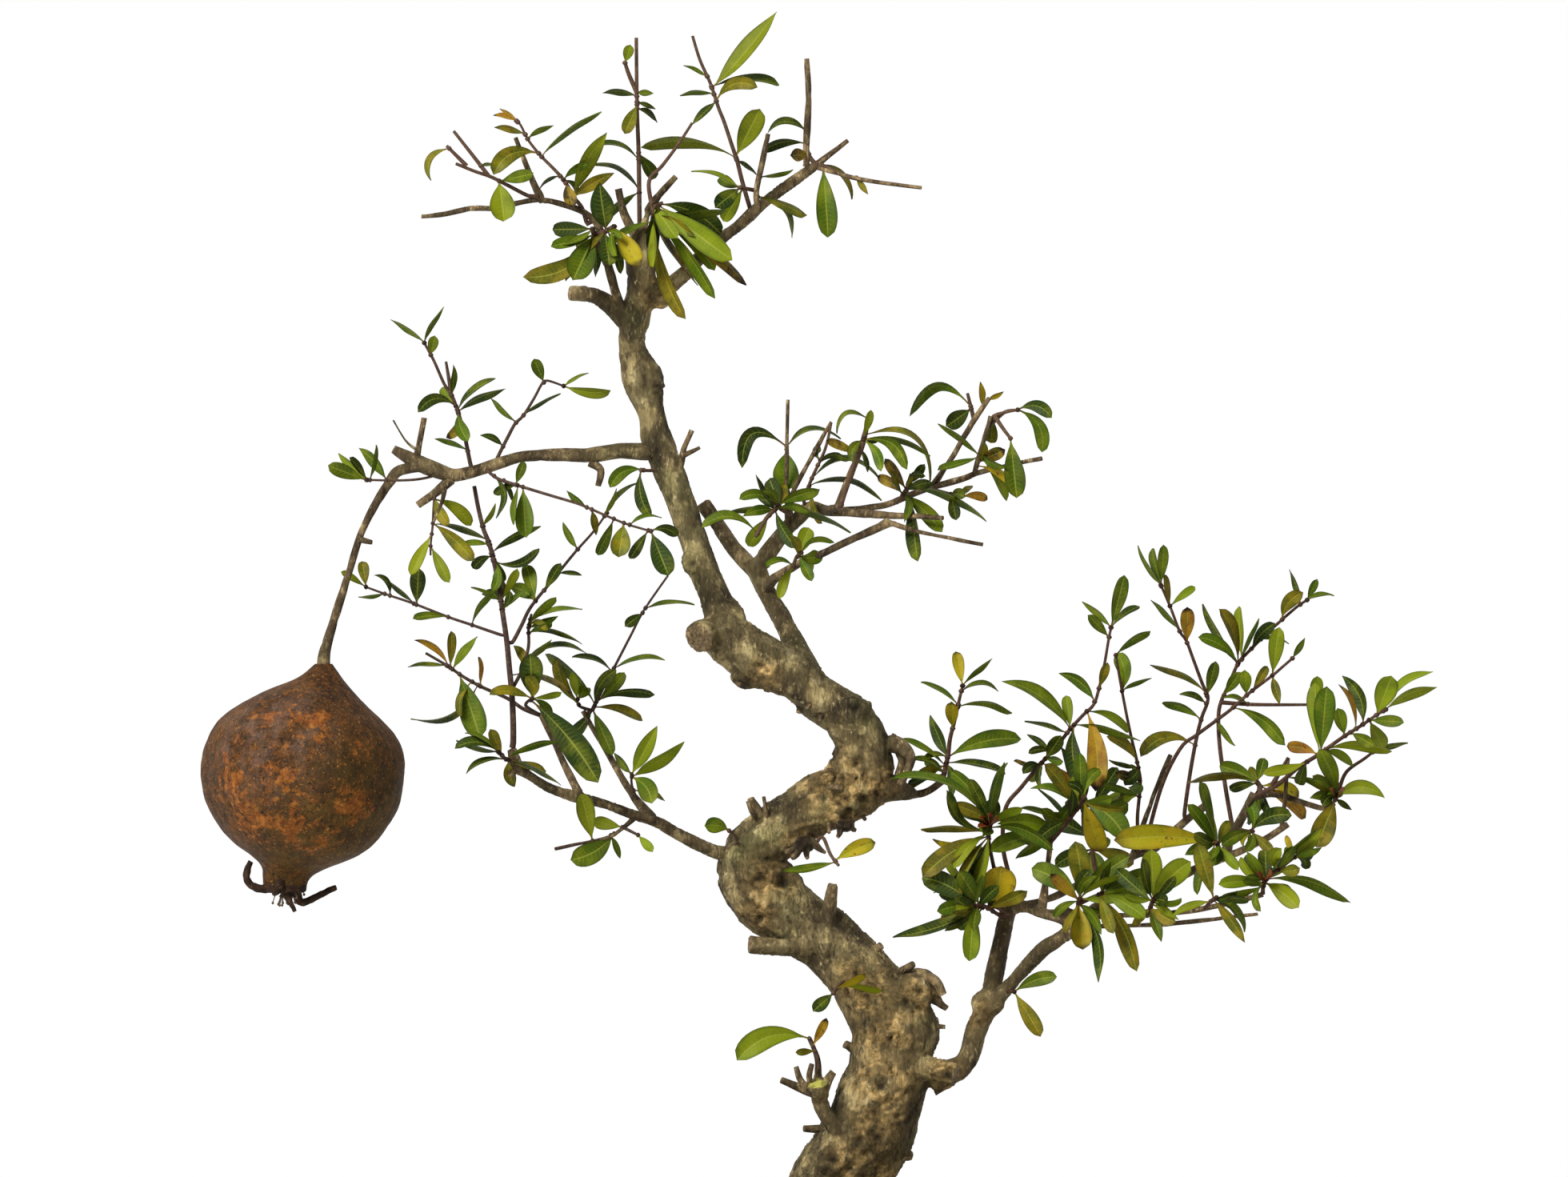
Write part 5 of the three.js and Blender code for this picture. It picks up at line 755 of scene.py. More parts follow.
for vertex, normal, point, best in zip(wood.data.vertices, normals, bark_points, nearest):
    point = Vector(point)
    radius = girths[best]
    away = point - centres[best]
    grainwise = away + Vector((0, 0, 0.3 * runs[best]))
    thick = min(1.0, radius / 9)
    lift = RIDGE_RISE * fractal(grainwise, 11) + FINE_RISE * fractal(grainwise, 3.4, 3)
    lift -= FURROW_DEPTH * max(0.0, FURROW_WIDTH - abs(noise.noise(grainwise / 6.5))) / FURROW_WIDTH
    lift *= 0.18 + 0.82 * thick

    # A healed knot is a ragged hollow in a ringed, raised collar.
    hollow_and_shade_here = 0.0
    ragged = 1 + 0.35 * fractal(point, 3.6, 2)
    for x, z, size, depth in EYES:
        off = math.hypot(point.x - x, point.z - z) * ragged
        if off < 2.6 * size and away.y < 0.35 * radius and radius > 4:
            dip = math.exp(-(off / (0.62 * size)) ** 2)
            rim = math.exp(-((off - 1.05 * size) / (0.17 * size)) ** 2)
            hollow_and_shade_here = max(hollow_and_shade_here, dip, 0.55 * rim)
            ring = math.sin(off * 2 * math.pi / (0.55 * size)) * math.exp(-(off / size) ** 2)
            collar = math.exp(-((off - size) / (0.4 * size)) ** 2)
            lift += 0.18 * ring + 0.5 * depth * collar - depth * dip

    # Shade is painted dark on the lumps and undersides under the bends.
    for x, z, size in SHADE_UNDER_BENDS:
        off = math.hypot(point.x - x, point.z - z) / size
        hollow_and_shade_here = max(hollow_and_shade_here, min(0.85, 1.7 - off + 0.5 * fractal(point, 2.5, 3)))

    # Flaking bark stands a little proud. Twigs have none.
    patch_here = 0.0
    if radius > 3:
        for x, z, size in ROUGH_PATCHES:
            off = math.hypot(point.x - x, point.z - z)
            patch_here = max(patch_here, min(1.0, max(0.0, 1.5 - off / size)))
    lift += FLAKE_RISE * patch_here * fractal(point, 2.2, 3) * thick

    # A sawn end is flat, with faint rings.
    cut_here = 0.0
    for index in np.flatnonzero(((end_array - point) ** 2).sum(1) < 64):
        end, ahead, size = cut_ends[index]
        beyond = (point - end).dot(ahead)
        if (point - end).length < 1.1 * size + 0.4 and beyond > -0.5 and normal.dot(ahead) > 0.7:
            cut_here = NEW_CUT if index == 1 else OLD_CUT
            lift = 0.1 * math.sin(4 * (point - end).length)
    vertex.co = (point + normal * lift) * MM
    bark_girth.append(radius)
    bark_hollow_and_shade.append(hollow_and_shade_here)
    bark_patch.append(patch_here)
    bark_cut.append(cut_here)
for name, values in (("girth", bark_girth), ("hollow_and_shade", bark_hollow_and_shade), ("patch", bark_patch),
                     ("cut", bark_cut)):
    wood.data.attributes.new(name, "FLOAT", "POINT").data.foreach_set("value", values)
pick(wood)
bpy.ops.object.shade_smooth()
bpy.ops.object.select_all(action="DESELECT")
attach(wood, "root")
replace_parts(wood, "trunk_and_branches")


# ------------------------ fruit
# A ripe fruit with a leathery, rust-stained rind, drawn in to the stalk above and to a dark,
# curled calyx below. Level rings are skinned over the profile, and the calyx lobes and filaments
# are fine tubes set in its mouth.

FRUIT_PROFILE = [  # middle x, z, radius
  [-184.6, 316.5, 3.2], [-186.2, 311.3, 8.4], [-189.6, 307.3, 14.9], [-191.6, 303.2, 20.9],
  [-192.8, 299.2, 26], [-193, 295.2, 30.4], [-192.8, 290.3, 34], [-192.4, 283.9, 36.8],
  [-192.5, 275.8, 37.7], [-192.6, 266.1, 36.4], [-192.1, 259.7, 33.8], [-191.8, 253.2, 29.6],
  [-191.5, 248.4, 25], [-191.5, 244.9, 20.2], [-192.9, 242.2, 15.8], [-195.4, 239.9, 11.9],
  [-198, 237.3, 9.3], [-198.9, 235, 8.3], [-199, 232.9, 7.9],
]
FRUIT_DEPTH = -14
FRUIT_SIDES = 120
RIDGES, RIDGE_SHARE = 6, 0.012  # the fruit's soft ridges, as a share of its radius
DENTS, PIMPLES = 0.9, 0.18
CALYX_TOP = 233.6  # below this height the skin is dried calyx
FILAMENTS = 34
RUST_PATCHES = [  # x, z, reach
  (-205, 302, 17), (-187, 295, 17), (-223, 283, 17), (-219, 271, 19), (-212, 258, 21), (-195, 257, 17),
  (-161, 290, 19), (-172, 262, 18), (-184, 245, 19), (-203, 246, 15),
]
CALYX_MOUTH = [[-199.1, 231.6, 7.9], [-199.2, 230.9, 6.9], [-199, 232.5, 5.9], [-198, 238, 4.8]]
SEPALS = [  # curled calyx lobes: x, z, y, radius
  [[-203.6, 236, -15, 2.4], [-206, 232.6, -16, 1.8], [-210.6, 233.2, -16.5, 1.5], [-213.2, 236, -17, 1.4],
   [-213, 239.6, -17, 1.3], [-211.6, 242.6, -17, 1]],
  [[-195.2, 236, -14, 2.4], [-194.6, 230.4, -14, 1.8], [-192.6, 227.2, -13, 1.4],
   [-187.6, 229.2, -12, 1.3], [-182, 232, -11, 1.2], [-179.9, 232.9, -11, 1]],
  [[-199, 235, -17, 2.2], [-198.2, 229.8, -20, 1.4], [-196.4, 226.8, -22, 1], [-195, 224, -22, 0.7]],
  [[-200, 236, -20, 2.4], [-201, 232.5, -23, 1.6], [-202.5, 231, -26, 1.1], [-202, 231.5, -29, 0.7]],
  [[-202, 236, -9, 2.4], [-204, 233, -6, 1.6], [-206, 232, -2, 1.2], [-206, 233.5, 2, 0.8]],
  [[-197, 236, -9, 2.4], [-195.5, 232, -5, 1.6], [-195, 230.5, -1, 1.2], [-194.5, 232, 3, 0.8]],
]

# The leathery rind is a dull, dark brown with rust-coloured russet patches and flecks, olive low
# down, with dark netting and pits, and a patchy grey painted highlight on the upper left shoulder.
rind, place = new_material("rust-stained pomegranate rind")
apart = {shift: add_node("VectorMath", place, (shift,) * 3, operation="ADD")
         for shift in (3.7, 9.9, 2, 5, 8.4, 6.1, 15, 12.1)}


def near(x, z, low, high):
    """1 at a place on the front of the fruit, falling to 0 between two distances."""
    away = add_node("VectorMath", place, (x * MM, (FRUIT_DEPTH - 30) * MM, z * MM),
                    operation="DISTANCE")
    return add_node("MapRange", away, low * MM, high * MM, 1, 0)


skin = add_node("TexNoise", place, 1 / (15 * MM), 8, 0.65)
skin = add_node("ValToRGB", skin, stops=[(0.3, "#170e06"), (0.46, "#32200d"), (0.6, "#462d12"),
                                         (0.76, "#5b3c19")])
for shift, size, low, high, shade in ((3.7, 3.2, 0.46, 0.66, "#734417"), (9.9, 2.4, 0.48, 0.62, "#20150b")):
    mottle = add_node("TexNoise", apart[shift], 1 / (size * MM), 8, 0.75)
    mottle = add_node("MapRange", mottle, low, high, 0, 0.6)
    skin = add_node("Mix", mottle, skin, shade, data_type="RGBA")
olive = add_node("Math", near(-166, 250, 12, 48), near(-192, 232, 10, 34), operation="MAXIMUM")
olive_skin = add_node("TexNoise", apart[2], 1 / (8 * MM), 6, 0.6)
olive_skin = add_node("ValToRGB", olive_skin, stops=[(0.35, "#2b2210"), (0.7, "#5c4a20")])
skin = add_node("Mix", add_node("Math", olive, 0.6, operation="MULTIPLY"), skin, olive_skin,
                data_type="RGBA")
# A patchy grey sheen is painted on the upper left shoulder, where the key light falls: a painted highlight.
grey_painted_highlight = add_node("MapRange", add_node("TexNoise", apart[5], 1 / (9 * MM), 6, 0.6), 0.4, 0.62, 0, 0.65)
grey_painted_highlight = add_node("Math", near(-208, 290, 8, 34), grey_painted_highlight, operation="MULTIPLY")
skin = add_node("Mix", grey_painted_highlight, skin, "#5c4a40", data_type="RGBA")
rusty = near(-195, 273, 3, 22)
for x, z, reach in RUST_PATCHES:
    rusty = add_node("Math", rusty, near(x, z, 3, reach), operation="MAXIMUM")
rust = add_node("Math", add_node("TexNoise", apart[8.4], 1 / (6 * MM), 12, 0.78),
                add_node("MapRange", rusty, 0, 1, 0.64, 0.44), operation="SUBTRACT")
rust = add_node("MapRange", rust, 0, 0.05, 0, 0.76)
russet = add_node("TexNoise", place, 1 / (3 * MM), 6, 0.7)
russet = add_node("ValToRGB", russet, stops=[(0.3, "#4c270d"), (0.5, "#784317"), (0.72, "#a3682a")])
skin = add_node("Mix", rust, skin, russet, data_type="RGBA")
fleck = add_node("TexNoise", apart[6.1], 1 / (1.1 * MM), 3, 0.6)
skin = add_node("Mix", add_node("MapRange", fleck, 0.6, 0.68, 0, 0.5), skin, "#9a6a34",
                data_type="RGBA")
netting = add_node("TexVoronoi", place, 1 / (2.2 * MM), feature="DISTANCE_TO_EDGE")
netted = add_node("TexNoise", apart[15], 1 / (4 * MM), 6, 0.7)
netting = add_node("Math", add_node("MapRange", netting, 0, 0.12, 1, 0),
                   add_node("MapRange", netted, 0.42, 0.6, 0, 0.6), operation="MULTIPLY")
skin = add_node("Mix", netting, skin, "#1c120a", data_type="RGBA")
pit = add_node("TexNoise", apart[12.1], 1 / (1.7 * MM), 4, 0.6)
pit = add_node("MapRange", pit, 0.62, 0.7, 0, 0.8)
skin = add_node("Mix", pit, skin, "#150d08", data_type="RGBA")
relief = add_node("Math", add_node("TexNoise", place, 1 / (3 * MM), 8, 0.65),
                  add_node("Math", pit, -0.35, operation="MULTIPLY"), operation="ADD")
surface(skin, add_node("MapRange", relief, 0.2, 0.8, 0.75, 0.52), relief, 0.9, shine=0.08)

# The calyx dries to a wrinkled black-brown, lighter on its ridges.
calyx_skin, place = new_material("dried black-brown calyx")
dried = add_node("TexNoise", place, 1 / (2.5 * MM), 8, 0.7)
dried = add_node("ValToRGB", dried, stops=[(0.3, "#0f0b08"), (0.55, "#2c1e14"), (0.8, "#5b422b")])
surface(dried, 0.8, add_node("TexNoise", place, 1 / (1.2 * MM), 6, 0.55), 0.3, shine=0.1)

# The filaments are dry brown threads, dull and uneven in colour.
thread, place = new_material("brown dried filament")
dried = add_node("TexNoise", place, 1 / (1.5 * MM), 3, 0.55)
dried = add_node("ValToRGB", dried, stops=[(0.35, "#2a1c10"), (0.7, "#6b5230")])
surface(dried, 0.8, add_node("TexNoise", place, 1 / (0.5 * MM), 4, 0.55), 0.05)

profile = along_route([[x, z, 0, r] for x, z, r in FRUIT_PROFILE], 1.1)
profile += along_route([[x, z, 0, r] for x, z, r in CALYX_MOUTH], 0.8)
points, faces = [], []
for middle, radius in profile:
    for i in range(FRUIT_SIDES):
        angle = 2 * math.pi * i / FRUIT_SIDES
        ridged = 1 + RIDGE_SHARE * math.cos(RIDGES * angle + 0.7) * min(1, radius / 25)
        point = Vector((middle.x + radius * ridged * math.cos(angle),
                        FRUIT_DEPTH + radius * ridged * math.sin(angle), middle.z))
        outward = Vector((math.cos(angle), math.sin(angle), 0))
        dent = DENTS * fractal(point, 21, 3) + PIMPLES * fractal(point, 3.5, 3)
        points.append((point + outward * dent * min(1, radius / 20)) * MM)
skin_rings(faces, 0, len(profile), FRUIT_SIDES, inside_out=True)
fruit = mesh_object("fruit_rind", points, faces, rind, calyx_skin)
for face in fruit.data.polygons:
    face.material_index = 1 if face.center.z < CALYX_TOP * MM else 0
settle(fruit)
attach(fruit, "root")
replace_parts(fruit, "pomegranate")
points, faces = [], []
for sepal in SEPALS:
    add_tube(points, faces, along_route(sepal, 0.5), 14)
points = [point + 0.25 * MM * noise.noise_vector(point / (1.6 * MM)) for point in points]
sepals = mesh_object("fruit_calyx_lobes", points, faces, calyx_skin)
settle(sepals)
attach(sepals, "root")
draw = random.Random(5)
points, faces = [], []
for k in range(FILAMENTS):
    angle = draw.uniform(0, 2 * math.pi)
    lean = Vector((math.cos(angle), math.sin(angle), 0))
    root = Vector((-198.5, FRUIT_DEPTH, 237)) + lean * draw.uniform(0.5, 4)
    down = draw.uniform(5, 11)
    middle = root + lean * draw.uniform(0, 2) + Vector((0, 0, -0.5 * down))
    end = middle + lean * draw.uniform(-1, 3) + Vector((0, 0, -0.5 * down))
    route = [[p.x, p.z, p.y, r] for p, r in ((root, 0.3), (middle, 0.26), (end, 0.2))]
    add_tube(points, faces, along_route(route, 1.2), 5)
    bead = [[end.x, end.z + 0.5, end.y, 0.2], [end.x, end.z, end.y, 0.55],
            [end.x, end.z - 0.6, end.y, 0.2]]
    add_tube(points, faces, along_route(bead, 0.5), 6)
filaments = mesh_object("fruit_filaments", points, faces, thread)
settle(filaments)
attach(filaments, "root")


# ------------------------ leafy stems of the crown
# Young red-brown twigs with narrow, waxy leaves, on the top of the tree. Each leaf is skinned on
# its own arched midline from its row, thin, folded along the midrib and rolled to show its width.

LEAF_TONES = {  # deep, green, lime, olive, yellow, rust and brown leaves, scarlet bud
    "D": "#243506", "G": "#3f5404", "L": "#667307", "O": "#53520b", "Y": "#91820c",
    "R": "#8a5b18", "B": "#382a17", "S": "#8a2c18",
}
LEAF_AGE = {"D": 0.05, "G": 0.1, "L": 0.05, "O": 0.5, "Y": 0.75, "R": 1.0, "B": 1.0, "S": 0}
LEAF_STATIONS = 15
LEAF_COLUMNS = 8
LEAF_FOLD = 0.26
LEAF_THICKNESS = 0.3
LEAF_STALK = 0.08  # share of its length
LEAF_FULL_WIDTH = (0.27, 8)  # a leaf's real width: share of its length, and millimetres at most
STALK_HALF, TIP_HALF = 0.34, 0.06
BLUNT_BLADE, POINTED_BLADE = (0.95, 0.5), (0.85, 0.95)  # how fast the width rises and falls
UNDERSIDE, RED_STALK = "#687130", "#8b4a2a"
SMALL_LEAF_SIZES, SMALL_LEAF_WIDTHS = (0.45, 0.85), (2.2, 5.5)
SMALL_LEAF_TONES = "DDGGOLdgo"
VEIN_SPACING, VEIN_SLANT = 1.7, 1.1
LIGHT_THROUGH = 0.22
STEM_SLIMMING = 0.85
ROOT_REACH = 18  # how far off a stem may find the wood that it springs from
THICKETS = [  # where small leaves fill in: x from and to, z from and to, how many at a leaf
  [34, 196, 216, 284, 2], [-26, 84, 344, 402, 1], [-128, -70, 262, 350, 1], [-100, -20, 452, 500, 1],
]

# A leaf is thin, waxy and a little see-through, paler on its midrib and side veins and darker at
# its edge. With age it yellows, spots and scorches at the tip.
leaf_skin, place = new_material("waxy pomegranate leaf")
apart = {shift: add_node("VectorMath", place, (shift,) * 3, operation="ADD") for shift in (3.3, 6.6)}
blade = add_node("Attribute", attribute_name="blade", output="Vector")
blade = add_node("SeparateXYZ", blade).node.outputs
age = add_node("Attribute", attribute_name="age", output="Fac")
aside = add_node("Math", blade["X"], operation="ABSOLUTE")
mottle = add_node("TexNoise", place, 1 / (9 * MM), 5, 0.55)
colour = add_node("Attribute", attribute_name="tone")
pale = add_node("MapRange", mottle, 0.5, 0.72, 0, 0.36)
colour = add_node("Mix", pale, colour, "#8f9420", data_type="RGBA")
dark = add_node("MapRange", mottle, 0.28, 0.46, 0.45, 0)
colour = add_node("Mix", dark, colour, "#1c2c0c", data_type="RGBA")
edge = add_node("MapRange", aside, 0.72, 1, 0, 0.55)
colour = add_node("Mix", edge, colour, "#18240a", data_type="RGBA")
vein = add_node("Math", add_node("Math", blade["Z"], VEIN_SPACING, operation="DIVIDE"),
                add_node("Math", aside, VEIN_SLANT, operation="MULTIPLY"), operation="SUBTRACT")
vein = add_node("MapRange", add_node("Math", vein, 0.5, operation="PINGPONG"), 0, 0.11, 1, 0)
vein = add_node("Math", vein, add_node("MapRange", aside, 0.1, 0.85, 0.35, 0), operation="MULTIPLY")
ribs = add_node("Math", vein, add_node("MapRange", aside, 0.03, 0.1, 0.5, 0), operation="MAXIMUM")
colour = add_node("Mix", ribs, colour, "#8f9636", data_type="RGBA")
yellow = add_node("TexNoise", apart[3.3], 1 / (6 * MM), 4, 0.6)
yellow = add_node("Math", age, add_node("MapRange", yellow, 0.42, 0.62, 0, 0.55),
                  operation="MULTIPLY")
colour = add_node("Mix", yellow, colour, "#a8881a", data_type="RGBA")
spot = add_node("TexNoise", apart[6.6], 1 / (2.1 * MM), 5, 0.65)
spot = add_node("Math", add_node("MapRange", age, 0.15, 0.7),
                add_node("MapRange", spot, 0.6, 0.68, 0, 0.8), operation="MULTIPLY")
colour = add_node("Mix", spot, colour, "#3a2110", data_type="RGBA")
scorch = add_node("Math", blade["Y"], add_node("Math", mottle, 0.3, operation="MULTIPLY"),
                  operation="ADD")
scorch = add_node("Math", add_node("MapRange", age, 0.3, 0.9),
                  add_node("MapRange", scorch, 1, 1.1), operation="MULTIPLY")
colour = add_node("Mix", scorch, colour, "#25170c", data_type="RGBA")
relief = add_node("Math", add_node("TexNoise", place, 1 / (1.2 * MM), 3, 0.55), 0.5,
                  operation="MULTIPLY")
relief = add_node("Math", add_node("Math", ribs, -0.6, operation="MULTIPLY"), relief,
                  operation="ADD")
lit = surface(colour, add_node("MapRange", mottle, 0.3, 0.7, 0.62, 0.48), relief, 0.22, shine=0.12)
lit = add_node("MixShader", LIGHT_THROUGH, lit, add_node("BsdfTranslucent", colour))
tree.links.new(lit, tree.nodes["Material Output"].inputs["Surface"])

# A young twig is dull red-brown, streaked paler and darker along its skin.
twig_skin, place = new_material("red-brown young twig")
streak = add_node("TexNoise", place, 1 / (1.4 * MM), 5, 0.55)
tint = add_node("Attribute", attribute_name="tone")
pale = add_node("MapRange", streak, 0.5, 0.75, 0, 0.3)
tint = add_node("Mix", pale, tint, "#7d6a4e", data_type="RGBA")
dark = add_node("MapRange", streak, 0.25, 0.42, 0.5, 0)
tint = add_node("Mix", dark, tint, "#23150f", data_type="RGBA")
surface(tint, 0.7, streak, 0.12, shine=0.1)

carriers = [centre_array]


def nearest_on_stems(stems, x, z):
    """The point of the stems nearest to (x, z) as seen from the front."""
    found, shortest = None, math.inf
    for stem in stems:
        for (x0, z0, y0), (x1, z1, y1) in zip(stem, stem[1:]):
            run = max((x1 - x0) ** 2 + (z1 - z0) ** 2, 1e-9)
            share = min(max(((x - x0) * (x1 - x0) + (z - z0) * (z1 - z0)) / run, 0), 1)
            point = Vector((x0 + share * (x1 - x0), y0 + share * (y1 - y0), z0 + share * (z1 - z0)))
            off = math.hypot(point.x - x, point.z - z)
            if off < shortest:
                found, shortest = point, off
    return found


def add_leaf(points, faces, tones, blades, ages, row, stems):
    """Adds one blade to the lists. Its widths and places are in millimetres."""
    foot_x, foot_z, tip_x, tip_z, seen, arch, letter, depth = row
    draw = random.Random(round(foot_x * 10) * 7919 + round(tip_z * 10) * 31 + round(tip_x * 10))
    foot = nearest_on_stems(stems, foot_x, foot_z)
    tip = Vector((tip_x, foot.y + depth, tip_z))
    chord = tip - foot
    length = chord.length
    rise = Vector((-chord.z, 0, chord.x)).normalized()
    if rise.z < 0:
        rise.negate()
    knee = (foot + tip) / 2 + rise * 2 * arch
    width = max(seen, min(LEAF_FULL_WIDTH[0] * length, LEAF_FULL_WIDTH[1]))
    roll = math.acos(seen / width) * (1 if depth < 0 else -1)
    rise_power, fall_power = BLUNT_BLADE if letter.isupper() else POINTED_BLADE
    peak = rise_power / (rise_power + fall_power)
    peak = peak ** rise_power * (1 - peak) ** fall_power
    shade = Vector(linear(LEAF_TONES[letter.upper()])[:3]) * draw.uniform(0.8, 1.18)
    shade.x *= draw.uniform(0.88, 1.14)
    under = shade * 0.75 + Vector(linear(UNDERSIDE)[:3]) * 0.25
    twist, curl, wave = draw.uniform(-0.5, 0.5), draw.uniform(0, 0.06), draw.uniform(0, 6.3)
    old = LEAF_AGE[letter.upper()]
    start = len(points)
    for k in range(LEAF_STATIONS + 1):
        t = k / LEAF_STATIONS
        middle = foot * (1 - t) ** 2 + knee * 2 * t * (1 - t) + tip * t * t
        along = ((knee - foot) * (1 - t) + (tip - knee) * t).normalized()
        flat = Vector((0, 1, 0)).cross(along).normalized()
        facing = along.cross(flat)
        turned = roll + twist * (t - 0.4)
        side = flat * math.cos(turned) + facing * math.sin(turned)
        normal = side.cross(along)
        middle = middle - normal * curl * length * max(0, t - 0.5) ** 2 * 4
        s = max(0.0, (t - LEAF_STALK) / (1 - LEAF_STALK))
        share = s ** rise_power * (1 - s) ** fall_power / peak
        half = max(width * share / 2, STALK_HALF if t < 0.5 else TIP_HALF)
        sweep = [-1 + 2 * i / LEAF_COLUMNS for i in range(LEAF_COLUMNS + 1)]
        ring = [(u, 0.0) for u in sweep] + [(u, -LEAF_THICKNESS) for u in sweep[-2:0:-1]]
        for u, sink in ring:
            ripple = 0.05 * width * u * u * math.sin(9 * t + wave + (1.3 if u > 0 else 0)) * s
            lift = LEAF_FOLD * abs(u) * half + ripple + (sink * (1 - 0.6 * abs(u)) if sink else 0)
            points.append((middle + side * half * u + normal * lift) * MM)
            own = under if sink else shade
            red = max(0.0, 1 - t / 0.14) * 0.6
            own = own * (1 - red) + Vector(linear(RED_STALK)[:3]) * red
            tones.append((*own, 1))
            blades.append((u, t, t * length))
            ages.append(old)
    skin_rings(faces, start, LEAF_STATIONS + 1, 2 * LEAF_COLUMNS, inside_out=True)


def companions(name, leaves):
    """Small leaves that share a node with a larger one, where the foliage is thick."""
    draw = random.Random(len(leaves) * 131 + sum(map(ord, name)))
    made = []
    for foot_x, foot_z, tip_x, tip_z, *_ in leaves:
        for x0, x1, z0, z1, most in THICKETS:
            for _ in range(most):
                turn = draw.choice((-1, 1)) * draw.uniform(0.45, 1.4)
                size = draw.uniform(*SMALL_LEAF_SIZES)
                x, z = tip_x - foot_x, tip_z - foot_z
                new_x = foot_x + size * (x * math.cos(turn) - z * math.sin(turn))
                new_z = foot_z + size * (x * math.sin(turn) + z * math.cos(turn))
                wide = draw.uniform(*SMALL_LEAF_WIDTHS)
                tone = draw.choice(SMALL_LEAF_TONES)
                aside = draw.uniform(4, 13) * draw.choice((-1, 1))
                inside = x0 < foot_x < x1 and z0 < foot_z < z1 and z0 < new_z < z1
                if inside and x0 < new_x < x1 and draw.random() < 0.75:
                    made.append([foot_x, foot_z, new_x, new_z, wide, draw.uniform(-1.5, 2.5),
                                 tone, aside])
    return made


def leafy_stem(row, twig_colour):
    """Makes one leafy stem from its row, rooted in the nearest wood or earlier stem."""
    name, foot_radius, end_radius, stems, leaves = row
    leaves = leaves + companions(name, leaves)
    foot_radius, end_radius = STEM_SLIMMING * foot_radius, STEM_SLIMMING * end_radius
    stems = [list(map(tuple, stem)) for stem in stems]
    x, z, y = stems[0][0]
    gaps = [np.sqrt(((line - (x, y, z)) ** 2).sum(1)) for line in carriers]
    best = min(range(len(gaps)), key=lambda k: gaps[k].min())
    if foot_radius < gaps[best].min() < ROOT_REACH:
        root = carriers[best][gaps[best].argmin()]
        stems[0].insert(0, (root[0], root[2], root[1]))
    points, faces = [], []
    for stem in stems:
        last = len(stem) - 1
        route = [[*place, foot_radius + (end_radius - foot_radius) * k / last]
                 for k, place in enumerate(stem)]
        line = along_route(route, 1.6)
        add_tube(points, faces, line, 8)
        if stem is stems[0]:
            carriers.append(np.array([place for place, _ in line]))
    for leaf in leaves:
        foot = nearest_on_stems(stems, leaf[0], leaf[1])
        bud = [[foot.x, foot.z - 0.9, foot.y, 0.5 * foot_radius],
               [foot.x, foot.z, foot.y, 0.62 * foot_radius + 0.55],
               [foot.x, foot.z + 0.9, foot.y, 0.5 * foot_radius]]
        add_tube(points, faces, along_route(bud, 0.6), 6)
    twig_faces = len(faces)
    tones = [linear(twig_colour)] * len(points)
    blades = [(0.5, 0.5, 1)] * len(points)
    ages = [0.0] * len(points)
    for leaf in leaves:
        add_leaf(points, faces, tones, blades, ages, leaf, stems)
    shoot = mesh_object(f"{name}_foliage", points, faces, leaf_skin, twig_skin)
    mesh = shoot.data
    mesh.polygons.foreach_set("material_index",
                              [1] * twig_faces + [0] * (len(faces) - twig_faces))
    shades = mesh.color_attributes.new("tone", "FLOAT_COLOR", "POINT")
    shades.data.foreach_set("color", [channel for shade in tones for channel in shade])
    mesh.attributes.new("blade", "FLOAT_VECTOR", "POINT").data.foreach_set(
        "vector", [value for place in blades for value in place])
    mesh.attributes.new("age", "FLOAT", "POINT").data.foreach_set("value", ages)
    settle(shoot)
    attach(shoot, "root")
    return shoot


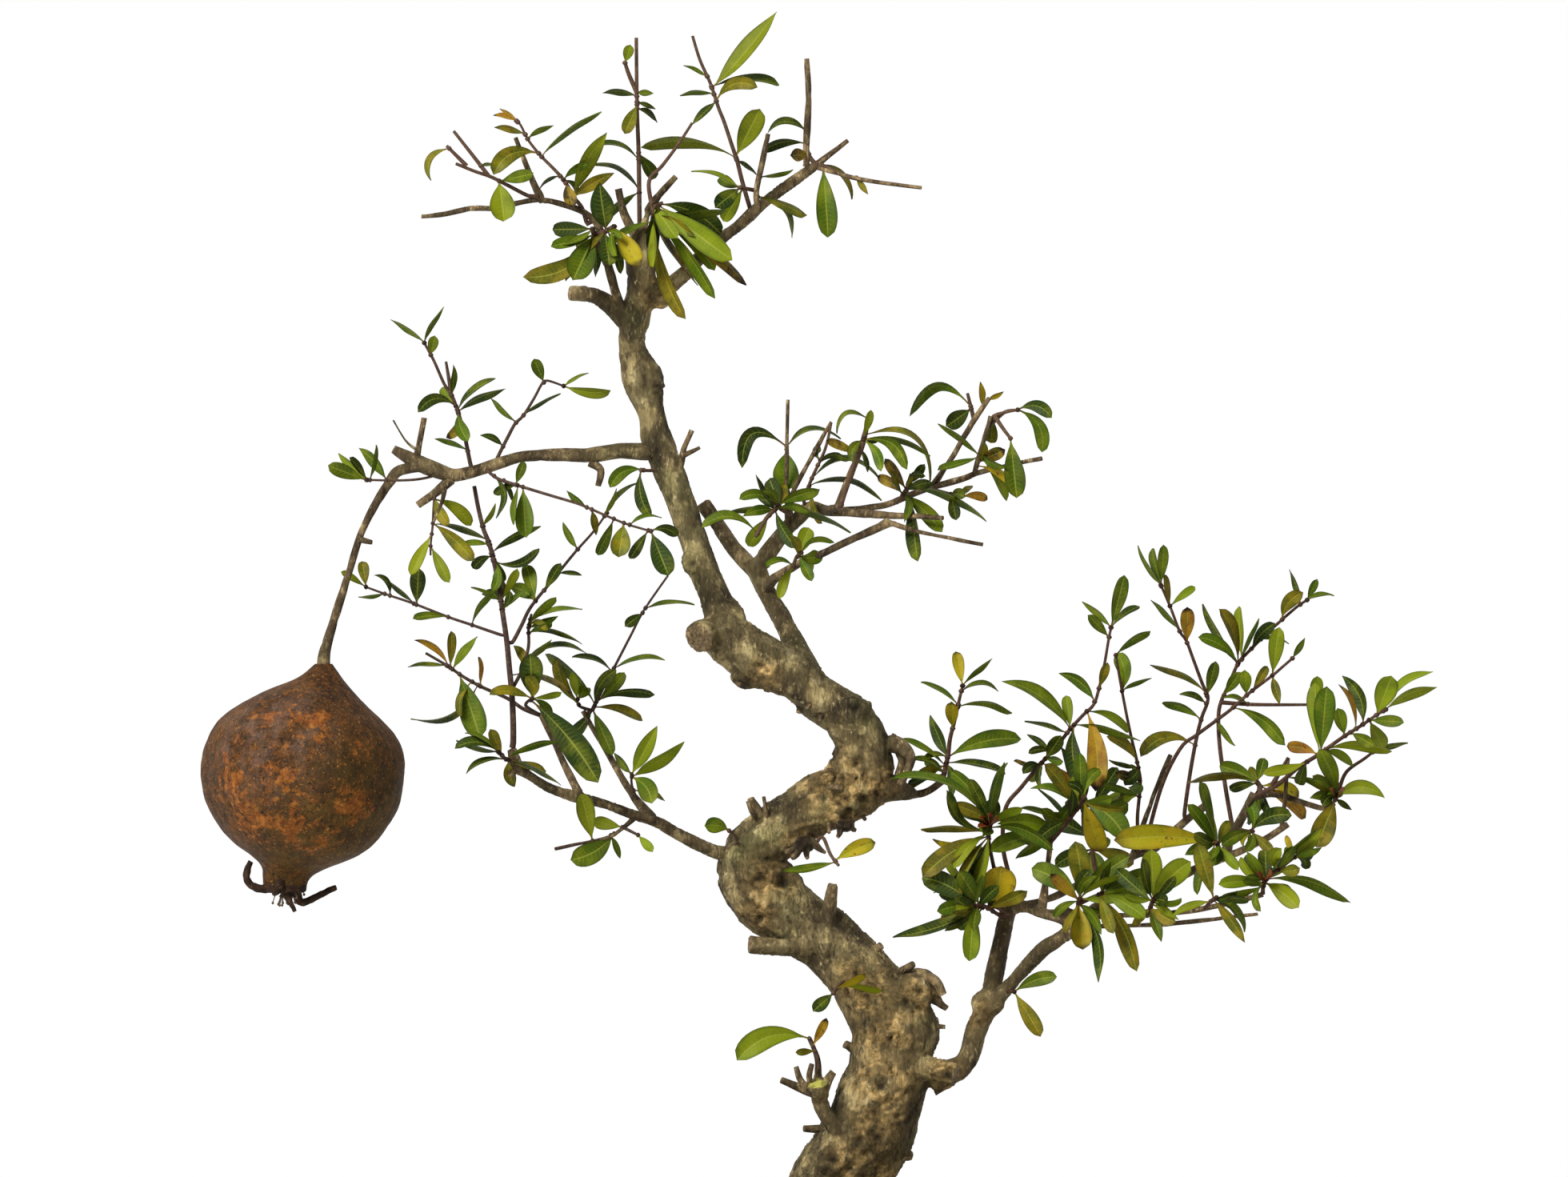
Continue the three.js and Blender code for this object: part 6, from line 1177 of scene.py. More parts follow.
# A row is: name, radius at the foot, radius at the end, stems, leaves. A stem is a list of
# [x, z, y]. A leaf is [foot x, foot z, tip x, tip z, width as seen, arch, tone, tip depth].
CROWN = [
  ["crown_tall_left", 1.1, 0.8, [
    [[-66.5, 478, -2], [-66.8, 500, -2], [-67, 510, -3], [-67.4, 520, -3], [-67.6, 530, -4],
     [-67.8, 551, -4]], [[-67.8, 531, -4], [-70.5, 537, -5], [-72, 541.5, -6]]], [
    [-70, 529, -80.5, 530, 2.5, 1.5, "d", 6], [-67, 530.5, -61.5, 530, 2.5, 0, "g", -5],
    [-66, 527, -60.5, 524.5, 2, 0, "d", 4], [-72, 541.5, -70, 548, 4, 0, "L", -3],
    [-67, 526, -72, 515, 5, 0, "O", -7], [-66, 524.5, -60, 519.5, 2.5, 1, "d", 8],
    [-67, 508, -60.5, 498.5, 5, 0, "G", 9], [-67, 505.5, -86, 508.5, 2.2, 4, "d", -8],
    [-67.5, 493, -86, 503.5, 1.6, 5, "d", 9]]],
  ["crown_left_upright", 1.1, 0.5, [
    [[-86, 481, -10], [-88, 487, -10], [-91, 491, -11], [-94.5, 497, -12], [-98.5, 501.5, -13],
     [-103, 506, -13], [-106, 509.5, -14], [-108.5, 513, -14], [-111, 518, -15], [-113, 520, -15]]], [
    [-112, 519, -119, 524, 2, 0.5, "r", 4], [-113, 519, -121, 521.5, 2, 0.5, "r", -5],
    [-110, 514, -121, 517, 2.5, 1, "o", 5], [-108, 513, -98.5, 517.5, 2.2, 1, "g", -5],
    [-102, 507, -80.5, 522, 2, 2.5, "g", -9], [-104, 507.5, -121, 499.5, 6.5, 4, "O", -7],
    [-95, 497.5, -86, 503, 3, 1, "G", -8], [-88, 493, -78.5, 514, 5.5, 2, "l", -12],
    [-93, 497, -91.5, 487.5, 5, 0, "B", -6], [-96, 499, -104, 493, 1.4, 2, "d", 6]]],
  ["crown_far_left", 1.0, 0.7, [
    [[-105, 491.5, -12], [-108, 491.5, -12], [-115, 495, -14], [-122, 498.5, -16], [-128, 500.5, -18],
     [-135, 503.3, -20]], [[-131, 502.5, -19], [-138.5, 510, -20]], [[-123, 499, -16], [-128, 505.5, -15],
     [-136, 515.7, -14]]], [
    [-118, 499, -117, 482, 9.5, 0, "L", -6], [-118, 498.5, -106, 499.5, 5, 0, "G", -12],
    [-138, 508.5, -144.5, 496.8, 2.8, 4, "o", -5], [-126, 502.5, -120.5, 503.5, 1.6, 0, "g", 8]]],
  ["crown_left_low", 1.4, 1.0, [
    [[-79, 466, -7], [-82, 473, -12], [-84, 479, -18]], [[-83, 476, -15], [-76, 480, -14]]], [
    [-84, 477.5, -109.5, 461.5, 7.5, -6, "O", -8], [-86, 476, -91, 460, 10, 0, "G", -12],
    [-80, 479, -77.5, 465.5, 7, 0, "D", -11], [-76, 480, -66.5, 465.5, 7.5, 0, "Y", -8],
    [-80, 480, -81.5, 496, 9, 0, "d", -7], [-85, 480, -99, 479, 6, 0, "D", 8],
    [-84, 476, -82.5, 461, 3, 0, "d", 10], [-78, 478, -73, 462.5, 4, 0, "D", 6]]],
  ["crown_centre", 1.0, 0.6, [
    [[-62, 480, -6], [-61, 487, -10], [-58, 489, -14]], [[-61.5, 486, -9], [-63, 497, -8], [-58, 503, -8],
     [-52, 511, -8], [-46.8, 519, -8]]], [
    [-61, 489, -52.5, 475.5, 7, 0, "L", -8], [-60, 490, -36, 477, 8, 3, "D", 7],
    [-58, 486, -32.5, 467.5, 9, 0, "L", -13], [-59, 485, -38, 464, 6, 2, "L", 3],
    [-60, 483, -40, 452.8, 4.5, 3, "G", -6], [-59, 482, -27.5, 457.5, 5, 4, "B", -4],
    [-62, 482, -49.5, 445.3, 4.5, -2, "O", -9], [-62, 484, -44, 459, 3, -2, "b", 12]]],
  ["crown_right_tall", 1.1, 0.7, [
    [[-25, 487, 8], [-28, 497, 8], [-30, 505, 8], [-32, 511, 7], [-35, 520, 6], [-37, 525, 6],
     [-40, 534, 5], [-44, 543, 4], [-46.8, 552, 3]]], [
    [-38, 533, -15.5, 561.5, 6.5, -1, "l", 4], [-37, 534, -14, 534.5, 3, 2, "G", 10],
    [-41, 537, -50, 541, 1.8, 0, "g", -5], [-39, 530, -51.5, 529.5, 1.8, 1.5, "g", 7],
    [-38, 527.5, -46.8, 519, 3, 0, "d", -6], [-37, 528, -22.5, 532.5, 5, 4, "O", -8],
    [-31, 506, -66, 509.5, 4, 5, "L", 9], [-30, 507, -21.5, 524.5, 8.5, 0, "L", -7],
    [-29, 506, -22.5, 500.5, 2, 0, "d", 7]]],
  ["crown_right_branch", 1.0, 0.8, [
    [[-22.5, 490.5, 7], [-22.5, 495, 7], [-21, 501, 6], [-19.5, 508, 6], [-18.5, 515, 6]],
    [[-22.5, 494, 7], [-29, 495, 0]]], [
    [-29, 495, -47, 502, 2, 1, "l", -4], [-29, 494, -38, 487.5, 6.5, 0, "D", -8],
    [-28, 493.5, -35.5, 482.5, 5.5, 0, "L", 6], [-21, 499, -9, 501, 1.6, 0, "g", -5],
    [-22, 492, -4.5, 484, 3.5, 1, "O", -9], [-22, 491.5, -8.5, 476.5, 2, 4, "d", 10]]],
  ["crown_right_end", 1.1, 0.8, [
    [[0, 503.5, 8], [-3, 507, 8], [-4, 512, 8], [-3.5, 520, 8], [-3, 535, 8], [-4, 543.5, 8]],
    [[-0.5, 504.5, 8], [10, 499.8, 5], [20, 497.5, 2], [30, 496, -1], [39, 494.8, -3]], [[0, 504.5, 8],
     [6, 509, 12], [11.5, 513, 15]]], [
    [2.5, 504, 4.2, 476.5, 8, 0, "G", -6], [0, 504, 14, 491, 2.2, 3, "o", 9],
    [14.5, 498, 19, 492.5, 2.4, 0, "o", -4], [-2, 508, -10, 507, 5, 0, "B", -8],
    [-5, 516, -19, 516, 3, 4, "d", -5], [-4, 511.5, -20.5, 508.5, 3.5, 2.5, "D", 7]]],
]
for row in CROWN:
    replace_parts(leafy_stem(row, "#473428"), row[0])


# ------------------------ leafy stems of the fruit branch
# Upright and hanging twigs on the long branch that carries the fruit, living wood and leaf like
# those of the crown. Tapering tubes and skinned blades, rooted in the branch's bark.

FRUIT_BRANCH = [
  ["fruit_spire_top", 1.0, 0.6, [
    [[-130, 392, -10], [-132, 402, -11], [-134.5, 411, -12], [-137, 417.5, -12], [-139.5, 421, -12],
     [-143.5, 430, -13], [-147, 436.5, -13]], [[-137, 418, -12], [-139, 429.5, -8]]], [
    [-147, 437, -160, 444.5, 2, 1.2, "g", 4], [-147, 437, -139, 449, 2, 1.5, "g", -5],
    [-144.5, 432, -143, 439, 4, 0, "L", -6], [-136.5, 417, -135.5, 428, 2.4, 0, "g", -5],
    [-135, 413, -149, 410.5, 4.5, 4, "D", -8], [-135, 413, -141, 420, 4, 0, "G", 7],
    [-134, 410, -138.5, 401, 3.5, -2, "B", -6], [-133.5, 412, -120.5, 423.5, 2.5, 1.5, "d", 7],
    [-133, 411, -116.5, 418.5, 3, 1.8, "d", -9], [-132.5, 411, -130.5, 400, 5, -1, "G", -10],
    [-131, 396, -143.5, 400, 2, 1.5, "g", 5]]],
  ["fruit_upper_twig", 0.9, 0.5, [
    [[-120, 393, -9], [-115, 403, -8], [-113, 406.5, -8], [-110, 409.5, -7], [-106, 416, -6],
     [-103, 421.5, -6], [-101, 422.5, -6], [-95, 420.5, -5]]], [
    [-113, 407, -122.5, 416, 2, 0, "g", 5], [-110, 409.5, -96, 417.5, 1.6, 1, "d", -4],
    [-102.5, 422, -106, 430.5, 4.5, 0, "G", -5], [-95, 420.5, -77.5, 418, 4.2, -1, "L", -6],
    [-95, 420.5, -86, 426, 1.6, 0, "g", 5], [-118, 398, -126, 402, 2.5, 1, "d", -5]]],
  ["fruit_left_tip", 0.7, 0.5, [
    [[-143, 387, -12], [-149, 385.5, -17], [-157, 385, -20], [-168.5, 385.2, -21]]], [
    [-168.5, 385.3, -182.5, 390.5, 5.5, 0, "G", -5], [-168, 386, -179.5, 395, 3, 0, "l", 6],
    [-168, 386, -174, 393.5, 3, 0, "D", -9], [-161, 386, -172, 397, 4, 1.5, "g", 8],
    [-167, 385.5, -164, 398, 1.6, 0, "g", -5]]],
  ["fruit_under_fork", 0.7, 0.45, [
    [[-143, 380.5, -14], [-143.5, 374, -15], [-143.8, 368, -16], [-144.5, 361, -18], [-144.5, 357, -18]]],
    [
    [-144, 365, -152, 350, 4.5, 0, "L", -5], [-143.5, 369, -128.5, 355, 5.5, 1, "O", -8],
    [-144, 360.5, -137.5, 347, 4.5, 0, "L", -6], [-143, 378, -129.5, 368, 5, 2, "L", 6],
    [-143, 379, -137.5, 368.5, 4.5, -1, "O", -6]]],
  ["fruit_bare_twig", 0.8, 0.5, [
    [[-124, 389.5, -12], [-120, 386, -15], [-113, 383.5, -18], [-100, 379.5, -22], [-90, 376.5, -25],
     [-85, 374.5, -26], [-72, 369, -28], [-62, 366, -29]]], [
    [-121, 386.5, -120.5, 371.5, 2.8, 4, "d", -5], [-117, 385.5, -113.5, 377, 1.8, 0, "d", 5],
    [-112.5, 384, -109.5, 392, 3.5, 0, "G", -5], [-112, 383, -121, 379.5, 3.5, 1, "D", 8],
    [-110, 382.5, -108.8, 364, 7, 0, "G", -7], [-112, 383, -113.5, 368.5, 2.4, 0, "g", -12],
    [-86, 375, -94, 381, 2.5, 0, "g", 5], [-84, 374.5, -82.5, 364.5, 3, 0, "o", 7],
    [-72, 369.5, -74, 356.5, 7.5, 0, "O", -6], [-76, 370.5, -82, 357, 4, 0, "G", 8],
    [-70, 368.5, -58, 371.5, 1.6, 1.5, "g", 6], [-63, 366.5, -70, 355.5, 4, 0, "D", 6],
    [-62, 366.5, -52, 364, 4, 2, "D", 8], [-62, 366, -55.5, 349.5, 8, 0, "D", -6]]],
]
for row in FRUIT_BRANCH:
    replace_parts(leafy_stem(row, "#3b2b22"), row[0])


# ------------------------ leafy stems of the left branch
# A tall dark spire with side twigs, and low sprays on the drooping left branch. The twigs are
# darker than the crown's. Made as above, and rooted in the branch or in the spire.

LEFT_BRANCH = [
  ["left_spire", 1.4, 0.9, [
    [[-113.5, 287, -25], [-113.5, 295, -25], [-114, 305, -24], [-115, 315, -22], [-116, 325, -20],
     [-117.5, 335, -18], [-119, 345, -15], [-121, 355, -12], [-123, 362, -10], [-125, 367, -8],
     [-127, 375, -6], [-128.5, 383, -5]]], [
    [-120.5, 355, -104.5, 360, 3.5, -4, "D", 7], [-121, 358, -103.5, 367, 3, 2, "d", -8],
    [-124, 362, -143, 368.5, 2.5, 2, "d", 5], [-123, 361, -134.5, 360, 2.5, 1, "g", -7],
    [-121, 357, -129, 352, 4, 1, "D", 8], [-121, 355.5, -121.5, 343.5, 3.5, -2, "G", -7],
    [-121, 357, -117.5, 346.5, 4, 0, "D", 8], [-125, 368, -120, 376, 2, 0, "l", -5],
    [-117, 340, -112, 352, 3, 0, "L", -6], [-117.5, 340, -121, 351.5, 2, 0, "L", 6],
    [-116.5, 337, -108, 345, 2.2, 0, "g", 7], [-118, 340, -129, 345.5, 1.6, 0, "g", -6]]],
  ["left_side_twig", 0.8, 0.5, [
    [[-117.5, 327.2, -20], [-122, 328.6, -19], [-129, 331, -17], [-138, 334, -15], [-151, 339, -11],
     [-161.5, 342.5, -8], [-169, 345.2, -6]]], [
    [-169, 345.2, -170.5, 355, 4.3, 0, "O", 4], [-169, 345.2, -178, 351, 2.5, 0, "L", -5],
    [-162, 342.5, -172, 341, 1.6, 0, "g", 4], [-160, 342, -165.5, 350, 2, 2, "d", -5],
    [-151, 339, -164.5, 349, 2, 1, "d", 6], [-150, 338.6, -149, 352, 6, 0, "D", -6],
    [-138, 334, -151, 333.5, 3, 0.7, "G", -6], [-129, 331, -119.5, 344, 2.2, 2, "g", -7]]],
  ["left_right_twig", 1.0, 0.5, [
    [[-114, 324.5, -19], [-110.5, 331, -16], [-107, 338, -12], [-99, 348, -6], [-91, 358, 0],
     [-84, 366, 5], [-79, 373, 8]]], [
    [-105.5, 340, -109, 354, 5.5, 0, "G", 7], [-103, 344.5, -96, 354, 4, 0, "D", -7],
    [-97, 350.5, -88, 350, 1.8, 0, "d", 6], [-90, 359.5, -96, 369.5, 2.8, 0, "g", 6],
    [-80, 372, -75, 382, 2, 0, "l", -4], [-79, 373, -67.5, 385, 2, 1.2, "d", 4]]],
  ["left_inner_twig", 0.9, 0.6, [
    [[-113.5, 308, -22], [-110, 315, -18], [-108, 323, -14], [-108, 330, -12], [-107, 335, -9.5]]], [
    [-108, 330, -97, 334, 3, 0, "g", -5], [-107.5, 331, -97.5, 341, 3.5, 1, "L", -9],
    [-107, 333, -88, 337.5, 1.8, 1, "g", 5], [-107.5, 328, -89, 323, 2, 3.5, "d", -7],
    [-109, 318.5, -86, 321.5, 2, 3, "d", 6], [-110, 315, -99, 325, 2, 1, "g", -8]]],
  ["left_dark_twig", 0.9, 0.6, [
    [[-103.5, 297, -5], [-110, 299.5, -6], [-116, 303.5, -8], [-126, 308, -10], [-133, 312, -11],
     [-138, 315.5, -12], [-146.5, 320.5, -13]], [[-104, 297.3, -5], [-109, 301, -18], [-106, 304, -24]]],
    [
    [-106, 303, -107, 320, 9, 0, "D", -7], [-106, 303, -122, 306, 4, 1.5, "O", -9],
    [-106, 303, -95.5, 305.5, 2.5, 0, "L", -5], [-107, 303, -82, 272.5, 10.5, 2, "D", -9],
    [-138, 316, -151, 325, 2.5, 3, "r", 5], [-137, 315.5, -136.5, 328.5, 3.5, 0, "O", -5],
    [-136.5, 314.5, -127.5, 327, 3.5, 0, "l", 6], [-139, 315.5, -153, 316, 1.8, 0, "d", -5],
    [-134, 312.5, -126, 289, 9.5, 0, "G", -7], [-127, 308.5, -152.5, 295, 2.4, -5, "d", 8],
    [-125.8, 308.5, -126, 319, 2, 0, "R", -6], [-129, 310, -133.5, 297, 3, 2, "O", -9]]],
  ["left_low_node", 1.1, 0.8, [
    [[-112.5, 280, -27], [-116, 281, -31], [-119, 284, -34]]], [
    [-118, 284, -135, 285.5, 3.5, 3, "D", -6], [-119, 283, -135, 287.5, 2, 0, "d", 6],
    [-116, 281, -131, 276, 2, 2, "d", -7], [-118, 285, -131, 291.5, 1.6, 1, "g", -3],
    [-117, 283, -121.5, 292, 4, 0, "O", -9], [-116, 281, -97, 287.5, 2.5, 2, "g", -7],
    [-115, 280.5, -96, 271, 1.8, 2, "d", -9]]],
  ["left_thin_twig", 0.8, 0.5, [
    [[-87, 297.5, 18.5], [-84.5, 299, 15], [-83.5, 301, 14], [-80, 308, 12], [-76.5, 314.5, 10],
     [-70, 327, 6], [-65, 336.5, 4], [-56, 349.5, 1]], [[-85, 298.8, 16], [-89.5, 300.5, 13],
     [-90, 303, 9]]], [
    [-89.5, 301, -116, 310.5, 2.6, 6, "b", 5], [-90, 303, -92, 313, 3.5, 0, "L", -4],
    [-84, 301, -103, 319, 4, 3, "G", 8], [-83, 302, -61.5, 304, 3, 3, "D", -6],
    [-84, 300, -65.5, 295, 3.5, 1.5, "O", 7], [-84, 299, -77, 282.5, 5.5, 0, "G", -8],
    [-77, 313.5, -92, 319, 2, 2, "d", -6], [-76, 314.5, -57, 318.5, 1.8, 1.5, "g", 6],
    [-65.5, 335.5, -72, 330.5, 4, 0, "D", -6], [-64, 337, -46, 339, 1.8, 1, "g", 6]]],
  ["left_low_leaves", 0.8, 0.6, [
    [[-68, 258.5, -8], [-74, 254, -14], [-79, 251.5, -17], [-98, 247.5, -24]], [[-73, 255.5, -13],
     [-67, 252.5, -16]]], [
    [-72.5, 256, -84, 257.5, 5, 0, "L", 6], [-76, 253, -92, 243.5, 8.5, -2, "G", -8],
    [-77, 252, -73.5, 243.5, 2.4, 0, "g", 5], [-67, 252.5, -61.5, 246.5, 3.5, 0, "L", -5],
    [-84, 250.5, -88, 268, 7, 0, "L", -9]]],
  ["left_red_shoot", 0.7, 0.5, [
    [[-67.5, 265.5, 0], [-69.5, 271, -3], [-69.5, 275, -5]]], [
    [-69.5, 275, -60, 293, 6, 0, "l", -5], [-69.5, 274, -49.5, 286.5, 5, 0, "l", -10],
    [-69.5, 274, -62, 264.5, 7.5, 2, "G", -12], [-69.5, 275, -76.5, 283, 3, 0, "d", 7],
    [-68.5, 269, -57, 265, 2, 1, "o", 7]]],
]
for row in LEFT_BRANCH:
    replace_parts(leafy_stem(row, "#35261f"), row[0])


# ------------------------ sprigs on the trunk
# Single short sprigs that break from old wood, each a soft stem with a few leaves. Made as above,
# and rooted in the trunk.

TRUNK_SPRIGS = [
  ["trunk_low_sprig", 0.8, 0.6, [
    [[0, 161.5, -13], [0.5, 166, -15], [-0.5, 171, -16], [-3, 176.5, -17]]], [
    [-3, 176.5, -30, 168.5, 9, 5, "L", -4], [-1, 174, 3.5, 184, 3.5, 0, "R", -6],
    [-0.5, 172, -8, 171.5, 2.8, 0, "O", -7]]],
  ["trunk_bend_leaves", 0.9, 0.7, [
    [[9, 197, -12.5], [7, 195, -16], [6, 193.5, -19]]], [
    [6, 193.5, -1.5, 187, 5, 0, "D", -5], [7, 195, 18, 200.5, 3, 0, "Y", -8],
    [8, 196, 24, 194, 2.4, 1, "L", -5]]],
  ["trunk_elbow_leaves", 0.9, 0.7, [
    [[-30, 250, -4], [-33, 254, -9]]], [
    [-33, 254, -42, 256, 6, 1, "G", -6]]],
  ["trunk_fork_leaves", 0.9, 0.7, [
    [[2, 251.5, -3], [5, 245, -8], [8, 241, -11]]], [
    [7, 242.5, -13, 239, 3, -1, "g", -5], [7, 243, 21.5, 249.5, 6, 1, "Y", -5]]],
  ["trunk_upper_left_leaves", 0.9, 0.7, [
    [[-61.5, 389, 0], [-66, 389, -4]]], [
    [-65, 389, -77.5, 382.5, 5, 3, "G", -4], [-66, 389, -62.5, 371.5, 5, -2, "D", -6]]],
]
for row in TRUNK_SPRIGS:
    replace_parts(leafy_stem(row, "#463428"), row[0])


# ------------------------ leafy stems of the middle branch
# Young growth on pruned stubs of the middle branch, with curled, arching leaves. Made as above:
# the arch in a row gives its leaf the curl.

MIDDLE_BRANCH = [
  ["mid_left_stub_leaves", 0.8, 0.7, [
    [[-9, 376, 14], [-11.5, 384, 15], [-11.5, 397, 16], [-11, 415.5, 17]]], [
    [-11.7, 398, -28, 390, 5.5, 10, "D", -4], [-11.3, 398, 9, 401, 2.2, 5, "d", 7],
    [-11.6, 397, -12, 381.5, 10, 0, "G", -8]]],
  ["mid_tall_stub_leaves", 1.2, 0.9, [
    [[9, 376.5, -18], [13, 389, -20], [17, 399, -21], [19, 408, -22]]], [
    [18.8, 408, 7, 402.5, 2, 5, "d", -4], [18, 401, 20, 411, 3, 0, "L", -7],
    [18, 402, 43.5, 385, 2.4, 9, "o", 6], [17.5, 400, 41.5, 393.5, 2, 4, "g", -5],
    [17.5, 400, 23.5, 388.5, 4, 2, "G", -8], [17.5, 400, 33, 389, 5, 5, "G", -11],
    [15, 395, 3.5, 400, 3.5, 0, "B", -5], [16, 397, 19.5, 388, 2, 0, "d", 8]]],
  ["mid_node_sprig", 0.9, 0.6, [
    [[-5, 377.5, 10], [-2, 386, 6], [3, 397, 3], [5.3, 407, 2]]], [
    [-2, 386, 23.5, 386, 2.2, 7, "d", 5], [-3, 383, 24, 377.5, 2.2, 6, "d", -6],
    [0, 391, 12, 392.5, 2.5, 3, "D", -8], [1, 393, 8.5, 396, 1.8, 0, "d", 5]]],
  ["mid_left_cluster", 1.1, 0.8, [
    [[-10, 372.5, 6], [-13, 374, 0], [-15, 376, -4]], [[-15, 375, -3], [-19, 371, -8], [-23, 364, -12]]],
    [
    [-14, 375, -18, 386, 6, 0, "D", 8], [-15, 376, -29, 378.5, 3.5, 2.5, "G", -8],
    [-16, 374, -36, 371.5, 2.5, 2, "d", 6], [-15, 376, -22, 387, 2, -2, "d", -9],
    [-16, 374, -27.5, 372, 4, 1, "g", -8], [-18, 372, -26, 360.5, 5.5, 0, "L", 7],
    [-22, 365, -43.5, 368, 3.5, 5, "G", -4], [-15, 375.5, 0.5, 381, 5, 1, "G", -12],
    [-14, 374, 12, 365, 2.5, 3, "g", -9], [-15, 373.5, -8, 360, 4.5, -1, "D", -8]]],
  ["mid_lower_leaves", 0.9, 0.7, [
    [[-9, 352, -14], [-8, 356, -18], [-6, 358, -21]]], [
    [-8, 357, -3, 367.5, 6, 0, "L", 5], [-6, 358, 6, 361.5, 2.5, 3.5, "G", -5],
    [-7, 357, -2, 347.5, 4, 0, "G", -7], [-9, 353, -14, 341, 4, 1, "L", -5]]],
  ["mid_arm_leaves", 1.0, 0.7, [
    [[30, 377, 2], [33, 381, -2], [35, 384, -5]]], [
    [33, 382, 25.5, 393, 4, 0, "B", -5], [32, 380, 22.5, 386.5, 4, 1, "B", 7],
    [34.5, 384, 40, 391, 3.5, 0, "D", -7], [33, 381, 43, 384, 4, 1, "D", -12],
    [32.5, 380, 46.5, 366, 6, 1, "L", -10], [34, 382, 63, 369.5, 2.6, 4, "g", -7]]],
  ["mid_arm_end_leaves", 0.9, 0.7, [
    [[43, 382, 3], [50, 380, -4], [54, 379, -8]]], [
    [50, 380, 52, 370.5, 4.5, 0, "D", -5], [54, 379, 64, 378, 3.5, 1, "R", 5]]],
  ["mid_right_top", 1.0, 0.7, [
    [[45, 384.5, 8], [50, 393, 10], [59, 408, 12], [64.5, 416, 13]], [[59, 408, 12], [56.5, 418, 10]]], [
    [57, 413, 36, 409, 4.5, 10, "G", 4], [57, 412, 48.5, 405.5, 6.5, 0, "D", -5],
    [62, 413, 61.5, 422, 2.5, 0, "y", -6], [64, 415.5, 70, 418.5, 2, 0, "y", -5]]],
  ["mid_right_end", 1.0, 0.7, [
    [[59.5, 389.5, -5], [61.5, 397, -7], [65, 408, -9], [70, 410.5, -10], [75, 411.5, -11]],
    [[66.5, 409, -9.5], [69.5, 404.5, -12], [72.5, 400.5, -13]]], [
    [75, 411.5, 84, 395.5, 5.5, 4, "G", 5], [75, 411.5, 87.5, 408.5, 5, 3, "D", -6],
    [72.5, 401, 74.5, 378.5, 8, 0, "G", -5], [66, 408, 65, 399, 5, 0, "O", 8],
    [61, 394, 45, 406, 2.2, 1.5, "g", 5], [60.5, 392, 70, 396.5, 5, 0, "B", -7],
    [60, 390.5, 73, 384, 2.8, 1.5, "Y", -9], [61, 395, 71.5, 377.5, 4.5, 1, "L", 4]]],
]
for row in MIDDLE_BRANCH:
    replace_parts(leafy_stem(row, "#4a3728"), row[0])


# ------------------------ leafy stems of the right branch
# The wide leafy pad on the low right branch, with red-brown shoots, scarlet buds and some yellow
# leaves. Made as above, and filled in with the most small leaves.

